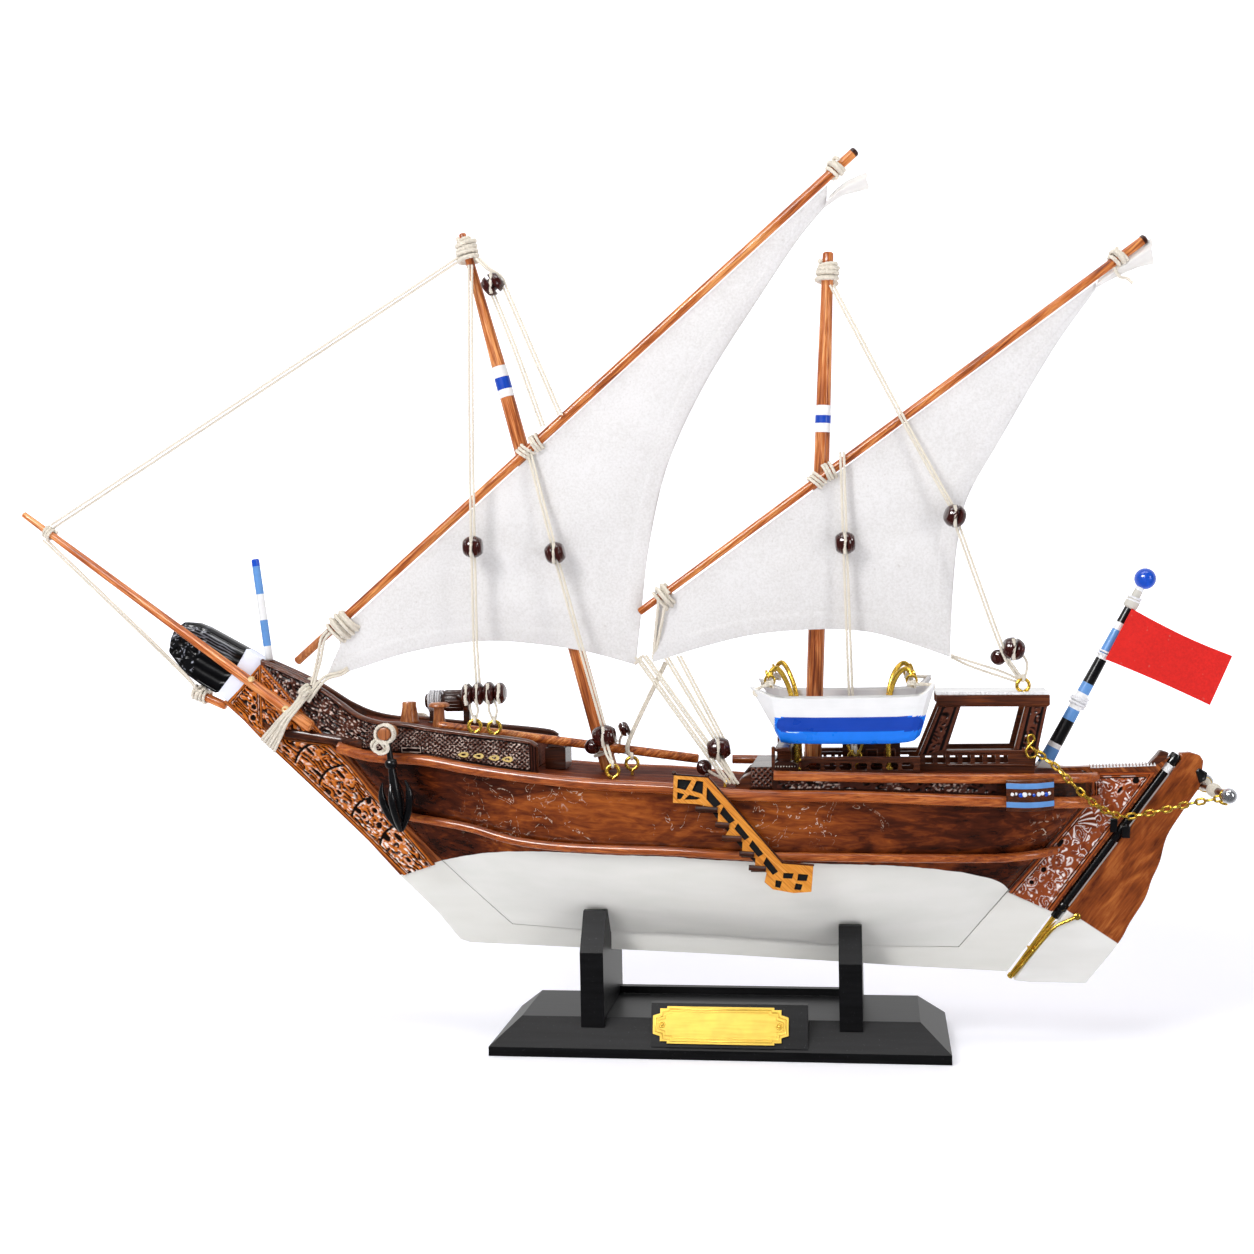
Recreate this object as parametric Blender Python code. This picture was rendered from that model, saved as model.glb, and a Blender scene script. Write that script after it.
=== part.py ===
"""Wooden display model of a two-masted lateen cargo boat, on its stand.

Tables and sizes are in millimetres and become metres when a mesh is made.
The origin is the centre of the stand's underside. The bow points to -X,
starboard to +Y and the mastheads to +Z.
"""
import math

import bmesh
import bpy
from mathutils import Vector
from mathutils.geometry import tessellate_polygon

MM = 0.001
GAP = 0.3  # play between two pieces that touch
SLACK = 0.4  # play where a piece stands on a slope or sits in a slot
SIDES = (("port", -1), ("stbd", 1))

# Stand
BASE_LENGTH, BASE_WIDTH = 208.0, 75.0
BASE_BAND, BASE_HEIGHT = 4.2, 15.4  # upright edge, then the top face
BASE_BEVEL = 13.2  # run of the sloping edge
CRADLE_REACH = 29.0  # half width of a cradle
CRADLE_DEPTH, CRADLE_PLAY = 9.0, 0.5  # height over the keel where the hull's sides are held, and play there
CRADLE_TOP_WIDTH = 3.6
CRADLE_BAR = (20.0, 24.0, 19.0)  # y from, y to, top of the bar that joins the cradles
CRADLES = (  # x from, x to, top, slope starts, keel's underside
    (-62.4, -51.6, 62.8, 45.8, 41.9),
    (55.0, 65.4, 56.9, 42.0, 36.9),
)

# Hull: flat centre plate with the carved stem and sternpost, and the body round it
PLATE_HALF = 3.0
BOW_LOW, BOW_TOP = -99.0, -183.0
STERN_LOW, STERN_TOP = 109.0, 168.2
BOW_BULGE = 5.0
KEEL_EDGE = ((-99, 53.7), (-65, 51.5), (-0.6, 49.2), (55.5, 45.7), (109, 45.0))  # x, z
SHEER = (  # x, z of the hull's top edge
    (-183, 141.0), (-162, 136.5), (-135, 135.2), (-112, 131.5), (-84, 127.8), (-52, 125.0),
    (-19, 123.4), (10, 120.3), (64, 119.1), (110, 116.8), (150, 114.6), (168.2, 113.6),
)
SECTION = (  # height from keel edge to sheer, half breadth amidships
    (0.0, 5.0), (0.1, 12.0), (0.2, 18.5), (0.35, 25.0),
    (0.5, 29.0), (0.62, 30.6), (0.8, 31.2), (1.0, 30.5),
)
FULL_BOW, FULL_STERN, FINE_KEEL = 0.70, 0.42, 0.35  # powers of the plan shape
STATIONS, LEVELS = 34, 10
STATION_SHARES = [0.5 - 0.5 * math.cos(math.pi * i / STATIONS) for i in range(STATIONS + 1)]

STEM_OUTLINE = (  # x, z down the stem's cutwater and along the keel
    (-239.7, 160.4), (-230, 151.7), (-222, 143.3), (-189.6, 113), (-168.7, 93), (-153.7, 76.8),
    (-135.4, 59.2), (-124.6, 46.1), (-119.8, 44.6), (-0.7, 40.2), (55.3, 37.4), (83.8, 35.8),
    (130.6, 33.8),
)
STERNPOST_Z = (36.0, 130.0)  # lower and upper end of the post's edge along the rudder
STERN_TOP_EDGE = ((197.4, 127.8), (154.0, 126.9), (154.0, 125.7), (166.5, 125.4), (166.5, 114.1))
STEM_TOP_EDGE = ((-186.0, 163.0), (-220.6, 180.3))
STEM_HEAD_HALF = 4.0
STEM_HEAD = (  # x, z of the dark carved head above the stem
    (-221.0, 181.4), (-227, 185.7), (-247, 197), (-252, 199), (-258.5, 199.6), (-263.5, 196.5), (-266, 190),
    (-266.4, 184.5), (-259.6, 175), (-244, 165), (-240.0, 160.7),
)

# Rudder, hung on a stock that leans with the sternpost
STOCK_FOOT = (152.0, 58.3)
STOCK_HEAD = (205.0, 129.5)
STOCK_RADIUS, PINTLE_RADIUS = 2.0, 1.2
PINTLE_FOOT_Z, STOCK_CAP_Z = 32.6, 132.0
RUDDER_HALF = 2.5
RUDDER_FRONT_Z = (31.0, 131.6)  # lower and upper end of the blade's edge along the stock
RUDDER_AFT = (  # x, z from the head down the trailing edge
    (212.6, 131.9), (217.8, 130.1), (216.4, 117.9), (208.4, 106.2), (201.8, 95.4), (198.6, 84), (195, 75.9),
    (191.9, 67.2), (185.2, 56.3), (179.8, 46.6), (165.5, 28.7), (140.6, 28.8),
)
YOKE_ROOT = (217.9, 0.0, 118.0)
YOKE_TIP = (224.1, 26.0, 116.8)
YOKE_OVERLAP = 0.4  # how far each arm starts beyond the middle
YOKE_RADIUS, YOKE_BALL = 1.1, 3.5
CHAIN_RADIUS = 0.8
CHAIN_FORE = (
    (143.0, 15.1, 136.4), (148.6, 17.0, 131.6), (153.0, 19.6, 128.0), (158.0, 21.6, 122.4),
    (165.3, 19.6, 115.0), (174.0, 14.0, 108.6), (182.5, 7.6, 105.2))
CHAIN_AFT = ((187.0, 7.2, 105.0), (198.0, 12.0, 108.6), (211.0, 18.0, 112.8), (222.4, 22.6, 116.9))

# Rails: radius, and x, z of the centre line
RAIL_SEAT = 0.45  # play between a rail and the side
RUB_RAIL = (2.0, (
    (-147, 106.0), (-115.1, 101.8), (-94, 96.7), (-73, 94.4), (-44.7, 93.6), (-19.4, 93.2), (13.5, 91.2),
    (39.3, 90.6), (82.9, 89.3), (109.5, 88.4), (130.4, 88.0), (153.5, 89.6)))
SHEER_RAIL = (2.6, (
    (-181, 138.8), (-162.5, 134.9), (-135.6, 133.6), (-112.6, 130.0), (-83.8, 126.3), (-51.7, 123.4),
    (-18.8, 121.7), (10, 118.7), (64, 117.4), (109.6, 115.1), (150, 113.0), (168, 112.3)))
POOP_RAIL = (2.2, ((27.6, 127.2), (71.5, 125.8), (127.3, 124.3), (151, 123.8), (170.7, 122.9)))
POOP_RAIL_STBD_START = (4.0, 127.6)

# Bow bulwarks, forecastle and what stands on it
WALL = 2.2
WALL_MIN = 5.5  # half breadth of a bulwark's outside where it lies on the stem
BULWARK_TOP = (
    (-219.6, 180.6), (-194.3, 168.8), (-172, 154.8), (-158.5, 150.8), (-145.9, 150.2), (-134.5, 148.5),
    (-115.5, 146.2), (-84.2, 142.4), (-80.2, 140.0))
BULWARK_FOOT = ((-219.6, 151.0), (-209, 146.2), (-190, 142.6), (-183, 141.4))
BULWARK_FLARE = ((-190, 0.0), (-165, 2.6), (-130, 2.0), (-80, 0.6))
FORECASTLE_DECK = (  # x, z of the deck's top
    (-172, 152.6), (-160, 149.8), (-146, 149.0), (-131, 146.9), (-115.5, 144.6), (-84.6, 140.2))
DECK_THICK, DECK_PLAY = 2.4, 0.5
BULKHEAD = (-86.9, -84.8, 139.2)  # x from, x to, top of the wall under the deck's aft edge
BULKHEAD_PLAY = 0.8
HATCH = ((-80.5, -70.8), 8.0, 137.6)
BOLLARD = ((-147.0, -3.0), ((0, 4.6), (7.6, 3.4), (10.2, 3.3)))  # x, y, then height and radius
MUSHROOM = ((-131.0, -8.6), ((0, 2.9), (9.2, 2.3), (9.2, 4.6), (10.6, 4.9), (11.9, 3.4)))
WINDLASS = ((-132.2, 8.0), 18.9, (154.2, 164.4))  # x, y of its middle, length, z of the drum
WINDLASS_CHAMFER, WINDLASS_WAIST = 1.0, (8.6, 9.8, 4.0)  # the waist is its start, end and radius
WINDLASS_POSTS = (3.4, 20.2)  # distance of each post from the drum's fore end
WINDLASS_POST = (1.6, 1.8)  # half length, half width
SPAR_ENDS = ((-130.2, -14.6, 149.3), (-8.7, -3.0, 131.7))
SPAR_RADIUS = 2.0
CATHEAD = (-151.0, 147.0, 3.1, 34.0)  # x, z, radius, reach from the middle
CATHEAD_PLAY = 0.5
ANCHOR_TOP = (-150.5, 29.0, 144.2)
ANCHOR_FOOT = (-146.0, 26.5, 103.0)
ANCHOR_SHANK = (  # share of the length, radius
    (0, 1.9), (0.55, 1.4), (0.55, 2.6), (0.62, 2.6), (0.62, 1.3), (1.0, 1.1))
ANCHOR_HEEL = 0.6
ANCHOR_ARM = (  # out, up, radius
    (0.0, 0.0, 1.3), (3.6, -0.9, 1.25), (6.4, 2.6, 1.2), (7.2, 8.0, 1.1), (6.6, 16.0, 0.6))
ANCHOR_ARMS = 4

# Poop
POOP_START, POOP_END = 27.0, 166.0
POOP_TOP = ((27, 128.0), (166, 125.0))
STEP = (17.0, 26.6, 25.0, 130.2)  # x from, x to, half width, top
GALLOWS = ((29.0, 35.2), (17.0, 24.0), 40.0, (137.0, 140.5))  # x, post y, beam reach, beam z
GALLOWS_RISE = 1.4  # how far the beam's underside climbs to its end
CABIN = ((58.0, 84.0), 10.8, 139.8)  # x, half width, top
CANOPY_SIDE_Y = (11.6, 14.0)
CANOPY_FOOT_AFT = 142.9
CANOPY_SIDE = (  # x, z from the low fence aft over the canopy; the foot follows the deck
    (39.5, 133.0), (91.6, 133.0), (101.4, 156.2), (100.6, 156.4), (100.6, 161.1), (149.8, 160.6),
    (149.8, 155.9), (149.0, 155.6), (143.6, 131.0))
CANOPY_WINDOW = ((111.2, 156.1), (139.3, 155.6), (134.2, 136.4), (104.6, 136.4))
FENCE_HOLES = (  # first x, pitch, count, width, z from, z to
    (42.0, 6.0, 8, 4.2, 129.3, 131.6),
    (95.0, 5.5, 7, 3.5, 130.2, 133.7),
)
ROOF = (100.2, 150.2, 15.4, 1.1)  # x from, x to, half width, thickness
ROOF_UNDER = ((100.2, 161.4), (150.2, 160.9))
BADGE = ((129.6, 150.6), (110.4, 124.2), 4.2)  # x, z, how far it bulges
BADGE_DEPTH, BADGE_PLAY = 0.8, 0.9  # thickness at its ends, play over the rail

# Boats, davits and ladder
BOAT_Y = 29.0
BOAT_HALF = 8.0
BOAT_STATIONS = (  # x at keel, x at gunwale, half breadth, keel z, gunwale z
    (28.5, 17.5, 0.22, 147.0, 167.0), (31.5, 24.0, 0.62, 142.6, 163.6), (36.0, 31.0, 0.88, 141.4, 161.9),
    (48.0, 46.0, 1.0, 141.0, 161.6), (66.0, 66.0, 1.0, 140.9, 161.6), (80.0, 84.0, 0.95, 141.0, 161.7),
    (88.0, 93.5, 0.80, 141.6, 162.6), (92.5, 99.0, 0.50, 144.5, 167.6),
)
BOAT_SECTION = ((0.0, 0.25), (0.12, 0.72), (0.4, 0.9), (1.0, 1.0))  # height, breadth
BOAT_SHELL = 1.3
BOAT_WELL_RISE = 1.0  # how far the tool that hollows the boat stands over the gunwale
DAVIT_RADIUS = 1.1
DAVIT_FOOT = (1.6, 0.8, 0.6)  # run beyond the davits, half width, height over their feet
DAVITS = (  # x, y, z along each davit from its foot
    ((37.4, 18.6, 129.0), (37.0, 18.8, 150.0), (35.6, 19.6, 162.0), (32.6, 21.8, 170.5), (29.6, 24.6, 174.6),
     (27.2, 27.2, 173.4), (26.6, 28.6, 171.0)),
    ((78.6, 18.6, 129.0), (78.8, 18.8, 150.0), (79.8, 19.6, 162.0), (82.6, 21.8, 170.0), (86.2, 24.6, 173.6),
     (88.6, 27.2, 172.6), (89.2, 28.6, 170.4)),
)
LADDER_Y = (36.6, 38.2)
LADDER = (  # x, z of the outline, from the head platform down
    (-16.4, 128.2), (-1.2, 127.0), (31.1, 88.9), (44.9, 87.8), (43.8, 76.2), (26.6, 77.4),
    (-1.6, 115.2), (-17.0, 115.8))
LADDER_WINDOWS = 5
LADDER_WINDOW = ((0.30, 1.0), (0.24, 0.72))  # shares of a window's pitch, and of the ladder's depth
LADDER_LANDING = 0.2  # share of a pitch left solid at the foot
LADDER_HEAD_HOLES = (
    ((-15.0, 126.2), (-7.2, 125.6), (-12.6, 118.0), (-15.2, 118.0)),
    ((-5.6, 125.2), (-2.8, 124.8), (-2.8, 117.6), (-10.8, 117.6)),
)

# Spars: start and end points, and the radii at start, middle and end
SPARS = {
    "main_mast": ((-51.2, 0, 126.4), (-116.6, 0, 381.0), (4.0, 3.6, 1.7)),
    "mizzen_mast": ((43.9, 0, 128.4), (55.1, 0, 364.0), (4.0, 3.6, 2.1)),
    "main_yard": ((-201.4, -5.7, 179.6), (68.6, -5.7, 408.2), (1.9, 2.2, 2.0)),
    "mizzen_yard": ((-34.4, -9.6, 200.6), (195.2, -6.2, 362.4), (1.7, 2.0, 1.8)),
    "bowsprit": ((-193.9, -8.0, 148.3), (-337.6, -8.0, 253.9), (1.8, 2.1, 1.5)),
    "jackstaff": ((-217.1, 0, 180.3), (-223.0, 0, 229.5), (1.7, 2.0, 1.7)),
    "bumpkin": ((-239.5, 0, 158.2), (-256.0, 0, 165.6), (1.5, 1.7, 1.5)),
}
FLAGSTAFF_FOOT, FLAGSTAFF_HEAD = (148.3, 0, 127.5), (191.4, 0, 206.6)
FLAGSTAFF_RADII, FLAGSTAFF_BALL = (3.4, 2.0), 4.8
FLAG_CORNERS = ((187.6, 198.2), (230.6, 176.4), (220.6, 154.6), (175.8, 175.6))
FLAG_Y = (-3.8, -3.0)

# Sails: x, z of the foot and leech from tack to peak, and how far each billows
MAIN_SAIL = (3.0, (
    (-187.0, 171.6), (-171.3, 175.9), (-149, 182.6), (-126, 186.8), (-105.7, 188.2), (-85.6, 186.6),
    (-61.4, 182.8), (-37.1, 176.1), (-34.2, 197.9), (-29.9, 230.2), (-20.2, 268.8), (-1.4, 306.8),
    (24.1, 345.0), (41.8, 370.0), (63.0, 392.0)))
MIZZEN_SAIL = (2.6, (
    (-28.6, 177.3), (-2.4, 184.8), (19, 189.4), (40.1, 191.1), (55.5, 191.2), (71.3, 189.6), (86.5, 185.2),
    (107.0, 177.8), (108.6, 205.0), (111.3, 230.2), (116.0, 249.9), (130.5, 275.0), (154.2, 314.3),
    (179.4, 346.0), (188.0, 353.4)))
SAIL_HEADS = {  # x where the head starts and ends along the yard
    "main_sail": ("main_yard", -176.0, 59.0),
    "mizzen_sail": ("mizzen_yard", -27.0, 184.0),
}
SAIL_THICK, SAIL_COLUMNS, SAIL_ROWS = 0.9, 18, 5
SAIL_SWING = 2.6  # how far the leech hangs inboard of the yard
SAIL_PLAY = 0.5  # play between the sail's head and the yard
SAIL_FULLNESS = 0.8  # share of a half wave that the belly makes from yard to edge

# Rigging: lines with the blocks and eyes on them, and the turns round a spar
LINE_RADIUS = 0.9
BLOCK_PROFILE = ((0, 2.4), (0.8, 4.6), (3.2, 5.2), (5.2, 3.4), (7.2, 5.2), (9.6, 4.6), (10.4, 2.4))
BLOCK_AXIS = (1, 0.03, 0)
EYE_RING, EYE_WIRE, EYE_SHANK = 3.1, 0.75, 0.8
WRAP_WIRE = 1.1
RIGGING = {  # eyes are x, y, z of the ring and z of the wood below; wraps are centre, spar and ring radius
    "rigging_bow": {
        "lines": (
            ((-117.2, -0.6, 369.4), (-322.9, -7.8, 247.4)),
            ((-326.2, -8.0, 241.4), (-262.4, -6.2, 179.0), (-251.6, -3.0, 164.6))),
        "wraps": (
            ((-113.8, 0, 370.0), "main_mast", 3.5),
            ((-324.6, -8.0, 244.3), "bowsprit", 3.6),
            ((-251.8, 0, 163.7), "bumpkin", 3.2))},
    "rigging_main_fore": {
        "lines": (
            ((-112.4, -3.4, 365.4), (-110.7, -17.0, 232.4), (-112.8, -21.0, 163.8), (-110.5, -22.4, 153.2)),
            ((-111.7, -19.0, 198.0), (-102.0, -20.8, 164.6), (-101.2, -22.6, 152.2))),
        "blocks": ((-110.7, -17.0, 232.4), (-112.8, -21.0, 163.8), (-102.0, -21.0, 164.2)),
        "eyes": ((-110.5, -22.6, 150.2, 146.0), (-101.2, -22.8, 149.4, 144.9)),
        "wraps": (((-112.6, 0, 365.4), "main_mast", 3.5),)},
    "rigging_main_aft": {
        "lines": (
            ((-84.8, -10.4, 275.8), (-72.2, -16.0, 228.8), (-56.4, -17.0, 182.8), (-51.0, -15.6, 143.6),
             (-46.0, -24.8, 131.4)),
            ((-51.0, -15.6, 143.6), (-39.4, -9.6, 133.2))),
        "blocks": ((-72.2, -16.0, 228.8), (-51.0, -15.6, 143.6)),
        "eyes": ((-46.0, -25.4, 128.8, 124.9), (-39.4, -9.0, 130.2, 124.7))},
    "rigging_mizzen_aft": {
        "lines": (
            ((58.4, -3.2, 348.4), (87.0, -11.0, 286.8), (109.6, -17.4, 241.0), (128.4, -17.0, 182.0),
             (135.0, -14.0, 181.0), (138.4, -12.4, 168.6)),),
        "blocks": ((109.6, -17.4, 241.0), (133.2, -14.6, 181.2)),
        "eyes": ((138.7, -12.2, 166.0, 162.3),),
        "wraps": (((54.4, 0, 348.8), "mizzen_mast", 4.0),)},
    "rigging_mizzen_fore": {
        "lines": (((60.1, -11.7, 271.6), (60.8, -16.0, 230.3), (62.3, -15.4, 159.5), (63.4, -15.6, 136.6)),),
        "blocks": ((60.8, -16.0, 230.3),),
        "eyes": ((63.6, -15.6, 133.4, 127.5),)},
}

# Nameplate on its sloping block
BACKING = (-29.5, 41.0)
BACKING_SECTION = ((-36.6, 5.4), (-30.4, 23.8), (-26.6, 23.8), (-26.6, 14.0))  # y, z
NAMEPLATE_CENTRE_X, NAMEPLATE_LENGTH, NAMEPLATE_DEPTH, NAMEPLATE_THICK = 2.0, 61.0, 16.4, 0.8
NOTCH = 3.2

FINISHES = {  # colour, roughness, metallic
    "black": ((0.012, 0.012, 0.014), 0.45, 0.0),
    "gold": ((0.80, 0.55, 0.12), 0.3, 1.0),
    "hull_wood": ((0.20, 0.065, 0.015), 0.3, 0.0),
    "rail_wood": ((0.36, 0.13, 0.045), 0.3, 0.0),
    "carved_wood": ((0.30, 0.09, 0.02), 0.35, 0.0),
    "dark_wood": ((0.06, 0.02, 0.010), 0.35, 0.0),
    "spar_wood": ((0.42, 0.16, 0.06), 0.4, 0.0),
    "white": ((0.83, 0.83, 0.80), 0.5, 0.0),
    "blue": ((0.0, 0.06, 0.42), 0.3, 0.0),
    "red": ((0.75, 0.015, 0.012), 0.5, 0.0),
    "canvas": ((0.85, 0.84, 0.80), 0.9, 0.0),
    "rope": ((0.80, 0.75, 0.66), 0.9, 0.0),
    "block": ((0.07, 0.012, 0.008), 0.2, 0.0),
    "ply": ((0.60, 0.24, 0.04), 0.5, 0.0),
}


def clear_scene():
    for item in list(bpy.data.objects):
        bpy.data.objects.remove(item, do_unlink=True)


def finish(name):
    found = bpy.data.materials.get(name)
    if found:
        return found
    colour, roughness, metallic = FINISHES[name]
    made = bpy.data.materials.new(name)
    made.use_nodes = True
    shader = made.node_tree.nodes["Principled BSDF"]
    shader.inputs["Base Color"].default_value = (*colour, 1.0)
    shader.inputs["Roughness"].default_value = roughness
    shader.inputs["Metallic"].default_value = metallic
    return made


def add_solid(name, verts, faces, look, smooth_angle=35):
    """Makes an object from points in millimetres, with its faces turned outward."""
    bm = bmesh.new()
    made = [bm.verts.new((x * MM, y * MM, z * MM)) for x, y, z in verts]
    for face in faces:
        bm.faces.new([made[i] for i in face])
    bmesh.ops.recalc_face_normals(bm, faces=bm.faces)
    mesh = bpy.data.meshes.new(name)
    bm.to_mesh(mesh)
    bm.free()
    mesh.shade_smooth()
    mesh.set_sharp_from_angle(angle=math.radians(smooth_angle))
    mesh.materials.append(finish(look))
    item = bpy.data.objects.new(name, mesh)
    bpy.context.scene.collection.objects.link(item)
    return item


def look_up(table, at):
    """Reads a two-column table at a place between its rows."""
    if at <= table[0][0]:
        return table[0][1]
    for (a, low), (b, high) in zip(table, table[1:]):
        if at <= b:
            return low + (high - low) * (at - a) / (b - a)
    return table[-1][1]


def mix(a, b, share):
    return a + (b - a) * share


def loft(name, rings, look, smooth_angle=35):
    """Joins closed rings of equal count, and closes both ends."""
    count = len(rings[0])
    verts = [point for ring in rings for point in ring]
    faces = [list(range(count))]
    for row in range(len(rings) - 1):
        for i in range(count):
            j = (i + 1) % count
            a, b = row * count, (row + 1) * count
            faces.append((a + i, a + j, b + j, b + i))
    faces.append(list(range(len(verts) - count, len(verts))))
    return add_solid(name, verts, faces, look, smooth_angle)


def box(name, x, y, z, look):
    corners = [(x[0], y[0]), (x[1], y[0]), (x[1], y[1]), (x[0], y[1])]
    return loft(name, [[(a, b, level) for a, b in corners] for level in z], look)


def plate(name, loops, low, high, look, across="y"):
    """Flat piece of even thickness: the first loop is its outline, the rest are holes."""
    orders = {"x": lambda a, b, c: (c, a, b), "y": lambda a, b, c: (a, c, b), "z": lambda a, b, c: (a, b, c)}
    order = orders[across]
    flat = [point for loop in loops for point in loop]
    caps = tessellate_polygon([[Vector((a, b, 0.0)) for a, b in loop] for loop in loops])
    count = len(flat)
    verts = [order(a, b, low) for a, b in flat] + [order(a, b, high) for a, b in flat]
    faces = [tuple(tri) for tri in caps] + [tuple(i + count for i in tri) for tri in caps]
    start = 0
    for loop in loops:
        size = len(loop)
        for i in range(size):
            a, b = start + i, start + (i + 1) % size
            faces.append((a, b, b + count, a + count))
        start += size
    return add_solid(name, verts, faces, look, 20)


def tube(name, points, radii, look, sides=8):
    """Round bar along points; radii is one number or one for each point."""
    path = [Vector(point) for point in points]
    if not isinstance(radii, (list, tuple)):
        radii = [radii] * len(path)
    across = (path[-1] - path[0]).normalized().orthogonal()
    rings = []
    for i, point in enumerate(path):
        along = (path[min(i + 1, len(path) - 1)] - path[max(i - 1, 0)]).normalized()
        across = (across - along * across.dot(along)).normalized()
        other = along.cross(across)
        ring = []
        for k in range(sides):
            turn = 2 * math.pi * k / sides
            ring.append(tuple(point + (across * math.cos(turn) + other * math.sin(turn)) * radii[i]))
        rings.append(ring)
    return loft(name, rings, look, 50)


def turned(name, start, direction, profile, look, sides=12):
    """Piece turned on an axis; the profile gives distance along it and radius."""
    along = Vector(direction).normalized()
    across = along.orthogonal().normalized()
    other = along.cross(across)
    rings = []
    for distance, radius in profile:
        centre = Vector(start) + along * distance
        ring = []
        for k in range(sides):
            turn = 2 * math.pi * k / sides
            ring.append(tuple(centre + (across * math.cos(turn) + other * math.sin(turn)) * radius))
        rings.append(ring)
    return loft(name, rings, look, 40)


def ball_profile(centre, radius, share, steps):
    """Profile of a ball from where it leaves a bar, at a share of half a turn, to near its far pole."""
    made = []
    for k in range(1, steps):
        turn = math.pi * mix(share, 1.0, k / steps)
        made.append((centre - radius * math.cos(turn), radius * math.sin(turn)))
    return made


def mirrored(half):
    """Outline made of a half on the positive side and its mirror image."""
    return [(-y, z) for y, z in half] + half[::-1]


def fuse(name, pieces, look):
    """Joins overlapping shapes into one closed body."""
    base = pieces[0]
    for piece in pieces[1:]:
        join = base.modifiers.new("join", "BOOLEAN")
        join.operation = "UNION"
        join.solver = "EXACT"
        join.object = piece
    bpy.context.view_layer.update()
    graph = bpy.context.evaluated_depsgraph_get()
    mesh = bpy.data.meshes.new_from_object(base.evaluated_get(graph))
    base.modifiers.clear()
    base.data = mesh
    base.name = name
    mesh.name = name
    mesh.materials.clear()
    mesh.materials.append(finish(look))
    for piece in pieces[1:]:
        bpy.data.objects.remove(piece, do_unlink=True)
    return base


def smooth_path(points, steps):
    """Points on a smooth curve through the given ones."""
    path = [Vector(point) for point in points]
    ends = [path[0] * 2 - path[1]] + path + [path[-1] * 2 - path[-2]]
    made = []
    for i in range(1, len(ends) - 2):
        a, b, c, d = ends[i - 1:i + 3]
        for k in range(steps):
            t = k / steps
            made.append(0.5 * (b * 2 + (c - a) * t + (a * 2 - b * 5 + c * 4 - d) * t * t
                               + (b * 3 - a - c * 3 + d) * t * t * t))
    made.append(path[-1])
    return [tuple(point) for point in made]


def hull_point(u, t):
    """Hull surface: u runs from bow to stern, t from keel edge to sheer."""
    low = mix(BOW_LOW, STERN_LOW, u)
    top = mix(BOW_TOP, STERN_TOP, u)
    x = mix(low, top, t) - BOW_BULGE * math.sin(math.pi * t) * (1 - u) ** 2
    z = mix(look_up(KEEL_EDGE, low), look_up(SHEER, top), t)
    power = mix(FULL_BOW, FULL_STERN, u) + FINE_KEEL * (1 - t)
    swell = max(math.sin(math.pi * u), 0.0) ** power
    return x, PLATE_HALF + (look_up(SECTION, t) - PLATE_HALF) * swell, z


def hull_half(x, z):
    """Half breadth of the hull at a place on its side."""
    u, t = 0.5, 0.5
    for _ in range(40):
        low = mix(BOW_LOW, STERN_LOW, u)
        top = mix(BOW_TOP, STERN_TOP, u)
        foot, edge = look_up(KEEL_EDGE, low), look_up(SHEER, top)
        t = min(max((z - foot) / (edge - foot), 0.0), 1.0)
        fore = mix(BOW_LOW, BOW_TOP, t) - BOW_BULGE * math.sin(math.pi * t) * (1 - u) ** 2
        aft = mix(STERN_LOW, STERN_TOP, t)
        u = min(max((x - fore) / (aft - fore), 0.0), 1.0)
    return hull_point(u, t)[1]


def station_xs():
    return [mix(BOW_TOP, STERN_TOP, u) for u in STATION_SHARES]


def hull_top(x):
    """Height of the hull's flat top, which is straight from station to station."""
    return look_up([(at, look_up(SHEER, at)) for at in station_xs()], x)


def sheer_half(x):
    return look_up([(at, hull_half(at, look_up(SHEER, at))) for at in station_xs()], x)


def stock_point(z, offset=0.0):
    """Point of the rudder's axis at a height, moved aft square to the axis."""
    run = (STOCK_HEAD[0] - STOCK_FOOT[0]) / (STOCK_HEAD[1] - STOCK_FOOT[1])
    slope = math.atan(run)
    return STOCK_FOOT[0] + (z - STOCK_FOOT[1]) * run + offset * math.cos(slope), z - offset * math.sin(slope)


def make_stand():
    half_l, half_w = BASE_LENGTH / 2, BASE_WIDTH / 2
    rings = []
    for inset, level in ((0, 0), (0, BASE_BAND), (BASE_BEVEL, BASE_HEIGHT)):
        a, b = half_l - inset, half_w - inset
        rings.append([(-a, -b, level), (a, -b, level), (a, b, level), (-a, b, level)])
    loft("stand_base", rings, "black", 10)

    pieces = []
    for x0, x1, top, slope, keel in CRADLES:
        slot = PLATE_HALF + SLACK
        inner = []
        for k in range(7):
            z = mix(top, keel + CRADLE_DEPTH, k / 6)
            inner.append((max(hull_half(x0, z) + CRADLE_PLAY, hull_half(x1, z) + CRADLE_PLAY, slot), z))
        side = [(CRADLE_REACH, bevel_height(CRADLE_REACH) + SLACK), (CRADLE_REACH, slope)]
        side += [(inner[0][0] + CRADLE_TOP_WIDTH, top)] + inner
        side += [(slot, inner[-1][1] - 2 * SLACK), (slot, keel - GAP)]
        edge, foot = half_w - BASE_BEVEL, BASE_HEIGHT + SLACK
        outline = mirrored(side) + [(edge, foot), (-edge, foot)]
        pieces.append(plate("cradle", [outline], x0, x1, "black", "x"))
    y0, y1, top = CRADLE_BAR
    ends = CRADLES[0][1] - 1, CRADLES[1][0] + 1
    pieces.append(box("bar", ends, (y0, y1), (BASE_HEIGHT + GAP, top), "black"))
    fuse("stand_cradles", pieces, "black")

    plate("plate_backing", [BACKING_SECTION], BACKING[0], BACKING[1], "black", "x")
    make_nameplate()


def bevel_height(y):
    """Height of the base's sloping edge at a distance from the middle."""
    return BASE_BAND + (BASE_WIDTH / 2 - y) * (BASE_HEIGHT - BASE_BAND) / BASE_BEVEL


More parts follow.
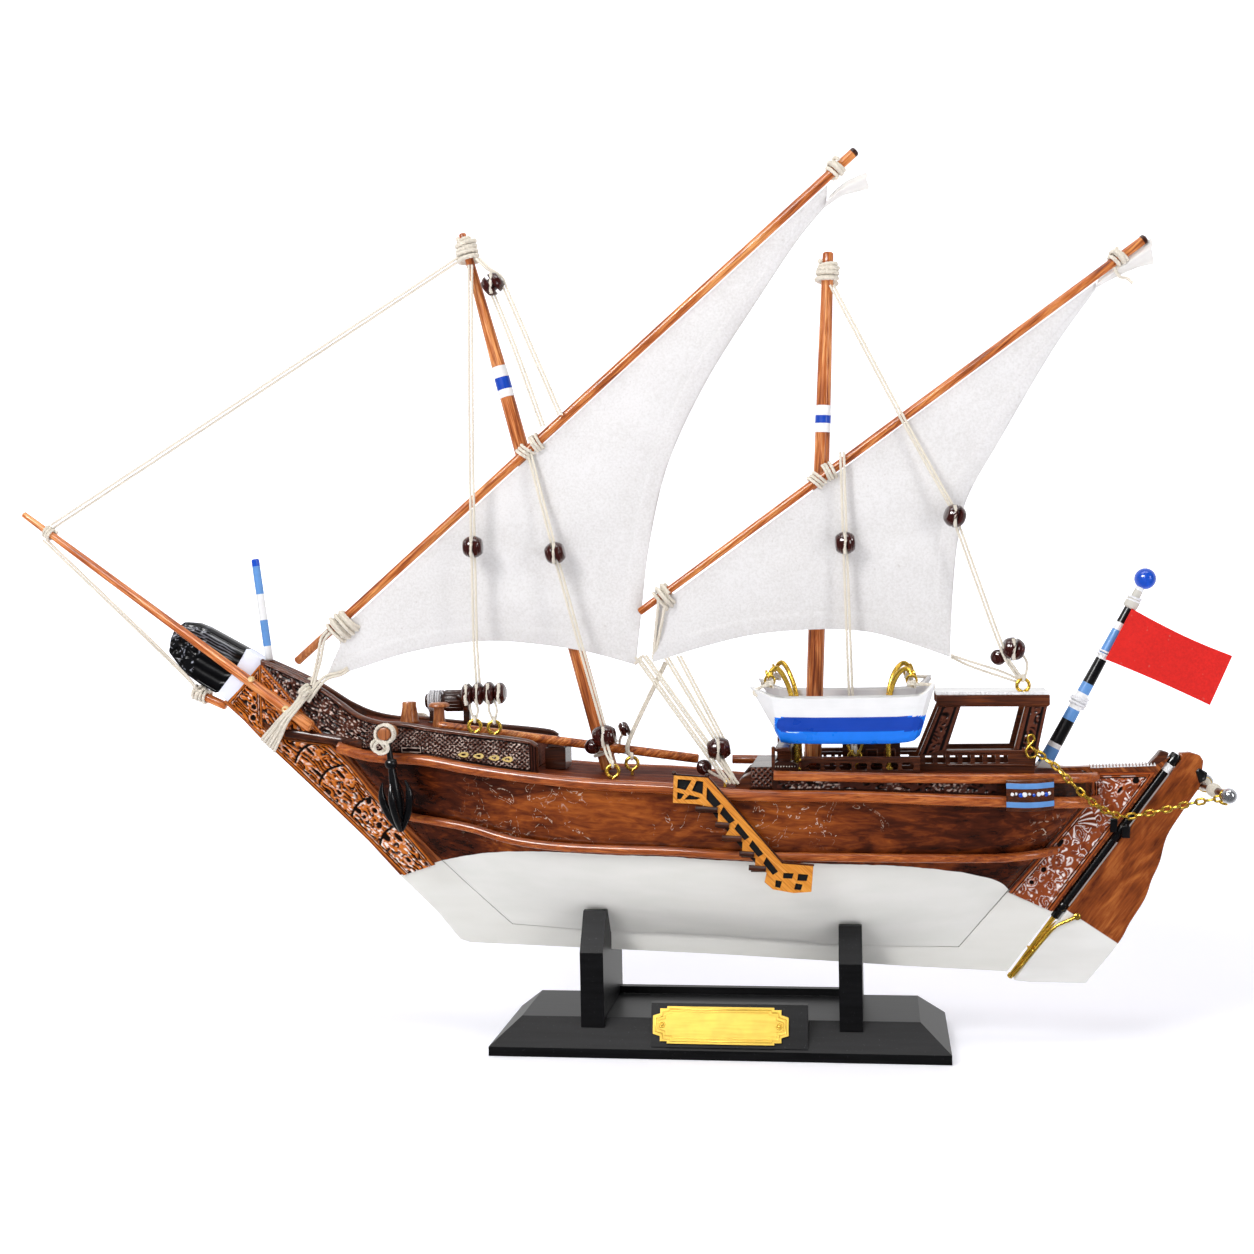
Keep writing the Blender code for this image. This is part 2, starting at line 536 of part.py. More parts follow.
def make_nameplate():
    (y0, z0), (y1, z1) = BACKING_SECTION[:2]
    up = Vector((0, y1 - y0, z1 - z0)).normalized()
    out = Vector((0, -up.z, up.y))
    centre = Vector((NAMEPLATE_CENTRE_X, (y0 + y1) / 2, (z0 + z1) / 2))
    a, b = NAMEPLATE_LENGTH / 2, NAMEPLATE_DEPTH / 2
    corner = [(a - 2 * NOTCH, b), (a - 2 * NOTCH, b - 1), (a - NOTCH, b - 1), (a - NOTCH, b - NOTCH)]
    corner.append((a, b - NOTCH - 1))
    outline = corner + [(x, -y) for x, y in corner[::-1]]
    outline += [(-x, y) for x, y in outline[::-1]]
    rings = []
    for depth in (GAP, GAP + NAMEPLATE_THICK):
        rings.append([tuple(centre + Vector((x, 0, 0)) + up * y + out * depth) for x, y in outline])
    loft("nameplate", rings, "gold", 10)


def make_hull():
    rings = []
    for u in STATION_SHARES:
        side = [hull_point(u, j / LEVELS) for j in range(LEVELS + 1)]
        rings.append([(x, -y, z) for x, y, z in side] + [(x, y, z) for x, y, z in side[::-1]])
    count = 2 * (LEVELS + 1)
    verts = [point for ring in rings for point in ring]
    faces = []
    for row in range(STATIONS):
        for i in range(count):
            j = (i + 1) % count
            a, b = row * count, (row + 1) * count
            faces.append((a + i, a + j, b + j, b + i))
    for start in (0, STATIONS * count):
        for i in range(LEVELS):
            faces.append((start + i, start + i + 1, start + count - 2 - i, start + count - 1 - i))
    add_solid("hull_body", verts, faces, "hull_wood", 50)

    bow = [hull_point(0, j / 8) for j in range(9)]
    stern = [hull_point(1, j / 8) for j in range(9)]
    side = GAP * 1.5
    inner = [(x + side, z) for x, _, z in stern[::-1]] + [(STERN_LOW + side, KEEL_EDGE[-1][1] - GAP)]
    inner += [(x, z - GAP) for x, z in KEEL_EDGE[-2:0:-1]]
    inner += [(BOW_LOW - GAP, KEEL_EDGE[0][1] - GAP)] + [(x - side, z) for x, _, z in bow]
    outline = list(STEM_OUTLINE) + [stock_point(z, -STOCK_RADIUS - SLACK) for z in STERNPOST_Z]
    outline += list(STERN_TOP_EDGE) + inner + list(STEM_TOP_EDGE)
    plate("keel_plate", [outline], -PLATE_HALF, PLATE_HALF, "carved_wood")
    plate("stem_head", [STEM_HEAD], -STEM_HEAD_HALF, STEM_HEAD_HALF, "black")


def rub_half(x):
    """Widest part of the hull that the lower rail covers."""
    radius, line = RUB_RAIL
    z = look_up(line, x)
    return max(hull_half(x, z - radius), hull_half(x, z), hull_half(x, z + radius))


def make_rail(name, table, side, half_at, steps=28):
    """Round rail that lies against the side, set off square to it."""
    radius, line = table
    reach = radius + RAIL_SEAT
    points = []
    for i in range(steps + 1):
        x = mix(line[0][0], line[-1][0], 0.5 - 0.5 * math.cos(math.pi * i / steps))
        slope = (half_at(x + 1) - half_at(x - 1)) / 2
        scale = math.hypot(1, slope)
        points.append((x - slope * reach / scale, side * (half_at(x) + reach / scale), look_up(line, x)))
    tube(name, points, radius, "rail_wood")


def make_rails():
    for suffix, side in SIDES:
        make_rail("rub_rail_" + suffix, RUB_RAIL, side, rub_half)
        make_rail("sheer_rail_" + suffix, SHEER_RAIL, side, bulwark_half)
        radius, line = POOP_RAIL
        if side > 0:
            line = (POOP_RAIL_STBD_START,) + line
        make_rail("poop_rail_" + suffix, (radius, line), side, bulwark_half, 18)


def bulwark_half(x):
    return max(sheer_half(x), WALL_MIN if x < 0 else PLATE_HALF)


def bulwark_foot(x):
    return look_up(BULWARK_FOOT, x) if x < BOW_TOP else hull_top(x) + GAP


def make_forecastle():
    steps = 26
    xs = [mix(BULWARK_TOP[0][0], BULWARK_TOP[-1][0], i / steps) for i in range(steps + 1)]
    for suffix, side in SIDES:
        rings = []
        for x in xs:
            foot, flare = bulwark_half(x), look_up(BULWARK_FLARE, x)
            low, top = bulwark_foot(x), look_up(BULWARK_TOP, x)
            ring = [(foot, low), (foot + flare, top), (foot + flare - WALL, top), (foot - WALL, low)]
            rings.append([(x, side * y, z) for y, z in ring])
        loft("bow_bulwark_" + suffix, rings, "dark_wood", 30)

    rings = []
    for i in range(13):
        x = mix(FORECASTLE_DECK[0][0], FORECASTLE_DECK[-1][0], i / 12)
        top = look_up(FORECASTLE_DECK, x)
        half, low = bulwark_half(x) - WALL - DECK_PLAY, top - DECK_THICK
        rings.append([(x, -half, low), (x, half, low), (x, half, top), (x, -half, top)])
    deck = loft("forecastle_deck", rings, "rail_wood", 30)
    x0, x1, top = BULKHEAD
    half = bulwark_half(x0) - WALL - BULKHEAD_PLAY
    bulkhead = box("bulkhead", (x0, x1), (-half, half), (hull_top(x0) + GAP, top), "rail_wood")
    fuse("forecastle_deck", [deck, bulkhead], "rail_wood")
    (x0, x1), half, top = HATCH
    box("fore_hatch", (x0, x1), (-half, half), (hull_top(x0) + GAP, top), "dark_wood")

    for name, ((x, y), profile) in (("bollard_tapered", BOLLARD), ("bollard_mushroom", MUSHROOM)):
        foot = look_up(FORECASTLE_DECK, x - profile[0][1]) + GAP
        turned(name, (x, y, foot), (0, 0, 1), profile, "spar_wood")
    make_windlass()
    tube("spare_spar", SPAR_ENDS, SPAR_RADIUS, "rail_wood", 10)


def make_windlass():
    """Drum lying fore and aft on two posts."""
    (x, y), length, (low, top) = WINDLASS
    middle, radius = (low + top) / 2, (top - low) / 2
    start, cut = x - length / 2, WINDLASS_CHAMFER
    first, last, waist = WINDLASS_WAIST
    profile = ((0, radius - cut), (cut, radius), (first, radius), (first, waist))
    profile += ((last, waist), (last, radius), (length - cut, radius), (length, radius - cut))
    drum = turned("drum", (start, y, middle), (1, 0, 0), profile, "dark_wood")
    posts = []
    half_x, half_y = WINDLASS_POST
    for setback in WINDLASS_POSTS:
        at = start + setback
        foot = look_up(FORECASTLE_DECK, at - half_x) + GAP
        sides = (at - half_x, at + half_x), (y - half_y, y + half_y)
        posts.append(box("post", *sides, (foot, middle), "dark_wood"))
    fuse("windlass", [drum] + posts, "dark_wood")


def make_anchor(name, side):
    top, foot = Vector(ANCHOR_TOP), Vector(ANCHOR_FOOT)
    top.y *= side
    foot.y *= side
    up = (top - foot).normalized()
    across = up.orthogonal().normalized()
    length = (top - foot).length
    profile = [(share * length, radius) for share, radius in ANCHOR_SHANK]
    pieces = [turned("shank", foot - up * ANCHOR_HEEL, up, profile, "black", 8)]
    for k in range(ANCHOR_ARMS):
        turn = 2 * math.pi * (k + 0.5) / ANCHOR_ARMS
        out = across * math.cos(turn) + up.cross(across) * math.sin(turn)
        points = [tuple(foot + out * a + up * b) for a, b, _ in ANCHOR_ARM]
        pieces.append(tube("arm", points, [radius for _, _, radius in ANCHOR_ARM], "black", 6))
    fuse(name, pieces, "black")


def make_bow_gear():
    x, z, radius, reach = CATHEAD
    for suffix, side in SIDES:
        root = bulwark_half(x + radius) + look_up(BULWARK_FLARE, x) + CATHEAD_PLAY
        profile = ((0, radius), (reach - root, radius))
        turned("cathead_" + suffix, (x, side * root, z), (0, side, 0), profile, "rail_wood")
        make_anchor("anchor_" + suffix, side)


def make_poop_block():
    """Raised poop that stands on the hull's top."""
    xs = [POOP_START] + [x for x in station_xs() if POOP_START + 1 < x < POOP_END - 1] + [POOP_END]
    rings = []
    for x in xs:
        low, top, half = hull_top(x) + GAP, look_up(POOP_TOP, x), sheer_half(x)
        rings.append([(x, -half, low), (x, half, low), (x, half, top), (x, -half, top)])
    loft("poop_block", rings, "dark_wood", 30)


def poop_floor(x):
    return look_up(POOP_TOP, x) + GAP


def make_canopy():
    outline = list(CANOPY_SIDE) + [(x, poop_floor(x)) for x in (CANOPY_FOOT_AFT, CANOPY_SIDE[0][0])]
    holes = [CANOPY_WINDOW]
    for first, pitch, count, width, low, high in FENCE_HOLES:
        for i in range(count):
            x = first + i * pitch
            holes.append(((x, low), (x + width, low), (x + width, high), (x, high)))
    for suffix, side in SIDES:
        low, high = sorted(side * y for y in CANOPY_SIDE_Y)
        plate("canopy_side_" + suffix, [outline] + holes, low, high, "dark_wood")
    x0, x1, half, thick = ROOF
    rings = []
    for x, under in ROOF_UNDER:
        top = under + thick
        rings.append([(x, -half, under), (x, half, under), (x, half, top), (x, -half, top)])
    loft("canopy_roof", rings, "white", 20)


def make_deckhouses():
    x0, x1, half, top = STEP
    box("poop_step", (x0, x1), (-half, half), (hull_top(x0) + GAP, top), "dark_wood")
    (x0, x1), (y0, y1), reach, (low, high) = GALLOWS
    floor = poop_floor(x0)
    side = [(y1, floor), (y1, low), (reach, low + GALLOWS_RISE), (reach, high)]
    outline = mirrored(side) + [(y0, floor), (y0, low), (-y0, low), (-y0, floor)]
    plate("boat_gallows", [outline], x0, x1, "dark_wood", "x")
    (x0, x1), half, top = CABIN
    box("cabin", (x0, x1), (-half, half), (poop_floor(x0), top), "dark_wood")


def make_badges():
    (x0, x1), (low, top), bulge = BADGE
    rail = 2 * SHEER_RAIL[0] + BADGE_PLAY
    for suffix, side in SIDES:
        inner = [(x, hull_half(x, look_up(SHEER, x)) + rail) for x in (x0, (x0 + x1) / 2, x1)]
        outer = []
        for k in range(9):
            share = k / 8
            x = mix(x1, x0, share)
            y = mix(inner[2][1], inner[0][1], share) + BADGE_DEPTH + bulge * math.sin(math.pi * share)
            outer.append((x, y))
        outline = [(x, side * y) for x, y in (inner[0], inner[2])] + [(x, side * y) for x, y in outer]
        plate("quarter_badge_" + suffix, [outline], low, top, "dark_wood", "z")


def make_rudder():
    outline = list(RUDDER_AFT) + [stock_point(z, STOCK_RADIUS + GAP) for z in RUDDER_FRONT_Z]
    plate("rudder_blade", [outline], -RUDDER_HALF, RUDDER_HALF, "carved_wood")

    foot = stock_point(PINTLE_FOOT_Z)
    head = stock_point(STOCK_CAP_Z)
    start = Vector((foot[0], 0, foot[1]))
    along = Vector((head[0], 0, head[1])) - start
    shoulder = (Vector((STOCK_FOOT[0], 0, STOCK_FOOT[1])) - start).length
    profile = ((0, PINTLE_RADIUS), (shoulder, PINTLE_RADIUS))
    profile += ((shoulder, STOCK_RADIUS), (along.length, STOCK_RADIUS))
    turned("rudder_stock", tuple(start), tuple(along), profile, "black")

    pieces = []
    for _, side in SIDES:
        tip = Vector((YOKE_TIP[0], side * YOKE_TIP[1], YOKE_TIP[2]))
        root = Vector((YOKE_ROOT[0], -side * YOKE_OVERLAP, YOKE_ROOT[2]))
        reach = (tip - root).length
        profile = [(0, YOKE_RADIUS), (reach - YOKE_BALL, YOKE_RADIUS)]
        profile += ball_profile(reach, YOKE_BALL, 0.12, 7)
        pieces.append(turned("bar", tuple(root), tuple(tip - root), profile, "black", 10))
        chain = [(x, side * y, z) for x, y, z in CHAIN_AFT]
        pieces.append(tube("tail", smooth_path(chain, 4), CHAIN_RADIUS, "gold", 6))
    fuse("rudder_yoke", pieces, "black")
    for suffix, side in SIDES:
        chain = [(x, side * y, z) for x, y, z in CHAIN_FORE]
        tube("steering_chain_" + suffix, smooth_path(chain, 4), CHAIN_RADIUS, "gold", 6)


def make_boat(name, side):
    """Open boat: an outer skin and an inner skin joined along the gunwale."""
    levels = [t / 4 for t in range(5)]
    rings = []
    for keel_x, top_x, share, low, top in BOAT_STATIONS:
        outer, inner = [], []
        for t in levels:
            half = BOAT_HALF * share * look_up(BOAT_SECTION, t)
            outer.append((mix(keel_x, top_x, t), half, mix(low, top, t)))
        rings.append(outer)
    hollow = []
    for keel_x, top_x, share, low, top in BOAT_STATIONS[1:-1]:
        ring = []
        for t in levels[1:]:
            half = BOAT_HALF * share * look_up(BOAT_SECTION, t) - BOAT_SHELL
            rise = BOAT_WELL_RISE if t == 1 else 0
            ring.append((mix(keel_x, top_x, t), half, mix(low, top, t) + rise))
        hollow.append(ring)

    def closed(sections):
        made = []
        for section in sections:
            made.append([(x, side * BOAT_Y - y, z) for x, y, z in section]
                        + [(x, side * BOAT_Y + y, z) for x, y, z in section[::-1]])
        return made

    hull = loft(name, closed(rings), "white", 40)
    well = loft("well", closed(hollow), "white", 40)
    cut = hull.modifiers.new("well", "BOOLEAN")
    cut.operation = "DIFFERENCE"
    cut.solver = "EXACT"
    cut.object = well
    bpy.context.view_layer.update()
    mesh = bpy.data.meshes.new_from_object(hull.evaluated_get(bpy.context.evaluated_depsgraph_get()))
    hull.modifiers.clear()
    hull.data = mesh
    bpy.data.objects.remove(well, do_unlink=True)


def make_boats():
    for suffix, side in SIDES:
        make_boat("lifeboat_" + suffix, side)
        pieces = []
        for line in DAVITS:
            points = [(x, side * y, z) for x, y, z in line]
            pieces.append(tube("davit", smooth_path(points, 2), DAVIT_RADIUS, "gold", 6))
        (x0, y, z), (x1, _, _) = DAVITS[0][0], DAVITS[1][0]
        run, half, rise = DAVIT_FOOT
        y0, y1 = sorted((side * (y - half), side * (y + half)))
        pieces.append(box("foot", (x0 - run, x1 + run), (y0, y1), (poop_floor(x0), z + rise), "gold"))
        fuse("davits_" + suffix, pieces, "gold")


def make_ladder():
    top_a, top_b = LADDER[1], LADDER[2]
    low_a, low_b = LADDER[6], LADDER[5]
    holes = [list(hole) for hole in LADDER_HEAD_HOLES]
    (first, last), (near, far) = LADDER_WINDOW
    pitches = LADDER_WINDOWS + LADDER_LANDING
    for i in range(LADDER_WINDOWS):
        start, end = (i + first) / pitches, (i + last) / pitches
        hole = []
        for share, depth in ((start, near), (end, near), (end, far), (start, far)):
            x = mix(mix(top_a[0], top_b[0], share), mix(low_a[0], low_b[0], share), depth)
            z = mix(mix(top_a[1], top_b[1], share), mix(low_a[1], low_b[1], share), depth)
            hole.append((x, z))
        holes.append(hole)
    low, high = -LADDER_Y[1], -LADDER_Y[0]
    plate("ladder", [LADDER] + holes, low, high, "ply")


def make_spars():
    for name, (start, end, radii) in SPARS.items():
        middle = tuple(mix(a, b, 0.5) for a, b in zip(start, end))
        tube(name, (start, middle, end), radii, "spar_wood", 12)
    direction = Vector(FLAGSTAFF_HEAD) - Vector(FLAGSTAFF_FOOT)
    reach = direction.length
    first, last = FLAGSTAFF_RADII
    profile = [(0, first), (reach, last)]
    profile += ball_profile(reach + 0.9 * FLAGSTAFF_BALL, FLAGSTAFF_BALL, 0.13, 8)
    turned("flagstaff", FLAGSTAFF_FOOT, tuple(direction), profile, "white")
    plate("flag", [FLAG_CORNERS], FLAG_Y[0], FLAG_Y[1], "red")


def along_table(points, share):
    """Point at a share of a broken line's length."""
    lengths = [math.dist(a, b) for a, b in zip(points, points[1:])]
    left = share * sum(lengths)
    for (a, b), length in zip(zip(points, points[1:]), lengths):
        if left <= length:
            return mix(a[0], b[0], left / length), mix(a[1], b[1], left / length)
        left -= length
    return points[-1]


def make_sail(name, billow, edge):
    yard, x0, x1 = SAIL_HEADS[name]
    start, end, radii = SPARS[yard]
    along = Vector((end[0] - start[0], 0, end[2] - start[2])).normalized()
    under = Vector((along.z, 0, -along.x)) * (max(radii) + SAIL_PLAY)
    front, back = [], []
    for i in range(SAIL_COLUMNS + 1):
        share = i / SAIL_COLUMNS
        x = mix(x0, x1, share)
        way = (x - start[0]) / (end[0] - start[0])
        y, z = mix(start[1], end[1], way), mix(start[2], end[2], way)
        head = (x + under.x, z + under.z)
        foot = along_table(edge, share)
        for j in range(SAIL_ROWS + 1):
            drop = j / SAIL_ROWS
            belly = billow * math.sin(math.pi * share) * math.sin(math.pi * drop * SAIL_FULLNESS)
            swing = SAIL_SWING * drop * min(share * 2, 1)
            at, level = mix(head[0], foot[0], drop), mix(head[1], foot[1], drop)
            front.append((at, y - belly + swing - SAIL_THICK / 2, level))
            back.append((at, y - belly + swing + SAIL_THICK / 2, level))
    count = len(front)
    across = SAIL_ROWS + 1
    faces = []
    for i in range(SAIL_COLUMNS):
        for j in range(SAIL_ROWS):
            a = i * across + j
            faces.append((a, a + 1, a + across + 1, a + across))
            faces.append((count + a, count + a + across, count + a + across + 1, count + a + 1))
    rim = list(range(across)) + [i * across + SAIL_ROWS for i in range(1, SAIL_COLUMNS + 1)]
    rim += [SAIL_COLUMNS * across + j for j in range(SAIL_ROWS - 1, -1, -1)]
    rim += [i * across for i in range(SAIL_COLUMNS - 1, 0, -1)]
    for a, b in zip(rim, rim[1:] + rim[:1]):
        faces.append((a, b, count + b, count + a))
    add_solid(name, front + back, faces, "canvas", 60)


def ring_shape(centre, axis, ring, wire, rows=12, sides=6):
    """Ring round an axis."""
    along = Vector(axis).normalized()
    across = along.orthogonal().normalized()
    other = along.cross(across)
    verts, faces = [], []
    for i in range(rows):
        a = 2 * math.pi * i / rows
        for j in range(sides):
            b = 2 * math.pi * j / sides
            out = (across * math.cos(a) + other * math.sin(a)) * (ring + wire * math.cos(b))
            verts.append(tuple(Vector(centre) + out + along * wire * math.sin(b)))
    for i in range(rows):
        for j in range(sides):
            k, m = (i + 1) % rows, (j + 1) % sides
            faces.append((i * sides + j, i * sides + m, k * sides + m, k * sides + j))
    return add_solid("ring", verts, faces, "gold", 60)


def make_rigging():
    for name, rig in RIGGING.items():
        pieces = [tube("line", line, LINE_RADIUS, "rope", 6) for line in rig["lines"]]
        width = BLOCK_PROFILE[-1][0]
        for x, y, z in rig.get("blocks", ()):
            pieces.append(turned("block", (x - width / 2, y, z), BLOCK_AXIS, BLOCK_PROFILE, "block", 10))
        for x, y, z, floor in rig.get("eyes", ()):
            pieces.append(ring_shape((x, y, z), (0, 1, 0), EYE_RING, EYE_WIRE))
            shank = ((x, y, floor + SLACK), (x, y, z - EYE_RING))
            pieces.append(tube("shank", shank, EYE_SHANK, "gold", 6))
        for centre, spar, ring in rig.get("wraps", ()):
            start, end, _ = SPARS[spar]
            pieces.append(ring_shape(centre, Vector(end) - Vector(start), ring, WRAP_WIRE))
        fuse(name, pieces, "rope")


def build():
    clear_scene()
    make_stand()
    make_hull()
    make_rails()
    make_forecastle()
    make_bow_gear()
    make_poop_block()
    make_canopy()
    make_deckhouses()
    make_badges()
    make_rudder()
    make_boats()
    make_ladder()
    make_spars()
    make_sail("main_sail", *MAIN_SAIL)
    make_sail("mizzen_sail", *MIZZEN_SAIL)
    make_rigging()


build()
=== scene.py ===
"""Looks of the wooden display model of a lateen-rigged boat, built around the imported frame.

Sizes in the tables and functions are in millimetres; a mesh is scaled to metres when it is made.
"""

from functools import lru_cache
import math
import random

import bmesh
import bpy
from mathutils import Matrix, Vector, noise
from mathutils.geometry import tessellate_polygon


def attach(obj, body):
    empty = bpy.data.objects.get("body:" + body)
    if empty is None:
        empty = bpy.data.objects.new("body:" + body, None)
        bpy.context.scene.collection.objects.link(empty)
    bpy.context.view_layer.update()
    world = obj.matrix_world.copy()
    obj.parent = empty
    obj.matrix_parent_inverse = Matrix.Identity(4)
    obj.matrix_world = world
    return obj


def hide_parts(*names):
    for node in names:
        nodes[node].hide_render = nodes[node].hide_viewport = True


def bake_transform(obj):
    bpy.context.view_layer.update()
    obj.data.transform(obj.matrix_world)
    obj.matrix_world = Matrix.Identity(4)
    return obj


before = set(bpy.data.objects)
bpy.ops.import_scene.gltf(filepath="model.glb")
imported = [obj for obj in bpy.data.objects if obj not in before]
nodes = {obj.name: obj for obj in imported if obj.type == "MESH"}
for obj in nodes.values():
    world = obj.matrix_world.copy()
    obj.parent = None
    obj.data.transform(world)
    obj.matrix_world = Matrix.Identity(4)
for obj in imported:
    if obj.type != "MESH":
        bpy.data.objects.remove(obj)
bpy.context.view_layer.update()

MM = 0.001
BODY, RUDDER = "boat", "rudder"

# Camera of the photograph, in metres and degrees
CAMERA_PLACE = (0.0728, -0.7870, 0.2153)
CAMERA_YAW, CAMERA_PITCH, CAMERA_ROLL = -8.274, -1.563, -1.174
CAMERA_LENS, CAMERA_SENSOR = 48.63, 36.0

# Light: strength of the surround behind the camera, and lamps by place, aim, width, height and power
SURROUND_NEAR = 0.07
FLOOR_GLOW = 0.30
LAMPS = (
    ("key", (-0.75, -1.05, 1.05), (-0.05, 0, 0.2), 0.45, 0.7, 12.0),
    ("fill", (1.15, -0.85, 0.45), (0.05, 0, 0.16), 0.25, 0.7, 4.0),
    ("top", (0.0, -0.25, 1.35), (0, 0, 0.15), 1.2, 0.4, 7.0),
)
SHEEN_LAMP = ("sheen", (-0.55, -1.15, 1.0), (0, 0, 0.2), 0.9, 0.28, 26.0)  # seen only in gloss

# Ropes
CORD = 0.66  # radius of the rigging cord
STRANDS, LAY = 3, 6.0  # strands of a cord, and the length in which one goes round
STRAND_SHARES = (1.0, 1.0, 0.84)  # a strand's crown, its crown again and the cut beside it
WEAVE = 0.55  # pitch of the canvas threads

SIDES = (("port", -1), ("stbd", 1))

# Spars: start, end and radius, as in the frame
MAIN_MAST = ((-51.2, 0, 126.4), (-116.6, 0, 381.0), 3.4)
MIZZEN_MAST = ((43.9, 0, 128.4), (55.1, 0, 364.0), 3.5)
MAIN_YARD = ((-201.4, -5.7, 179.6), (68.6, -5.7, 408.2), 2.15)
MIZZEN_YARD = ((-34.4, -9.6, 200.6), (195.2, -6.2, 362.4), 1.95)
BOWSPRIT = ((-193.9, -8.0, 148.3), (-337.6, -8.0, 253.9), 2.0)
BUMPKIN = ((-239.5, 0, 158.2), (-256.0, 0, 165.6), 1.6)


def srgb(red, green, blue):
    """Linear colour of a display colour given from 0 to 255."""
    return tuple(((c / 255 + 0.055) / 1.055) ** 2.4 if c > 10 else c / 255 / 12.92
                 for c in (red, green, blue)) + (1.0,)


def mix(a, b, share):
    return a + (b - a) * share


def between(a, b, share):
    return tuple(mix(p, q, share) for p, q in zip(a, b))


def look_up(table, at):
    """Reads a two-column table at a place between its rows."""
    if at <= table[0][0]:
        return table[0][1]
    for (a, low), (b, high) in zip(table, table[1:]):
        if at <= b:
            return low + (high - low) * (at - a) / (b - a)
    return table[-1][1]


class Look:
    """A material with short calls for its nodes."""

    def __init__(self, name, roughness=0.5, metallic=0.0, coat=0.0, coat_roughness=0.06, specular=0.3):
        self.material = bpy.data.materials.new(name)
        self.material.use_nodes = True
        self.tree = self.material.node_tree
        self.shader = self.tree.nodes["Principled BSDF"]
        self.put(self.shader, "Roughness", roughness)
        self.put(self.shader, "Metallic", metallic)
        self.put(self.shader, "Coat Weight", coat)
        self.put(self.shader, "Coat Roughness", coat_roughness)
        self.put(self.shader, "Specular IOR Level", specular)

    def put(self, node, key, value):
        socket = node.inputs[key]
        if isinstance(value, bpy.types.NodeSocket):
            self.tree.links.new(value, socket)
        else:
            socket.default_value = value

    def node(self, kind, out, settings, inputs):
        made = self.tree.nodes.new("ShaderNode" + kind)
        for key, value in settings.items():
            setattr(made, key, value)
        for key, value in inputs.items():
            self.put(made, key, value)
        return made.outputs[out]

    def place(self):
        return self.node("TexCoord", "Object", {}, {})

    def split(self, vector):
        made = self.tree.nodes.new("ShaderNodeSeparateXYZ")
        self.put(made, 0, vector)
        return made.outputs

    def along(self, direction, stretch, spread=1.0):
        """Object coordinates turned so that the grain runs along X and is stretched there."""
        turn = (0.0, math.atan2(direction[2], direction[0]), 0.0)
        turned = self.node("Mapping", 0, {}, {"Vector": self.place(), "Rotation": turn})
        return self.node("VectorMath", 0, {"operation": "MULTIPLY"},
                         {0: turned, 1: (stretch, spread, spread)})

    def noise(self, vector, scale, detail=3.0, roughness=0.55, distortion=0.0):
        return self.node("TexNoise", 0, {}, {
            "Vector": vector, "Scale": scale, "Detail": detail, "Roughness": roughness,
            "Distortion": distortion})

    def math(self, operation, a, b=0.0):
        return self.node("Math", 0, {"operation": operation}, {0: a, 1: b})

    def added(self, a, a_share, b, b_share):
        """Sum of two values, each times its share."""
        return self.math("ADD", self.math("MULTIPLY", a, a_share), self.math("MULTIPLY", b, b_share))

    def spread(self, value, low, high, to_low=0.0, to_high=1.0):
        return self.node("MapRange", 0, {}, {
            "Value": value, "From Min": low, "From Max": high, "To Min": to_low, "To Max": to_high})

    def ramp(self, value, stops):
        made = self.tree.nodes.new("ShaderNodeValToRGB")
        bar = made.color_ramp.elements
        while len(bar) < len(stops):
            bar.new(1.0)
        for element, (place, colour) in zip(bar, stops):
            element.position = place
            element.color = colour
        self.put(made, 0, value)
        return made.outputs[0]

    def blend(self, share, a, b, way="MIX"):
        made = self.tree.nodes.new("ShaderNodeMix")
        made.data_type = "RGBA"
        made.blend_type = way
        self.put(made, 0, share)
        self.put(made, 6, a)
        self.put(made, 7, b)
        return made.outputs[2]

    def attribute(self, name):
        return self.node("Attribute", "Fac", {"attribute_name": name}, {})

    def bump(self, height, distance, strength=0.6):
        made = self.tree.nodes.new("ShaderNodeBump")
        self.put(made, "Height", height)
        self.put(made, "Distance", distance * MM)
        self.put(made, "Strength", strength)
        self.put(self.shader, "Normal", made.outputs[0])

    def colour(self, value):
        self.put(self.shader, "Base Color", value)

    def roughness(self, value, low, high, to_low, to_high):
        self.put(self.shader, "Roughness", self.spread(value, low, high, to_low, to_high))

    def painted_below(self, below, wood, dark, light):
        """White brushed paint where below is one, and wood above it."""
        strokes = self.noise(self.along((1, 0, 0), 0.2), 120, 2)
        self.colour(self.blend(below, wood, self.ramp(strokes, ((0.3, dark), (0.62, light)))))


def varnish(name, dark, middle, light, direction=(1, 0, 0), roughness=0.32, coat=0.4, blotch=0.35,
            stops=(0.30, 0.50, 0.68)):
    """Varnished wood: long grain, fine pores and slow changes of tone."""
    look = Look(name, roughness, coat=coat, specular=0.2 if coat else 0.05)
    grain = look.noise(look.along(direction, 0.05), 900, 4, 0.6, 0.4)
    streak = look.noise(look.along(direction, 0.02), 2600, 2, 0.5)
    tone = look.noise(look.along(direction, 0.35), 70, 3)
    mixed = look.added(grain, 1 - blotch, tone, blotch)
    base = look.ramp(mixed, tuple(zip(stops, (dark, middle, light))))
    pores = look.spread(streak, 0.36, 0.44, 0.55, 1.0)
    look.colour(look.blend(1.0, base, look.blend(pores, dark, srgb(255, 255, 255)), "MULTIPLY"))
    look.roughness(grain, 0.3, 0.7, roughness + 0.12, roughness - 0.06)
    look.bump(look.math("ADD", grain, look.math("MULTIPLY", streak, 0.6)), 0.12, 0.35)
    return look


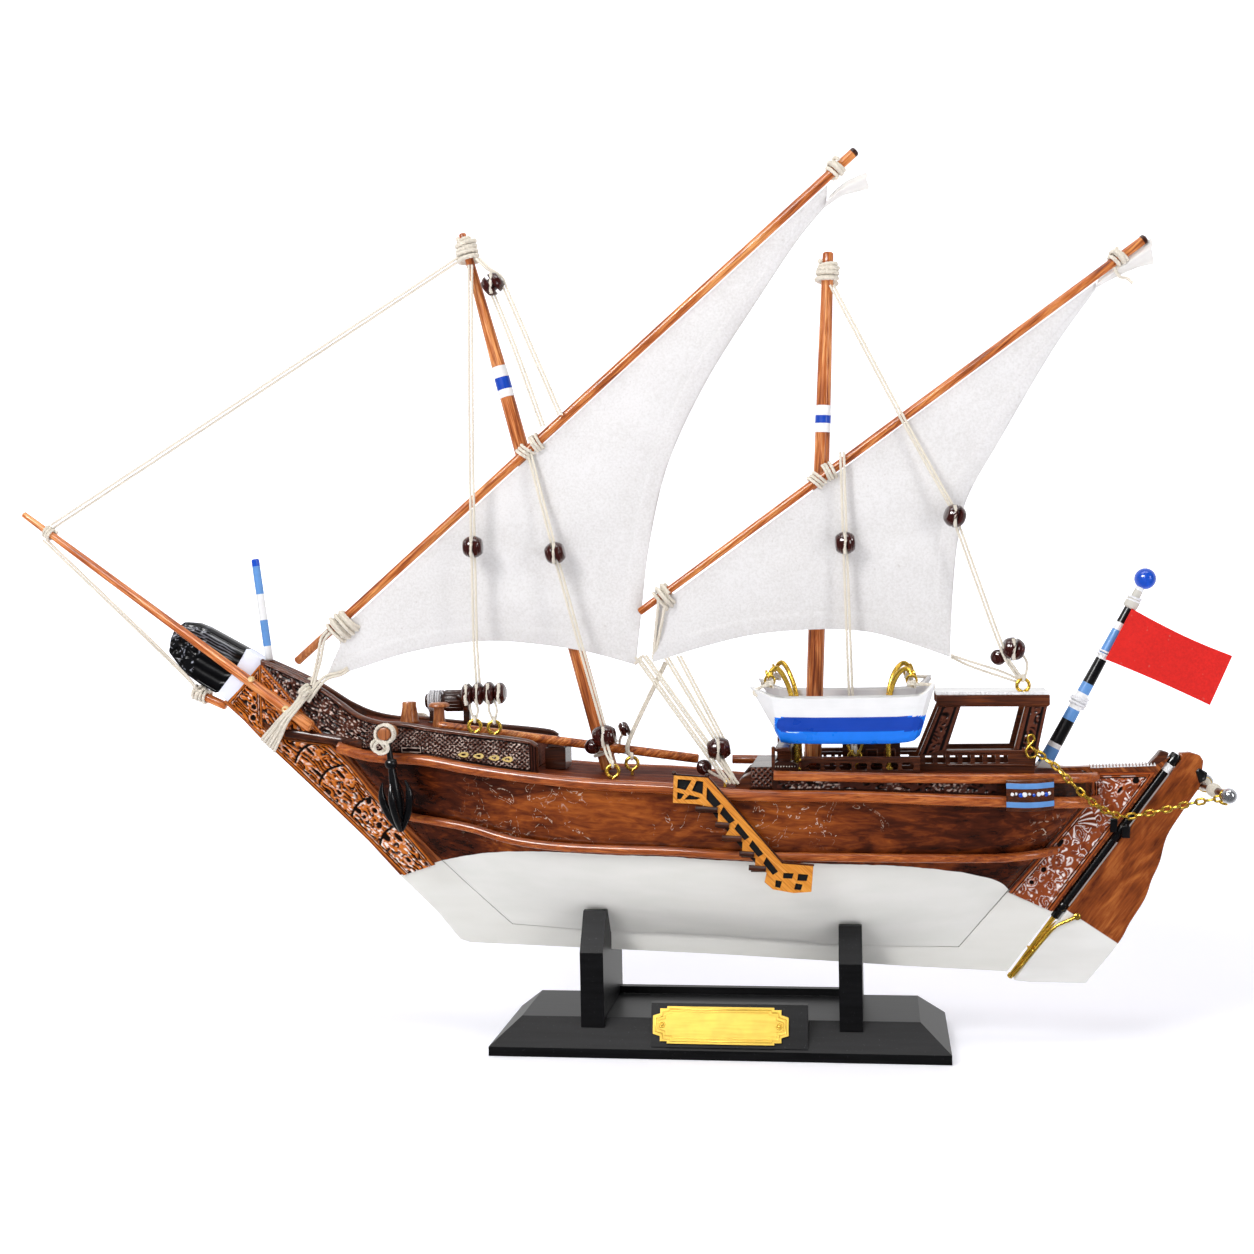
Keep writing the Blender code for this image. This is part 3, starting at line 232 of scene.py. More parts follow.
def paint(name, colour, roughness=0.35, coat=0.2, wear=0.06):
    """Brushed paint with faint strokes and a slightly uneven tone."""
    look = Look(name, roughness, coat=coat)
    strokes = look.noise(look.along((1, 0, 0), 0.12), 500, 4)
    patches = look.noise(look.place(), 90, 3)
    shade = tuple(c * (1 - wear * 2.5) for c in colour[:3]) + (1.0,)
    look.colour(look.ramp(look.added(strokes, 0.4, patches, 0.6), ((0.3, shade), (0.6, colour))))
    look.roughness(patches, 0.3, 0.7, roughness - 0.05, roughness + 0.1)
    look.bump(strokes, 0.08, 0.3)
    return look


def metal(name, colour, roughness=0.22):
    """Bright plated metal, with small scratches."""
    look = Look(name, roughness, metallic=0.82, specular=0.5)
    scratches = look.noise(look.along((1, 0, 1), 0.1), 1500, 3)
    dull = tuple(c * 0.72 for c in colour[:3]) + (1.0,)
    look.colour(look.ramp(look.noise(look.place(), 240, 3), ((0.35, dull), (0.6, colour))))
    look.roughness(scratches, 0.35, 0.65, roughness - 0.06, roughness + 0.12)
    look.bump(scratches, 0.03, 0.3)
    return look


def gilt(name, colour):
    """Gold leaf on a flat plate: part metal, part bright yellow, with a fine brushed grain."""
    look = Look(name, 0.34, metallic=0.35, specular=0.5)
    brushed = look.noise(look.along((1, 0, 0), 0.04), 1800, 2)
    warm = tuple(c * 0.88 for c in colour[:3]) + (1.0,)
    look.colour(look.ramp(look.noise(look.place(), 120, 2), ((0.35, warm), (0.6, colour))))
    look.roughness(brushed, 0.35, 0.65, 0.28, 0.42)
    look.bump(brushed, 0.02, 0.3)
    return look


def cord_look(name, light, dark):
    """Cotton cord: soft, with short fibres."""
    look = Look(name, 0.85)
    fibres = look.noise(look.place(), 3200, 3, 0.7)
    stain = look.noise(look.place(), 160, 2)
    cotton = look.ramp(fibres, ((0.3, dark), (0.6, light)))
    look.colour(look.blend(look.spread(stain, 0.35, 0.7, 0.0, 0.3), cotton, dark))
    look.put(look.shader, "Sheen Weight", 0.3)
    look.bump(fibres, 0.12, 0.5)
    return look


def canvas(name, light, dark):
    """Plain woven canvas with slubs and a few dark flecks."""
    look = Look(name, 0.9)
    at = look.split(look.place())
    threads = []
    for axis in (0, 2):
        ramp = look.math("FRACT", look.math("DIVIDE", at[axis], WEAVE * MM))
        threads.append(look.math("SINE", look.math("MULTIPLY", ramp, math.tau)))
    weave = look.math("MULTIPLY", threads[0], threads[1])
    slub = look.noise(look.place(), 900, 4, 0.7)
    shade = look.noise(look.place(), 40, 3)
    flecks = look.spread(look.noise(look.place(), 420, 1), 0.74, 0.78, 0.0, 0.5)
    base = look.ramp(look.added(slub, 0.7, shade, 0.3), ((0.32, dark), (0.58, light)))
    look.colour(look.blend(look.math("MULTIPLY", flecks, 0.4), base, srgb(160, 146, 134)))
    look.put(look.shader, "Sheen Weight", 0.15)
    look.bump(look.math("ADD", look.math("MULTIPLY", weave, 0.5), slub), 0.2, 0.5)
    return look


WATERLINE = (  # x and height of the line between varnish and white paint
    (-156, 76.0), (-150, 77.6), (-130.5, 84.2), (-105, 89.4), (-78, 91.1), (-52, 90.6), (-20, 90.0),
             (13, 88.2), (39, 87.2), (82, 85.2), (100, 83.0), (115, 80.2), (128, 75.4), (133, 70.4),
             (151.2, 61.7), (160, 58.0))


def waterline(look):
    """Share from 0 above to 1 below a waterline that sags towards both ends."""
    x, _, z = look.split(look.place())
    curve = look.tree.nodes.new("ShaderNodeFloatCurve")
    points = curve.mapping.curves[0].points
    reach, lift = 160.0, 100.0  # half length and height that the curve's unit square stands for
    for index, (at, height) in enumerate(WATERLINE):
        place = (at + reach) / (2 * reach), height / lift
        if index < 2:
            points[index].location = place
        else:
            points.new(*place)
    curve.mapping.update()
    look.put(curve, "Value", look.math("DIVIDE", look.math("ADD", x, reach * MM), 2 * reach * MM))
    line = look.math("MULTIPLY", curve.outputs[0], lift * MM)
    wander = look.math("MULTIPLY", look.math("SUBTRACT", look.noise(look.place(), 120, 2), 0.5), 0.8 * MM)
    return look.spread(look.math("SUBTRACT", look.math("ADD", line, wander), z), -0.1 * MM, 0.1 * MM)


def hull_look():
    """Glossy mottled varnish with scratched white lines and painted shade at bow, stern and below the lower
    rail; white paint below the waterline.
    """
    look = Look("hull_varnish", 0.3, coat=0.45, specular=0.2)
    grain = look.noise(look.along((1, 0, -0.06), 0.16), 420, 5, 0.62, 0.8)
    mottle = look.noise(look.along((1, 0, 0), 0.55), 34, 4, 0.6, 1.2)
    mixed = look.added(grain, 0.42, mottle, 0.58)
    x, _, z = look.split(look.place())
    # Painted light and shade: the varnish is darkened towards the bow, towards the stern and below the lower
    # rail, and is brightest along the middle of the side.
    painted_light = look.math("MULTIPLY", look.spread(x, -0.150, -0.080, 0.0, 1.0),
                    look.spread(x, 0.070, 0.130, 1.0, 0.3))
    painted_light = look.math("MULTIPLY", painted_light, look.spread(z, 0.088, 0.099, 0.4, 1.0))
    mixed = look.math("ADD", mixed, look.spread(painted_light, 0.0, 1.0, -0.11, 0.02))
    wood = look.ramp(mixed, ((0.32, srgb(34, 12, 6)), (0.44, srgb(78, 31, 11)), (0.54, srgb(128, 59, 19)),
                             (0.68, srgb(184, 98, 34))))
    wave = look.noise(look.place(), 62, 3, 0.55, 0.9)
    line = look.spread(look.math("ABSOLUTE", look.math("SUBTRACT", wave, 0.5)), 0.0022, 0.0060, 1.0, 0.0)
    where = look.spread(look.noise(look.along((1, 0, 0), 0.5), 30, 2), 0.48, 0.56)
    broken = look.spread(look.noise(look.place(), 700, 2), 0.46, 0.52)
    high = look.spread(z, 0.093, 0.100)
    marks = look.math("MULTIPLY", look.math("MULTIPLY", line, where), look.math("MULTIPLY", broken, high))
    marks = look.math("MULTIPLY", marks, look.spread(x, -0.125, -0.085))
    wood = look.blend(look.math("MULTIPLY", marks, 0.85), wood, srgb(222, 196, 172))
    below = waterline(look)
    look.painted_below(below, wood, srgb(226, 226, 219), srgb(232, 231, 225))
    look.roughness(below, 0, 1, 0.24, 0.45)
    relief = look.math("ADD", grain, look.math("MULTIPLY", marks, 2.0))
    look.bump(look.math("MULTIPLY", relief, look.spread(below, 0, 1, 1.0, 0.06)), 0.2, 0.3)
    return look


def plate_look():
    """The stem, keel and sternpost plate where it isn't carved."""
    look = Look("plate_varnish", 0.34, coat=0.3, specular=0.2)
    grain = look.noise(look.along((-0.7, 0, 0.7), 0.08), 700, 4, 0.6, 0.4)
    wood = look.ramp(grain, ((0.32, srgb(66, 26, 10)), (0.5, srgb(130, 64, 24)), (0.66, srgb(176, 98, 42))))
    below = waterline(look)
    look.painted_below(below, wood, srgb(228, 227, 220), srgb(233, 232, 226))
    look.bump(look.math("MULTIPLY", grain, look.spread(below, 0, 1, 1.0, 0.06)), 0.1, 0.3)
    return look


def carved_look(name, dark, middle, light, rub_and_glint, coat=0.3):
    """Relief carving: the cuts and eyes are painted dark as their shade, and some ridges are painted white,
    partly as wear and partly as painted highlight. Both come with the mesh.
    """
    look = Look(name, 0.34, coat=coat, specular=0.2)
    depth = look.attribute("relief")
    worn_and_glint = look.attribute("rubbed_and_glint")
    grain = look.noise(look.place(), 600, 3)
    wood = look.ramp(look.added(depth, 0.8, grain, 0.2), ((0.18, dark), (0.45, middle), (0.8, light)))
    # White of wear and painted highlight over the wood, whose dark end paints shade into the cuts.
    look.colour(look.blend(worn_and_glint, wood, rub_and_glint))
    look.roughness(worn_and_glint, 0, 1, 0.28, 0.6)
    look.bump(grain, 0.1, 0.4)
    return look


def rudder_look():
    """Golden figured wood, painted white below a slanting line."""
    look = Look("rudder_varnish", 0.3, coat=0.4, specular=0.2)
    figure = look.noise(look.along((0.6, 0, 0.8), 0.34), 150, 5, 0.58, 1.0)
    fine = look.noise(look.along((0.6, 0, 0.8), 0.08), 1300, 3)
    mixed = look.added(figure, 0.72, fine, 0.28)
    wood = look.ramp(mixed, ((0.34, srgb(84, 34, 9)), (0.50, srgb(142, 68, 22)), (0.66, srgb(186, 106, 46))))
    x, _, z = look.split(look.place())
    slope, level = 0.676, 168.5 * MM  # the white paint ends where z + slope * x is at this level
    above = look.math("SUBTRACT", look.math("ADD", z, look.math("MULTIPLY", x, slope)), level)
    below = look.spread(above, -0.25 * MM, 0.25 * MM, 1.0, 0.0)
    look.painted_below(below, wood, srgb(228, 227, 222), srgb(236, 235, 231))
    look.roughness(below, 0, 1, 0.3, 0.45)
    look.bump(look.math("MULTIPLY", mixed, look.spread(below, 0, 1, 1.0, 0.06)), 0.12, 0.3)
    return look


def black_satin(name, roughness=0.42):
    """Black paint on wood, with faint dust and brush marks."""
    look = Look(name, roughness, coat=0.06, coat_roughness=0.25, specular=0.2)
    strokes = look.noise(look.along((1, 0, 0), 0.08), 420, 4)
    dust = look.noise(look.place(), 900, 2, 0.8)
    base = look.ramp(strokes, ((0.3, srgb(5, 5, 7)), (0.7, srgb(17, 17, 20))))
    look.colour(look.blend(look.spread(dust, 0.66, 0.74, 0.0, 0.18), base, srgb(110, 110, 114)))
    look.bump(strokes, 0.1, 0.3)
    return look


SPAR_STOPS = (0.38, 0.50, 0.64)  # where a spar's grain changes from dark to middle to light
MAST_WOOD = srgb(112, 48, 18), srgb(190, 104, 50), srgb(240, 170, 108)
LOOKS = {
    "hull": hull_look(),
    "plate": plate_look(),
    "rail": varnish("rail_varnish", srgb(96, 38, 15), srgb(164, 82, 36), srgb(216, 132, 72), roughness=0.26,
                    coat=0.5),
    "mast": varnish("mast_varnish", *MAST_WOOD, (-0.25, 0, 1.0), stops=SPAR_STOPS),
    "mizzen": varnish("mizzen_varnish", *MAST_WOOD, (0.05, 0, 1.0), stops=SPAR_STOPS),
    "yard": varnish("yard_varnish", srgb(116, 50, 16), srgb(192, 104, 44), srgb(238, 166, 96),
                    (0.76, 0, 0.64), stops=SPAR_STOPS),
    "sprit": varnish("sprit_varnish", srgb(120, 50, 18), srgb(200, 108, 50), srgb(242, 170, 106),
                     (-0.8, 0, 0.59), stops=SPAR_STOPS),
    "dark": varnish("dark_varnish", srgb(26, 10, 6), srgb(58, 26, 14), srgb(96, 48, 26), roughness=0.3,
                    coat=0.4),
    "cut": varnish("cut_varnish", srgb(40, 17, 9), srgb(84, 40, 20), srgb(126, 68, 36), roughness=0.3,
                   coat=0.4),
    "deck": varnish("deck_varnish", srgb(54, 18, 8), srgb(106, 44, 20), srgb(150, 78, 38), roughness=0.6,
                    coat=0.0),
    "turning": varnish("turning_varnish", srgb(110, 56, 28), srgb(176, 104, 58), srgb(220, 156, 100),
                       (0, 0, 1)),
    "rudder": rudder_look(),
    "plank": varnish("plank_varnish", srgb(44, 14, 6), srgb(90, 36, 17), srgb(130, 64, 32), roughness=0.6,
                     coat=0.0),
    "inlay": paint("inlay_cream", srgb(226, 196, 120), 0.3, 0.4),
    "collar": paint("collar_white", srgb(236, 239, 252), 0.4, 0.1, 0.02),
    "knob": paint("knob_cream", srgb(206, 202, 192), 0.5, 0.0, 0.01),
    "cord_bead": cord_look("speckled_bead", srgb(236, 230, 216), srgb(176, 166, 148)),
    "black": black_satin("stand_black"),
    "gloss_black": paint("gloss_black", srgb(13, 13, 16), 0.25, 0.35),
    "white": paint("white_paint", srgb(240, 240, 240), 0.35, 0.3, 0.03),
    "blue": paint("blue_paint", srgb(0, 66, 182), 0.3, 0.3),
    "mid_blue": paint("bilge_blue_paint", srgb(14, 124, 244), 0.28, 0.4),
    "light_blue": paint("light_blue_paint", srgb(98, 152, 216), 0.35, 0.3),
    "ball_blue": paint("ball_blue_paint", srgb(22, 80, 200), 0.2, 0.6),
    "gold": metal("gold_plating", srgb(232, 190, 74)),
    "plate_gold": gilt("plate_gold", srgb(246, 206, 84)),
    "steel": metal("bright_steel", srgb(206, 208, 212), 0.1),
    "bead": paint("bead_lacquer", srgb(58, 18, 14), 0.16, 0.9),
    "cord": cord_look("cotton_cord", srgb(236, 228, 213), srgb(216, 206, 188)),
    "white_cord": cord_look("white_cord", srgb(238, 238, 240), srgb(226, 226, 230)),
    "canvas": canvas("sail_canvas", srgb(232, 230, 229), srgb(214, 211, 208)),
    "gathered": paint("gathered_canvas", srgb(226, 223, 219), 0.9, 0.0, 0.02),
    "flag": canvas("flag_cloth", srgb(224, 26, 16), srgb(202, 16, 10)),
    "ply": varnish("ply_face", srgb(176, 96, 20), srgb(222, 142, 44), srgb(240, 170, 78), (0.7, 0, -0.7),
                   roughness=0.45, coat=0.2),
    # Black for the scorched ply edges, and for the sheets of painted shade behind the ladder's windows.
    "burnt_and_shade": black_satin("burnt_edge_and_shade", 0.6),
    "dowel_end": varnish("dowel_end", srgb(214, 178, 120), srgb(236, 206, 150), srgb(246, 224, 180),
                         (0, 1, 0)),
    # Carvings: the first colour is painted shade in the cuts, the last the white of wear and painted
    # highlights on ridges.
    "stem_carving": carved_look("stem_carving", srgb(20, 9, 4), srgb(140, 66, 18), srgb(212, 118, 38),
                                srgb(250, 238, 230)),
    "stern_carving": carved_look("stern_carving", srgb(20, 9, 6), srgb(128, 54, 22), srgb(176, 88, 36),
                                 srgb(250, 238, 234)),
    "dark_carving": carved_look("dark_carving", srgb(14, 5, 4), srgb(64, 28, 18), srgb(114, 62, 42),
                                srgb(232, 208, 194), coat=0.15),
    "head_carving": carved_look("head_carving", srgb(4, 4, 6), srgb(20, 21, 25), srgb(52, 54, 60),
                                srgb(176, 180, 192), coat=0.15),
}


# A carving's tone paints shade: low in its cuts, and nothing in a pierced eye.
PLAIN_RELIEF = 0.6  # tone of a carving's plain back and edges


class Shape:
    """Vertices and faces in millimetres, gathered into one piece."""

    def __init__(self):
        self.verts, self.faces, self.looks = [], [], []
        self.relief, self.rubbed_and_glint = [], []

    def add(self, verts, faces, look=0, relief=None, rubbed_and_glint=None):
        """look is one finish for all faces or a list; each vertex also keeps a carving's tone, which paints
        shade into cuts, and its white of wear and painted highlight.
        """
        start = len(self.verts)
        self.verts += [tuple(v) for v in verts]
        self.faces += [[start + i for i in face] for face in faces]
        self.looks += look if isinstance(look, list) else [look] * len(faces)
        self.relief += relief or [PLAIN_RELIEF] * len(verts)
        self.rubbed_and_glint += rubbed_and_glint or [0.0] * len(verts)

    def face(self, corners, look=0):
        """One more face between points that are there."""
        self.faces.append(list(corners))
        self.looks.append(look)

    def loft(self, rings, look=0, caps=True, closed=False):
        """look is one finish or a list with one for each stretch between two rings."""
        count = len(rings[0])
        faces, looks = [], []
        rows = len(rings) if closed else len(rings) - 1
        for row in range(rows):
            a, b = row * count, (row + 1) % len(rings) * count
            for i in range(count):
                j = (i + 1) % count
                faces.append((a + i, a + j, b + j, b + i))
            looks += [look[row] if isinstance(look, list) else look] * count
        if caps and not closed:
            faces.append(tuple(range(count))[::-1])
            faces.append(tuple(range(len(rings) * count - count, len(rings) * count)))
            looks += [looks[0], looks[-1]]
        self.add([point for ring in rings for point in ring], faces, looks)

    def plate(self, loops, low, high, axis="y", look=0, rim=None):
        """Flat piece of even thickness: the first loop is its outline and the rest are holes."""
        order = {"x": lambda a, b, c: (c, a, b), "y": lambda a, b, c: (a, c, b),
                 "z": lambda a, b, c: (a, b, c)}[axis]
        flat = [point for loop in loops for point in loop]
        caps = tessellate_polygon([[Vector((a, b, 0.0)) for a, b in loop] for loop in loops])
        count = len(flat)
        faces = [tuple(tri) for tri in caps] + [tuple(i + count for i in tri) for tri in caps]
        looks = [look] * len(faces)
        start = 0
        for loop in loops:
            size = len(loop)
            for i in range(size):
                a, b = start + i, start + (i + 1) % size
                faces.append((a, b, b + count, a + count))
            looks += [look if rim is None else rim] * size
            start += size
        self.add([order(a, b, low) for a, b in flat] + [order(a, b, high) for a, b in flat], faces, looks)

    def sweep(self, points, section):
        """Moulding: a section given as side and up carried along points."""
        path = [Vector(p) for p in points]
        rings = []
        for i, centre in enumerate(path):
            along = (path[min(i + 1, len(path) - 1)] - path[max(i - 1, 0)]).normalized()
            side = along.cross(Vector((0, 0, 1))).normalized()
            rise = side.cross(along)
            rings.append([centre + side * a + rise * b for a, b in section])
        self.loft(rings)

    def panel(self, place, carve, columns, rows, depth):
        """Closed plate with a carved front: place gives a point and the way out, carve the rise, the tone
        with its painted shade, and the white of wear and painted highlight.
        """
        verts, relief, rubbed_and_glint = [], [], []
        across = rows + 1
        for i in range(columns + 1):
            for j in range(across):
                spot, out = place(i / columns, j / rows)
                rise, tone, rub_and_glint = carve(spot, i / columns, j / rows)
                verts.append(spot + out * rise)
                relief.append(tone)
                rubbed_and_glint.append(rub_and_glint)
        front = len(verts)
        for i in range(columns + 1):
            for j in (0, 1):
                spot, out = place(i / columns, float(j))
                verts.append(spot - out * depth)
        faces = []
        for i in range(columns):
            a, b = i * across, front + 2 * i
            faces += [(a + j, a + j + 1, a + j + 1 + across, a + j + across) for j in range(rows)]
            faces.append((b, b + 2, b + 3, b + 1))
            faces.append((a, a + across, b + 2, b))
            faces.append((a + rows, b + 1, b + 3, a + rows + across))
        last = columns * across
        faces.append([j for j in range(across)] + [front + 1, front])
        faces.append([last + j for j in range(across)] + [front + 2 * columns + 1, front + 2 * columns])
        back = len(verts) - front
        self.add(verts, faces, 0, relief + [PLAIN_RELIEF] * back, rubbed_and_glint + [0.0] * back)

    def two_sided(self, place, carve, columns, rows):
        """Closed carving with two like sides: place gives x, z and half thickness."""
        verts, relief, rubbed_and_glint = [], [], []
        for side in (-1, 1):
            for i in range(columns + 1):
                for j in range(rows + 1):
                    x, z, half = place(i / columns, j / rows)
                    rise, tone, rub_and_glint = carve(Vector((x, side, z)), i / columns, j / rows)
                    verts.append(Vector((x, side * (half + rise), z)))
                    relief.append(tone)
                    rubbed_and_glint.append(rub_and_glint)
        self.add(verts, two_skins(columns, rows), 0, relief, rubbed_and_glint)

    def tube(self, points, radius, sides=10):
        """Round bar along points; radius is a number or one for each point."""
        path = [Vector(p) for p in points]
        radii = radius if isinstance(radius, (list, tuple)) else [radius] * len(path)
        self.loft([circle(*station, sides) for station in carried(path, radii)])

    def rope(self, points, radius=CORD):
        """Twisted cord: each strand is a ridge that winds round the line."""
        path = even_steps(points, LAY / 8)
        sides = STRANDS * len(STRAND_SHARES)
        rings, run = [], 0.0
        for index, (centre, across, other, size) in enumerate(carried(path, [radius] * len(path))):
            if index:
                run += (path[index] - path[index - 1]).length
            turn = math.tau * run / LAY
            ring = []
            for k in range(sides):
                t = turn + math.tau * k / sides
                out = across * math.cos(t) + other * math.sin(t)
                ring.append(centre + out * size * STRAND_SHARES[k % 3])
            rings.append(ring)
        self.loft(rings)

    def turned(self, start, direction, profile, sides=20, look=0):
        """Piece turned on an axis: the profile gives distance along it and radius."""
        along = Vector(direction).normalized()
        across = along.orthogonal().normalized()
        other = along.cross(across)
        self.loft([circle(Vector(start) + along * distance, across, other, radius, sides)
                   for distance, radius in profile], look)

    def ring(self, centre, axis, radius, wire, rows=24, sides=10):
        """Closed ring round an axis."""
        along = Vector(axis).normalized()
        across = along.orthogonal().normalized()
        other = along.cross(across)
        rings = []
        for a in angles(rows):
            out = across * math.cos(a) + other * math.sin(a)
            middle = Vector(centre) + out * radius
            rings.append([middle + out * wire * math.cos(b) + along * wire * math.sin(b)
                          for b in angles(sides)])
        self.loft(rings, closed=True)

    def coil(self, centre, axis, radius, turns, pitch, wire, seed=1, other_radius=None):
        """Cord wound round a spar, with small uneven turns; other_radius is the reach across Y."""
        draw = random.Random(seed)
        along = Vector(axis).normalized()
        other = (Vector((0, 1, 0)) - along * along.y).normalized()
        across = other.cross(along)
        long_way = radius if other_radius is None else other_radius
        steps, wobble = 16, 0.12
        points = []
        shift, swell = 0.0, 0.0
        for i in range(int(turns * steps) + 1):
            if i % steps == 0:
                shift, swell = draw.uniform(-wobble, wobble) * pitch * 2, draw.uniform(0, wobble) * wire * 3
            a = math.tau * i / steps
            rise = (i / steps - turns / 2) * pitch + shift * math.sin(a / 2)
            out = across * math.cos(a) * (radius + swell) + other * math.sin(a) * (long_way + swell)
            points.append(Vector(centre) + along * rise + out)
        self.rope(points, wire)

    def banded(self, start, end, radii, bands=(), seed=1, proud=0.12):
        """Turned spar with radii at even places along it; bands give from, to and finish of paint."""
        sides, step, uneven = 22, 5.0, 0.006
        draw = random.Random(seed)
        first, last = radii[0], radii[-1]
        swell = [(k / (len(radii) - 1), radius) for k, radius in enumerate(radii)]
        along = Vector(end) - Vector(start)
        length = along.length
        cuts = sorted({0.0, length, *(b[0] for b in bands), *(b[1] for b in bands)})
        profile, looks = [(0.0, first * 0.72), (first * 0.22, first * 0.94)], [0, 0]
        for low, high in zip(cuts, cuts[1:]):
            found = [b[2] for b in bands if b[0] <= low + 0.01 and b[1] >= high - 0.01]
            extra = proud if found else 0.0
            steps = max(1, round((high - low) / step))
            for k in range(steps + 1):
                at = mix(low, high, k / steps)
                at = min(max(at, first * 0.3), length - last * 0.3)
                radius = look_up(swell, at / length) * (1 + draw.uniform(-uneven, uneven)) + extra
                profile.append((at, radius))
                looks.append(found[-1] if found else 0)
        profile += [(length - last * 0.2, last * 0.94), (length, last * 0.72)]
        looks += [looks[-1]] * 2
        self.turned(start, along, profile, sides, looks[1:])

    def cheek(self, loops, side, near, far):
        """Upright plate on a side of the boat, between two distances from its middle plane."""
        low, high = sorted((side * near, side * far))
        self.plate(loops, low, high)

    def box(self, low, high):
        (x0, y0, z0), (x1, y1, z1) = low, high
        corners = [(x0, y0), (x1, y0), (x1, y1), (x0, y1)]
        self.loft([[(a, b, z) for a, b in corners] for z in (z0, z1)])

    def make(self, name, looks, slot, replaces=(), body=BODY, angle=40, bevel=0.0):
        """Makes the piece and lets it ride on its body. The slot argument is not used."""
        mesh = bpy.data.meshes.new(name)
        mesh.from_pydata([(x * MM, y * MM, z * MM) for x, y, z in self.verts], [], self.faces)
        mesh.polygons.foreach_set("material_index", self.looks)
        for key in looks:
            mesh.materials.append(LOOKS[key].material)
        bm = bmesh.new()
        bm.from_mesh(mesh)
        bmesh.ops.recalc_face_normals(bm, faces=bm.faces)
        bm.to_mesh(mesh)
        bm.free()
        mesh.shade_smooth()
        mesh.set_sharp_from_angle(angle=math.radians(angle))
        # A carving's tone, with shade painted into its cuts, and its white of wear and painted highlight ride
        # on the mesh.
        if any("carving" in key for key in looks):
            mesh.attributes.new("relief", "FLOAT", "POINT").data.foreach_set("value", self.relief)
            mesh.attributes.new("rubbed_and_glint", "FLOAT", "POINT").data.foreach_set("value", self.rubbed_and_glint)
        item = bpy.data.objects.new(name, mesh)
        bpy.context.scene.collection.objects.link(item)
        if bevel:
            round_edges(item, bevel)
        if body:
            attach(item, body)
        if replaces:
            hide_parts(*replaces)
        return item


def round_edges(item, width):
    edge = item.modifiers.new("edges", "BEVEL")
    edge.width = width * MM
    edge.segments = 2
    edge.limit_method = "ANGLE"
    edge.angle_limit = math.radians(40)
    edge.harden_normals = False


def angles(count):
    """Even angles once round a circle."""
    return [math.tau * k / count for k in range(count)]


def half_turn(count):
    """Angles from nothing to half a turn, in even steps."""
    return [math.pi * k / count for k in range(count + 1)]


def circle(centre, across, other, radius, sides):
    """Points round a centre, in the plane of two directions."""
    return [centre + (across * math.cos(t) + other * math.sin(t)) * radius for t in angles(sides)]


def mirrored(points, side):
    """The same points on a side of the boat: y is the distance from its middle plane."""
    return [(x, side * y, z) for x, y, z in points]


def two_skins(columns, rows):
    """Faces of a grid of points, of a second grid behind it, and of the rim that joins them."""
    across = rows + 1
    count = (columns + 1) * across
    faces = []
    for i in range(columns):
        for j in range(rows):
            a = i * across + j
            b = count + a
            faces.append((a, a + 1, a + across + 1, a + across))
            faces.append((b, b + across, b + across + 1, b + 1))
    rim = [j for j in range(across)] + [i * across + rows for i in range(1, columns + 1)]
    rim += [columns * across + j for j in range(rows - 1, -1, -1)]
    rim += [i * across for i in range(columns - 1, 0, -1)]
    return faces + [(a, b, count + b, count + a) for a, b in zip(rim, rim[1:] + rim[:1])]


def carried(path, radii):
    """Centre, two directions across and radius at each point, with the least twist."""
    first = (path[1] - path[0]).normalized()
    across = first.orthogonal().normalized()
    for index, centre in enumerate(path):
        along = (path[min(index + 1, len(path) - 1)] - path[max(index - 1, 0)]).normalized()
        across = (across - along * across.dot(along)).normalized()
        yield centre, across, along.cross(across), radii[index]


def curve_points(points, steps=8):
    """Points on a smooth curve through the given ones."""
    path = [Vector(p) for p in points]
    ends = [path[0] * 2 - path[1]] + path + [path[-1] * 2 - path[-2]]
    made = []
    for i in range(1, len(ends) - 2):
        a, b, c, d = ends[i - 1:i + 3]
        for k in range(steps):
            t = k / steps
            made.append(0.5 * (b * 2 + (c - a) * t + (a * 2 - b * 5 + c * 4 - d) * t * t
                               + (b * 3 - a - c * 3 + d) * t * t * t))
    made.append(path[-1])
    return made


def even_steps(points, step):
    """The same line cut into nearly equal short steps."""
    path = [Vector(p) for p in points]
    made = []
    for a, b in zip(path, path[1:]):
        count = max(1, round((b - a).length / step))
        made += [a.lerp(b, k / count) for k in range(count)]
    return made + [path[-1]]


def dress(look, *names, bevel=0.0):
    """Gives a carried-over node its finish, and softens its edges."""
    for name in names:
        item = nodes[name]
        item.data.materials.clear()
        item.data.materials.append(LOOKS[look].material)
        if bevel:
            round_edges(item, bevel)


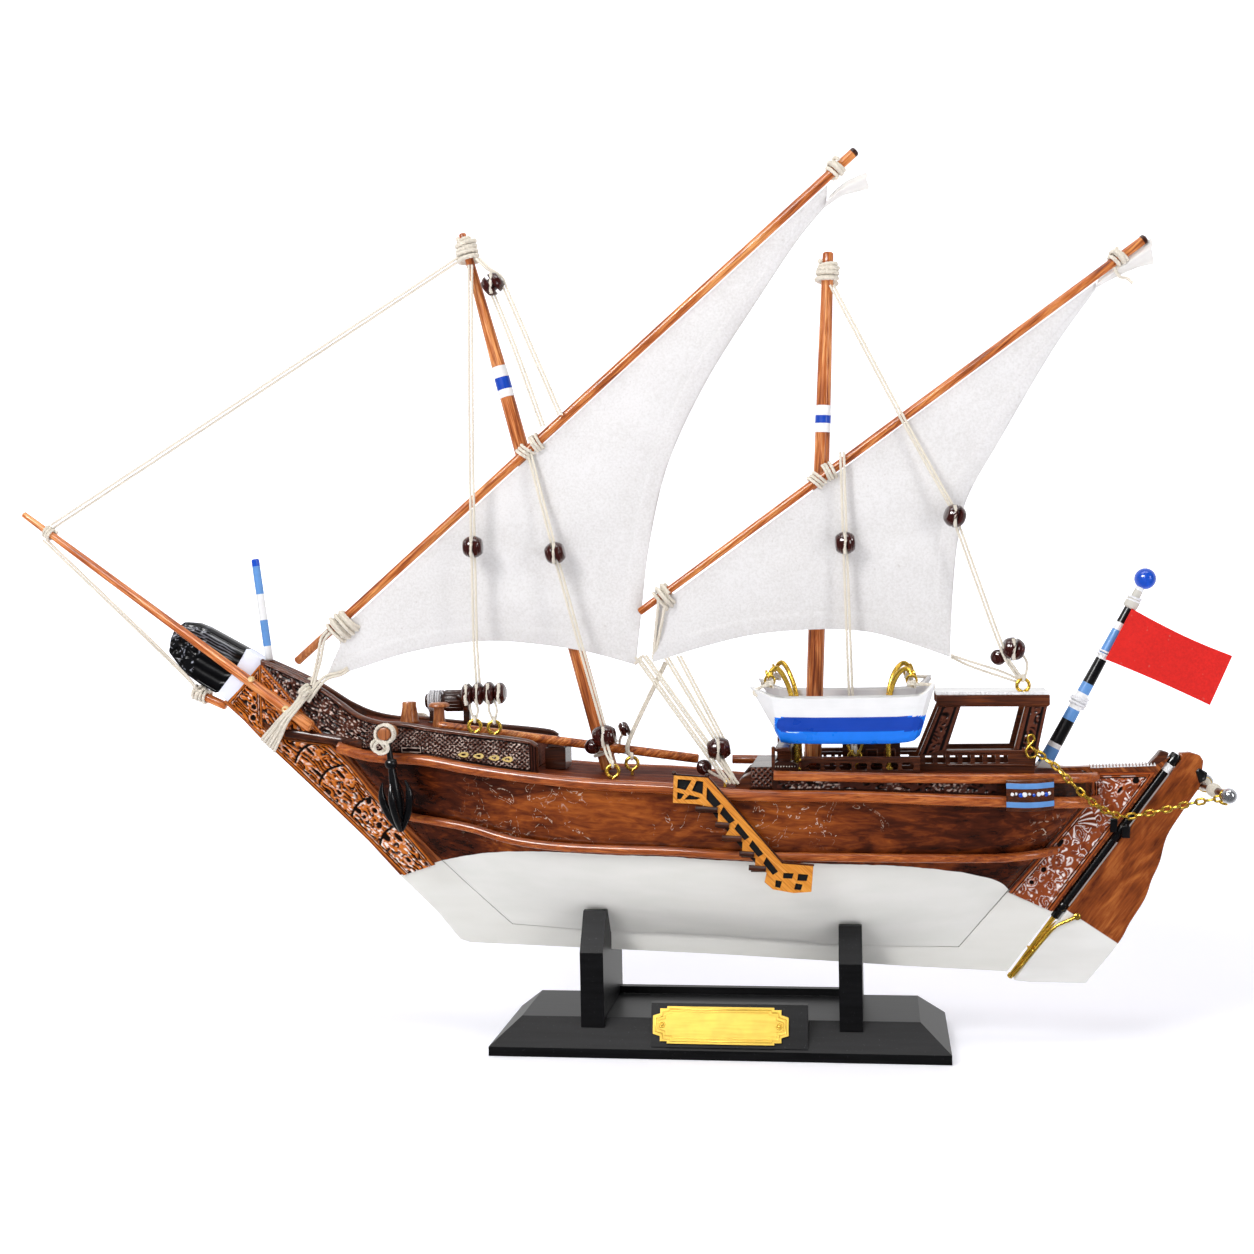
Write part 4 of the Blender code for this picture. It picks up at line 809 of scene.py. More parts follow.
def make_stage():
    """Pale floor and backdrop, soft lights and a white surround that is darker behind the camera."""
    size = 6.0  # half width of the floor and height of the backdrop, in metres
    mesh = bpy.data.meshes.new("floor")
    corners = [(-size, -size, 0), (size, -size, 0), (size, size, 0), (-size, size, 0), (size, size, size),
               (-size, size, size)]
    mesh.from_pydata(corners, [], [(0, 1, 2, 3), (3, 2, 4, 5)])
    floor = bpy.data.objects.new("floor", mesh)
    bpy.context.scene.collection.objects.link(floor)
    look = Look("floor_paper", 0.6, specular=0.1)
    tones = ((0.3, srgb(232, 232, 238)), (0.7, srgb(234, 234, 239)))
    look.colour(look.ramp(look.noise(look.place(), 3, 2), tones))
    look.put(look.shader, "Emission Color", srgb(250, 250, 255))
    distance = look.node("VectorMath", 1, {"operation": "LENGTH"}, {0: look.place()})
    look.put(look.shader, "Emission Strength", look.spread(distance, 0.35, 1.3, FLOOR_GLOW, 1.0))
    mesh.materials.append(look.material)
    floor.location.z = -0.2 * MM
    floor.visible_glossy = False

    world = bpy.data.worlds.new("surround")
    world.use_nodes = True
    tree = world.node_tree
    way = tree.nodes.new("ShaderNodeTexCoord")
    parts = tree.nodes.new("ShaderNodeSeparateXYZ")
    share = tree.nodes.new("ShaderNodeMapRange")
    share.inputs["From Min"].default_value, share.inputs["From Max"].default_value = -0.15, 0.55
    share.inputs["To Min"].default_value, share.inputs["To Max"].default_value = SURROUND_NEAR, 1.0
    tree.links.new(way.outputs["Generated"], parts.inputs[0])
    tree.links.new(parts.outputs[1], share.inputs["Value"])
    tree.links.new(share.outputs[0], tree.nodes["Background"].inputs[1])
    tree.nodes["Background"].inputs[0].default_value = (1.0, 1.0, 1.0, 1.0)
    bpy.context.scene.world = world
    bpy.context.scene.view_settings.view_transform = "Standard"

    for name, place, aim, width, height, power in LAMPS + (SHEEN_LAMP,):
        lamp = bpy.data.lights.new(name, "AREA")
        lamp.shape = "RECTANGLE"
        lamp.size, lamp.size_y, lamp.energy = width, height, power
        item = bpy.data.objects.new(name, lamp)
        item.location = place
        item.rotation_euler = (Vector(aim) - Vector(place)).to_track_quat("-Z", "Y").to_euler()
        item.visible_diffuse = name != SHEEN_LAMP[0]
        bpy.context.scene.collection.objects.link(item)


def make_camera():
    """Camera at the photograph's place, with its small roll."""
    yaw, pitch, roll = (math.radians(a) for a in (CAMERA_YAW, CAMERA_PITCH, CAMERA_ROLL))
    forward = Vector((math.sin(yaw) * math.cos(pitch), math.cos(yaw) * math.cos(pitch), math.sin(pitch)))
    level = Vector((math.cos(yaw), -math.sin(yaw), 0.0))
    up = level.cross(forward)
    right = level * math.cos(roll) + up * math.sin(roll)
    top = -level * math.sin(roll) + up * math.cos(roll)
    data = bpy.data.cameras.new("camera")
    data.lens, data.sensor_width = CAMERA_LENS, CAMERA_SENSOR
    item = bpy.data.objects.new("camera", data)
    turn = Matrix((right, top, -forward)).transposed().to_4x4()
    item.matrix_world = Matrix.Translation(CAMERA_PLACE) @ turn
    bpy.context.scene.collection.objects.link(item)
    bpy.context.scene.camera = item


# Hull form, repeated from the frame with smooth curves through the same points
PLATE_HALF = 3.0
BOW_LOW, BOW_TOP, STERN_LOW, STERN_TOP = -99.0, -183.0, 109.0, 168.2
BOW_BULGE = 5.0
KEEL_EDGE = ((-99, 53.7), (-65, 51.5), (-0.6, 49.2), (55.5, 45.7), (109, 45.0))
SHEER = ((-183, 141.0), (-162, 136.5), (-135, 135.2), (-112, 131.5), (-84, 127.8), (-52, 125.0),
         (-19, 123.4), (10, 120.3), (64, 119.1), (110, 116.8), (150, 114.6), (168.2, 113.6))
SECTION = ((0.0, 5.0), (0.1, 12.0), (0.2, 18.5), (0.35, 25.0), (0.5, 29.0), (0.62, 30.6), (0.8, 31.2),
           (1.0, 30.5))
FULL_BOW, FULL_STERN, FINE_KEEL = 0.70, 0.42, 0.35
WALL_MIN, WALL = 5.5, 2.2
RUB_RAIL = (2.0, ((-147, 106.0), (-115.1, 101.8), (-94, 96.7), (-73, 94.4), (-44.7, 93.6), (-19.4, 93.2),
                  (13.5, 91.2), (39.3, 90.6), (82.9, 89.3), (109.5, 88.4), (130.4, 88.0), (153.5, 89.6)))
SHEER_RAIL = (2.6, ((-181, 138.8), (-162.5, 134.9), (-135.6, 133.6), (-112.6, 130.0), (-83.8, 126.3),
                    (-51.7, 123.4), (-18.8, 121.7), (10, 118.7), (64, 117.4), (109.6, 115.1), (150, 113.0),
                    (168, 112.3)))
POOP_RAIL = (2.2, ((27.6, 127.2), (71.5, 125.8), (127.3, 124.3), (151, 123.8), (170.7, 122.9)))
POOP_RAIL_STARBOARD = (4.0, 127.6)  # the rail starts here where no ladder stands in its way
BULWARK_TOP = ((-219.6, 180.6), (-194.3, 168.8), (-172, 154.8), (-158.5, 150.8), (-145.9, 150.2),
               (-134.5, 148.5), (-115.5, 146.2), (-84.2, 142.4), (-80.2, 140.0))
BULWARK_FOOT = ((-219.6, 151.0), (-209, 146.2), (-190, 142.6), (-183, 141.4))
BULWARK_FLARE = ((-190, 0.0), (-165, 2.6), (-130, 2.0), (-80, 0.6))
FORECASTLE_DECK = ((-172, 152.6), (-160, 149.8), (-146, 149.0), (-131, 146.9), (-115.5, 144.6),
                   (-84.6, 140.2))
POOP_TOP = ((27, 128.0), (166, 125.0))

# Edges of the carved plates, x and z from top to bottom
STEM_LEAD = ((-221.0, 178.6), (-237.2, 160.8), (-229.6, 151.9), (-221.6, 143.6), (-189.2, 113.4),
             (-168.2, 93.2), (-151.6, 76.6))
STEM_AFT = ((-219.7, 178.4), (-219.7, 148.6), (-213.0, 142.6), (-186.0, 139.6), (-175.9, 129.6),
            (-166.3, 117.5), (-152.9, 102.1), (-136.0, 81.8))
STEM_TILT = math.radians(-43.9)
# Pierced eyes in the stem carving, painted black as shade: x, z, half length along the stem and half width
STEM_PITS = ((-224.1, 158.0, 1.3, 1.2), (-224.6, 152.8, 1.5, 1.3), (-218.2, 151.4, 1.5, 1.1),
             (-181.6, 125.2, 3.0, 0.9), (-178.2, 121.8, 1.4, 0.9), (-182.5, 116.5, 1.5, 0.8),
             (-173.4, 123.1, 1.2, 1.1), (-169.0, 118.7, 1.5, 1.3), (-167.9, 112.2, 1.4, 1.4),
             (-165.1, 107.8, 1.6, 1.0), (-173.2, 107.6, 1.9, 1.0), (-170.7, 105.0, 1.6, 0.9),
             (-163.0, 100.6, 1.5, 1.4), (-159.7, 94.9, 2.5, 1.4), (-153.7, 94.9, 2.8, 1.0),
             (-196.6, 136.4, 3.2, 0.7), (-192.8, 125.6, 4.6, 0.7), (-208.5, 137.4, 2.6, 0.6),
             (-149.0, 84.0, 1.6, 0.8))
STEM_MARK = (-229.6, 151.9)  # places along the stem are measured from here
STEM_ARCS = (31.0, 47.0, 69.0, 88.0)  # places along the stem of the cuts that part its leaves
STERN_TILT = math.radians(52.0)
STERN_PITS = ((188.4, 121.0, 1.5, 1.4), (184.0, 123.2, 1.6, 0.8), (181.4, 116.8, 1.8, 0.7),
              (165.4, 110.2, 2.2, 1.0), (155.0, 92.6, 2.0, 0.9), (147.4, 80.6, 1.3, 1.1),
              (142.0, 74.8, 1.0, 1.0))
PIT_REACH = 6.5  # no pit's rim is further from its middle
ORANGE_EDGE = ((-219.6, 179.3), (-192.0, 148.2))  # below this line the bow bulwark is carved like the stem
STERN_FORE = ((168.9, 124.6), (168.9, 113.8), (153.6, 95.9), (131.6, 70.2))
STERN_AFT = ((197.2, 124.9), (150.6, 61.6))
HEAD_TOP = ((-226.9, 186.0), (-247, 197), (-252, 199), (-258.5, 199.6), (-263.5, 196.5), (-266, 190))
HEAD_FOOT = ((-241.6, 165.4), (-244, 165), (-252, 169.6), (-259.6, 175), (-266.4, 184.5), (-266.3, 187.5))
COLLAR_FORE = ((-227.1, 186.1), (-233.9, 175.1), (-241.8, 165.5))
COLLAR_AFT = ((-218.6, 180.7), (-228.0, 169.2), (-237.4, 160.9))


def smooth_up(table, at):
    """Reads a two-column table through a smooth curve."""
    if at <= table[0][0]:
        return table[0][1]
    if at >= table[-1][0]:
        return table[-1][1]
    index = next(i for i in range(len(table) - 1) if at <= table[i + 1][0])
    (a, low), (b, high) = table[index], table[index + 1]
    before = table[index - 1] if index else (2 * a - b, 2 * low - high)
    after = table[index + 2] if index + 2 < len(table) else (2 * b - a, 2 * high - low)
    share, width = (at - a) / (b - a), b - a
    start = (high - before[1]) / (b - before[0]) * width
    end = (after[1] - low) / (after[0] - a) * width
    s2, s3 = share * share, share ** 3
    return (low * (2 * s3 - 3 * s2 + 1) + start * (s3 - 2 * s2 + share)
            + high * (3 * s2 - 2 * s3) + end * (s3 - s2))


def step_up(value, low, high):
    share = min(max((value - low) / (high - low), 0.0), 1.0)
    return share * share * (3 - 2 * share)


def hull_point(u, t):
    low = mix(BOW_LOW, STERN_LOW, u)
    top = mix(BOW_TOP, STERN_TOP, u)
    x = mix(low, top, t) - BOW_BULGE * math.sin(math.pi * t) * (1 - u) ** 2
    z = mix(smooth_up(KEEL_EDGE, low), smooth_up(SHEER, top), t)
    power = mix(FULL_BOW, FULL_STERN, u) + FINE_KEEL * (1 - t)
    swell = max(math.sin(math.pi * u), 0.0) ** power
    return x, PLATE_HALF + (smooth_up(SECTION, t) - PLATE_HALF) * swell, z


def hull_half(x, z):
    """Half breadth of the hull at a place on its side."""
    u, t = 0.5, 0.5
    for _ in range(24):
        low = mix(BOW_LOW, STERN_LOW, u)
        top = mix(BOW_TOP, STERN_TOP, u)
        foot, edge = smooth_up(KEEL_EDGE, low), smooth_up(SHEER, top)
        t = min(max((z - foot) / (edge - foot), 0.0), 1.0)
        fore = mix(BOW_LOW, BOW_TOP, t) - BOW_BULGE * math.sin(math.pi * t) * (1 - u) ** 2
        aft = mix(STERN_LOW, STERN_TOP, t)
        u = min(max((x - fore) / (aft - fore), 0.0), 1.0)
    return hull_point(u, t)[1]


@lru_cache(maxsize=None)
def sheer_half(x):
    return hull_half(x, smooth_up(SHEER, x))


def bulwark_half(x):
    return max(sheer_half(x), WALL_MIN if x < 0 else PLATE_HALF)


def line_at(points, share):
    """Point at a share of a broken line's length."""
    lengths = [math.dist(a, b) for a, b in zip(points, points[1:])]
    left = share * sum(lengths)
    for (a, b), length in zip(zip(points, points[1:]), lengths):
        if left <= length:
            return between(a, b, left / length)
        left -= length
    return tuple(points[-1])


def line_length(points):
    return sum(math.dist(a, b) for a, b in zip(points, points[1:]))


def make_hull():
    """Smooth skin of the hull, and the planks of its waist."""
    stations, levels = 120, 40
    shape = Shape()
    rings = []
    for t in half_turn(stations):
        side = [hull_point(0.5 - 0.5 * math.cos(t), j / levels) for j in range(levels + 1)]
        rings.append([(x, -y, z) for x, y, z in side] + [(x, y, z) for x, y, z in side[::-1]])
    shape.loft(rings, caps=False)
    count = 2 * (levels + 1)
    for start in (0, stations * count):
        for i in range(levels):
            shape.face((start + i, start + i + 1, start + count - 2 - i, start + count - 1 - i))
    shape.make("hull_skin", ["hull"], "hull_wood", ["hull_body"], angle=50)
    plank_deck("waist_deck", -84.4, 16.4, lambda x: sheer_half(x) - 1.2,
               lambda x: smooth_up(SHEER, x) + 0.1, 11)


def plank_deck(name, start, end, half_at, top_at, count, thick=0.45):
    """Planks laid side by side that follow the plan of the deck."""
    shape = Shape()
    steps, gap = 16, 0.22
    for k in range(count):
        rings = []
        for i in range(steps + 1):
            x = mix(start, end, i / steps)
            half = half_at(x)
            low = -half + 2 * half * k / count + gap
            high = -half + 2 * half * (k + 1) / count - gap
            z = top_at(x)
            rings.append([(x, low, z), (x, high, z), (x, high, z + thick), (x, low, z + thick)])
        shape.loft(rings, look=k % 2)
    shape.make(name, ["deck", "plank"], "dark_wood", bevel=0.1)


def rail_path(line, side, half_at, reach):
    """Line of a rail that lies against the side, with closer points towards its ends."""
    points = []
    for t in half_turn(110):
        x = mix(line[0][0], line[-1][0], 0.5 - 0.5 * math.cos(t))
        slope = (half_at(x + 1) - half_at(x - 1)) / 2
        scale = math.hypot(1, slope)
        points.append((x - slope * reach / scale, side * (half_at(x) + reach / scale), smooth_up(line, x)))
    return points


def make_rails():
    """Round rails with rounded ends; the fore end of the sheer rail is a flat dark moulding."""
    def rub_half(x):
        z = smooth_up(RUB_RAIL[1], x)
        return max(hull_half(x, z + lift) for lift in (-2.0, 0.0, 2.0))

    for suffix, side in SIDES:
        for name, (radius, line), half_at in (
                ("rub_rail", RUB_RAIL, rub_half), ("sheer_rail", SHEER_RAIL, bulwark_half),
                ("poop_rail", POOP_RAIL, bulwark_half)):
            if name == "poop_rail" and side > 0:
                line = (POOP_RAIL_STARBOARD,) + line
            path = rail_path(line, side, half_at, radius + 0.45)
            draw = random.Random(name + suffix)
            radii = [radius * (1 + draw.uniform(-0.02, 0.02)) for _ in path]
            radii[0], radii[-1] = radius * 0.8, radius * 0.8
            shape = Shape()
            shape.tube(path, radii, 14)
            shape.make(name + "_round_" + suffix, ["rail"], "rail_wood", ["%s_%s" % (name, suffix)])
        band = Shape()
        rings = []
        steps = 24
        for i in range(steps + 1):
            x, middle, tall, proud = between((-208.0, 145.9, 2.3, 1.4), (-168.0, 139.6, 2.9, 3.2), i / steps)
            rings.append([(x, side * (bulwark_half(x) - 0.2 + proud * math.sin(t)),
                           middle + tall * math.cos(t))
                          for t in half_turn(10)])
        band.loft(rings)
        band.make("bow_band_" + suffix, ["dark"], "dark_wood")


def scroll(x, z, cell, seed):
    """Height from 0 to 1 of scrollwork: spirals fill cells that meet in ridges."""
    drift = Vector((cloud(x, z, 5.5, seed), 0, cloud(x, z, 5.5, seed + 31.0))) * 1.7
    spot = (Vector((x, 0, z)) + drift) / cell
    spot.y = seed
    near, centres = noise.voronoi(spot)
    wall = 1 - step_up(near[1] - near[0], 0.06, 0.26)
    away = spot - centres[0]
    hand = 1 if centres[0].x * 7 % 2 < 1 else -1
    spiral = 0.5 + 0.5 * math.cos(13.0 * near[0] + math.atan2(away.z, away.x) * hand)
    return max(wall, step_up(spiral, 0.38, 0.68))


def lattice(a, b, pitch):
    """Height of a diamond lattice."""
    u, w = (a + b) / pitch, (a - b) / pitch
    near = min(abs(u - round(u)), abs(w - round(w))) * 2
    return 1 - step_up(near, 0.22, 0.62)


def framed(height, tone, rub_and_glint, edge, border):
    """Keeps a smooth border with a cut line round the carving; the cut line is painted dark as its shade."""
    if edge < border:
        return min(1.0, 0.75 + 0.25 * step_up(edge, 0.0, 0.5)), 0.7, rub_and_glint * 0.25
    if edge < border + 0.7:
        return 0.15, 0.1, 0.0
    return height, tone, rub_and_glint


def cloud(x, z, size, seed):
    """Slow noise, about -1 to 1, over the side view."""
    return noise.noise((x / size, seed, z / size))


def speckle(x, z, size, seed, low, high):
    """Patches from 0 to 1 with soft edges."""
    return step_up(cloud(x, z, size, seed), low, high)


def strip_place(fore, aft, side, half):
    def place(u, v):
        x, z = between(line_at(fore, u), line_at(aft, u), v)
        return Vector((x, side * half, z)), Vector((0, side, 0))
    return place


def strip_edges(fore, aft):
    """Distance to the nearest edge of a strip between two lines, at its two shares."""
    length = (line_length(fore) + line_length(aft)) / 2

    def edge(u, v):
        width = math.dist(line_at(fore, u), line_at(aft, u))
        return min(v * width, (1 - v) * width, u * length, (1 - u) * length + 3.0)
    return edge


def in_grain(x, z, tilt):
    """Place along and across a slanting direction."""
    return x * math.cos(tilt) + z * math.sin(tilt), z * math.cos(tilt) - x * math.sin(tilt)


def strands(x, z, tilt, pitch, seed):
    """Height of strands that flow along a direction, with the place along and across it."""
    along, across = in_grain(x, z, tilt)
    sway = 1.25 * noise.noise((along / 8.5, seed, across / 5.0))
    sway += 0.4 * noise.noise((along / 3.2, seed + 9.0, across / 2.4))
    return step_up(0.5 + 0.5 * math.cos(math.tau * (across / pitch + sway)), 0.25, 0.75), along, across


def pitted(x, z, tilt, pits, height, tone, rub_and_glint):
    """Cuts eyes with a raised rim into a carving: an eye is painted black, as the shade in a pierced hole,
    and its rim gets a painted highlight.
    """
    for px, pz, long, wide in pits:
        a, b = x - px, z - pz
        if abs(a) > PIT_REACH or abs(b) > PIT_REACH:
            continue
        along, across = in_grain(a, b, tilt)
        away = math.hypot(along / long, across / wide)
        if away < 1.0:
            return 0.0, 0.0, 0.0
        rim = 1.0 + 0.75 / wide
        if away < rim:
            glint = speckle(x, z, 1.1, 71.0, -0.1, 0.2)
            return 1.0, 0.85, 0.5 * glint * step_up(away, 1.0, 1.2)
    return height, tone, rub_and_glint


def edged(height, tone, rub_and_glint, edge, spot):
    """Border of a carved plate: a dark edge, a plain ridge, and a thin bright line between two cuts; the cuts
    are painted dark as shade, and the bright line is a painted highlight.
    """
    if edge < 0.5:
        return 0.75, 0.35, 0.0
    if edge < 1.5:
        return 1.0, 0.72, 0.0
    if edge < 1.9:
        return 0.2, 0.1, 0.0
    if edge < 2.5:
        return 0.9, 0.8, 0.45 * step_up(noise.noise(spot / 2.6), -0.15, 0.2)
    if edge < 2.9:
        return 0.2, 0.1, 0.0
    return height, tone, rub_and_glint


def stem_relief(spot):
    """Leaves of flowing strands, with white strokes of wear and painted highlight that grow towards the foot,
    and cuts painted dark as shade.
    """
    x, z = spot.x, spot.z
    height, along, across = strands(x, z, STEM_TILT, 1.9, 3.0)
    mark_along, mark_across = in_grain(*STEM_MARK, STEM_TILT)
    run, reach = along - mark_along, across - mark_across
    grow = step_up(run, 35.0, 105.0)
    curl = scroll(x, z, 4.2, 33.0)
    height = mix(height, curl, speckle(x, z, 6.0, 17.0, 0.05 - 0.25 * grow, 0.25 - 0.25 * grow))
    fine = noise.noise(spot / 0.8) * 0.12
    # White strokes on the ridges: part wear, part painted highlight.
    wear_and_glint_stroke = step_up(noise.noise((along / 3.0, 5.0, across / 0.9)), 0.36 - 0.27 * grow, 0.46 - 0.27 * grow)
    rub_and_glint = wear_and_glint_stroke * step_up(height, 0.4, 0.8)
    tone = 0.1 + 0.75 * height + fine
    # The cuts that part the leaves are painted near black, as their shade.
    for place in STEM_ARCS:
        away = run - (place + 0.05 * (reach - 9.0) ** 2)
        if abs(away) < 0.65:
            return 0.05, 0.02, 0.0, fine
        if 0 < away < 1.5:
            height, tone, rub_and_glint = 1.0, 0.8, max(rub_and_glint, 0.8 * step_up(noise.noise(spot / 1.6), 0.0, 0.2))
    height, tone, rub_and_glint = pitted(x, z, STEM_TILT, STEM_PITS, height, tone, rub_and_glint)
    return height, tone, rub_and_glint, fine


def make_stem_carving():
    edge = strip_edges(STEM_LEAD, STEM_AFT)

    def carve(spot, u, v):
        height, tone, rub_and_glint, fine = stem_relief(spot)
        height, tone, rub_and_glint = edged(height, tone, rub_and_glint, edge(u, v), spot)
        return 0.2 + 0.95 * height + fine * 0.5, tone, rub_and_glint

    for suffix, side in SIDES:
        shape = Shape()
        shape.panel(strip_place(STEM_LEAD, STEM_AFT, side, PLATE_HALF + 0.05), carve, 330, 56, 0.2)
        shape.make("stem_carving_" + suffix, ["stem_carving"], "carved_wood", angle=60)


def stern_relief(spot):
    """Red-brown ground with fine white line work: scrolls, scales on top, a plume, and dots at the foot; the
    tone darkens in the hollows as painted shade.
    """
    x, z = spot.x, spot.z
    curl = scroll(x, z, 5.2, 8.0)
    line = step_up(curl, 0.12, 0.35) * (1 - step_up(curl, 0.85, 1.0))
    height, rub_and_glint = 0.45 + 0.4 * curl, line * speckle(x, z, 5.0, 23.0, -0.28, -0.08)
    if x > 164 and z > 112:
        scales = lattice(x - 166, (z - 112) * 1.2, 2.3)
        share = speckle(x, z, 6.0, 29.0, -0.05, 0.1) * (1 - step_up(x, 176, 181))
        height = mix(height, 0.4 + 0.5 * scales, share)
        rub_and_glint = mix(rub_and_glint, 0.75 * scales * speckle(x, z, 1.1, 37.0, -0.2, 0.1), share)
    plume_x, plume_z = x - 160.5, z - 101.0
    far, turn = math.hypot(plume_x, plume_z), math.atan2(plume_z, plume_x)
    if 2.5 < far < 10.5 and -0.15 < turn < 1.25:
        rib = 0.5 + 0.5 * math.cos((turn + 0.03 * far) * 21.0)
        height, rub_and_glint = 0.3 + 0.6 * rib, step_up(rib, 0.62, 0.9)
    if z < 86:
        seeds, _ = noise.voronoi((x / 2.6, 4.0, z / 2.6))
        dot = 1 - step_up(seeds[0], 0.22, 0.34)
        rub_and_glint = max(rub_and_glint * 0.8, dot * speckle(x, z, 4.0, 41.0, -0.1, 0.1))
    return height, 0.28 + 0.34 * height, rub_and_glint, noise.noise(spot / 0.9) * 0.08


def make_stern_carving():
    """Carved sides of the sternpost plate, and the row of white teeth on its head."""
    edge = strip_edges(STERN_FORE, STERN_AFT)

    def carve(spot, u, v):
        height, tone, rub_and_glint, fine = stern_relief(spot)
        height, tone, rub_and_glint = pitted(spot.x, spot.z, STERN_TILT, STERN_PITS, height, tone, rub_and_glint)
        height, tone, rub_and_glint = edged(height, tone, rub_and_glint, edge(u, v), spot)
        return 0.25 + 0.8 * height + fine * 0.5, tone, rub_and_glint

    for suffix, side in SIDES:
        shape = Shape()
        shape.panel(strip_place(STERN_FORE, STERN_AFT, side, PLATE_HALF + 0.05), carve, 230, 92, 0.2)
        shape.make("stern_carving_" + suffix, ["stern_carving"], "carved_wood", angle=60)
        teeth = Shape()
        for k in range(20):
            x = 168.5 + k * 1.45
            z = 126.6 + 0.03 * (x - 168)
            teeth.plate([[(x, z), (x + 1.25, z), (x + 0.62, z + 1.5)]], side * 2.4, side * 3.5)
        teeth.make("stern_teeth_" + suffix, ["white"], "white_paint")


CARVED_FROM, CARVED_TO = -219.0, -80.6  # the bow bulwark's carving
ORANGE_TO, STRANDS_TO, REEDS_FROM = -185.0, -166.0, -84.4  # where its fields end and begin
HAWSE_PLATE = ((-148.2, 136.2), (-136.9, 139.8))  # plain dark field with a bright line round it
INLAY_PLACES = ((-116.0, 136.4), (-108.6, 135.8), (-101.0, 135.0), (-94.6, 134.4))


def bulwark_foot(x):
    return look_up(BULWARK_FOOT, x) + 0.3 if x < BOW_TOP else smooth_up(SHEER, x) + 0.6


def orange_side(x, z):
    """Distance above the line that parts the orange field from the dark one, negative below it."""
    (x0, z0), (x1, z1) = ORANGE_EDGE
    return ((x1 - x0) * (z - z0) - (z1 - z0) * (x - x0)) / 41.5


def bulwark_carve(spot, u, v):
    """Strands like the stem's, darker strands, a lattice, and upright reeds at the aft end, with shade
    painted into their cuts and white specks of wear and painted highlight.
    """
    x, z = spot.x, spot.z
    tall = smooth_up(BULWARK_TOP, x) - bulwark_foot(x)
    edge = min(v * tall + 0.6, (1 - v) * tall)
    fine = noise.noise(spot / 0.8) * 0.1
    if x > REEDS_FROM:
        height = 0.5 + 0.5 * math.cos((x - REEDS_FROM) * math.tau / 1.3)
        return 0.3 + 0.6 * height, 0.1 + 0.4 * height, 0.0
    split = orange_side(x, z)
    if x < ORANGE_TO and split < 0:
        height, tone, rub_and_glint, fine = stem_relief(spot)
        height, tone, rub_and_glint = edged(height, tone, rub_and_glint * 0.6, min(-split, v * tall + 2.0) + 0.5, spot)
        return 0.1 + 0.8 * height + fine * 0.4, tone, rub_and_glint
    if x < STRANDS_TO:
        height, along, across = strands(x, z, math.radians(-32), 1.7, 21.0)
        height = mix(height, scroll(x, z, 4.6, 21.0), speckle(x, z, 7.0, 27.0, -0.1, 0.1))
        glint = step_up(noise.noise((along / 1.8, 25.0, across / 0.8)), 0.12, 0.32)
        rub_and_glint = glint * step_up(height, 0.5, 0.9)
        edge = min(edge, split) if x < -192 else edge
    else:
        height = lattice(x, z * 1.25, 2.5)
        ground = step_up(noise.noise(spot / 8.0), -0.3, 0.15)
        rub_and_glint = speckle(x, z, 0.8, 25.0, 0.0, 0.22) * step_up(height, 0.6, 0.9) * mix(0.25, 1.0, ground)
    tone = 0.05 + 0.5 * height + fine
    (x0, z0), (x1, z1) = HAWSE_PLATE
    if x0 < x < x1 and z0 < z < z1:
        near = min(x - x0, x1 - x, z - z0, z1 - z)
        line = 1.0 if 0.5 < near < 1.0 else 0.0
        return 0.3 + 0.4 * line, 0.1 + 0.5 * line, line * 0.8
    height, tone, rub_and_glint = framed(height, tone, rub_and_glint, edge, 0.9)
    return 0.2 + 0.75 * height + fine * 0.4, tone, rub_and_glint * 0.85


def make_bulwark_carving():
    """Carved outsides of the bow bulwarks, with their rounded caps and inlaid leaves."""
    leaf = [(2.6 * math.cos(t), 1.25 * math.sin(t) * (1 + 0.35 * math.cos(t))) for t in angles(14)]
    cap_width, cap_tall, cap_steps = 1.9, 0.9, 59
    section = [(cap_width * math.cos(t), cap_tall * math.sin(t)) for t in half_turn(8)]
    section += [(-cap_width, -0.5), (cap_width, -0.5)]
    for suffix, side in SIDES:
        def place(u, v):
            x = mix(CARVED_FROM, CARVED_TO, u)
            half, flare = bulwark_half(x), smooth_up(BULWARK_FLARE, x)
            low, top = bulwark_foot(x), smooth_up(BULWARK_TOP, x) - 0.1
            return Vector((x, side * (half + flare * v), mix(low, top, v))), Vector((0, side, 0))

        shape = Shape()
        shape.panel(place, bulwark_carve, 400, 44, 0.1)
        for index, face in enumerate(shape.faces):
            x = sum(shape.verts[i][0] for i in face) / len(face)
            z = sum(shape.verts[i][2] for i in face) / len(face)
            if x < ORANGE_TO and orange_side(x, z) < 0:
                shape.looks[index] = 1
        shape.make("bulwark_carving_" + suffix, ["dark_carving", "stem_carving"], "dark_wood", angle=60)

        cap = Shape()
        points = []
        for i in range(cap_steps + 1):
            x = mix(CARVED_FROM, CARVED_TO, i / cap_steps)
            wall = bulwark_half(x) + smooth_up(BULWARK_FLARE, x)
            points.append((x, side * (wall - WALL / 2 + 0.3), smooth_up(BULWARK_TOP, x) + 0.2))
        cap.sweep(points, section)
        cap.make("bulwark_cap_" + suffix, ["cut"], "dark_wood")

        inlay = Shape()
        for x, z in INLAY_PLACES:
            y = bulwark_half(x) + smooth_up(BULWARK_FLARE, x) * 0.4
            hole = [(x + a * 0.45, z + b * 0.4) for a, b in leaf]
            inlay.cheek([[(x + a, z + b) for a, b in leaf], hole[::-1]], side, y + 0.3, y + 1.3)
        inlay.make("bulwark_inlay_" + suffix, ["inlay"], "plywood", bevel=0.12)


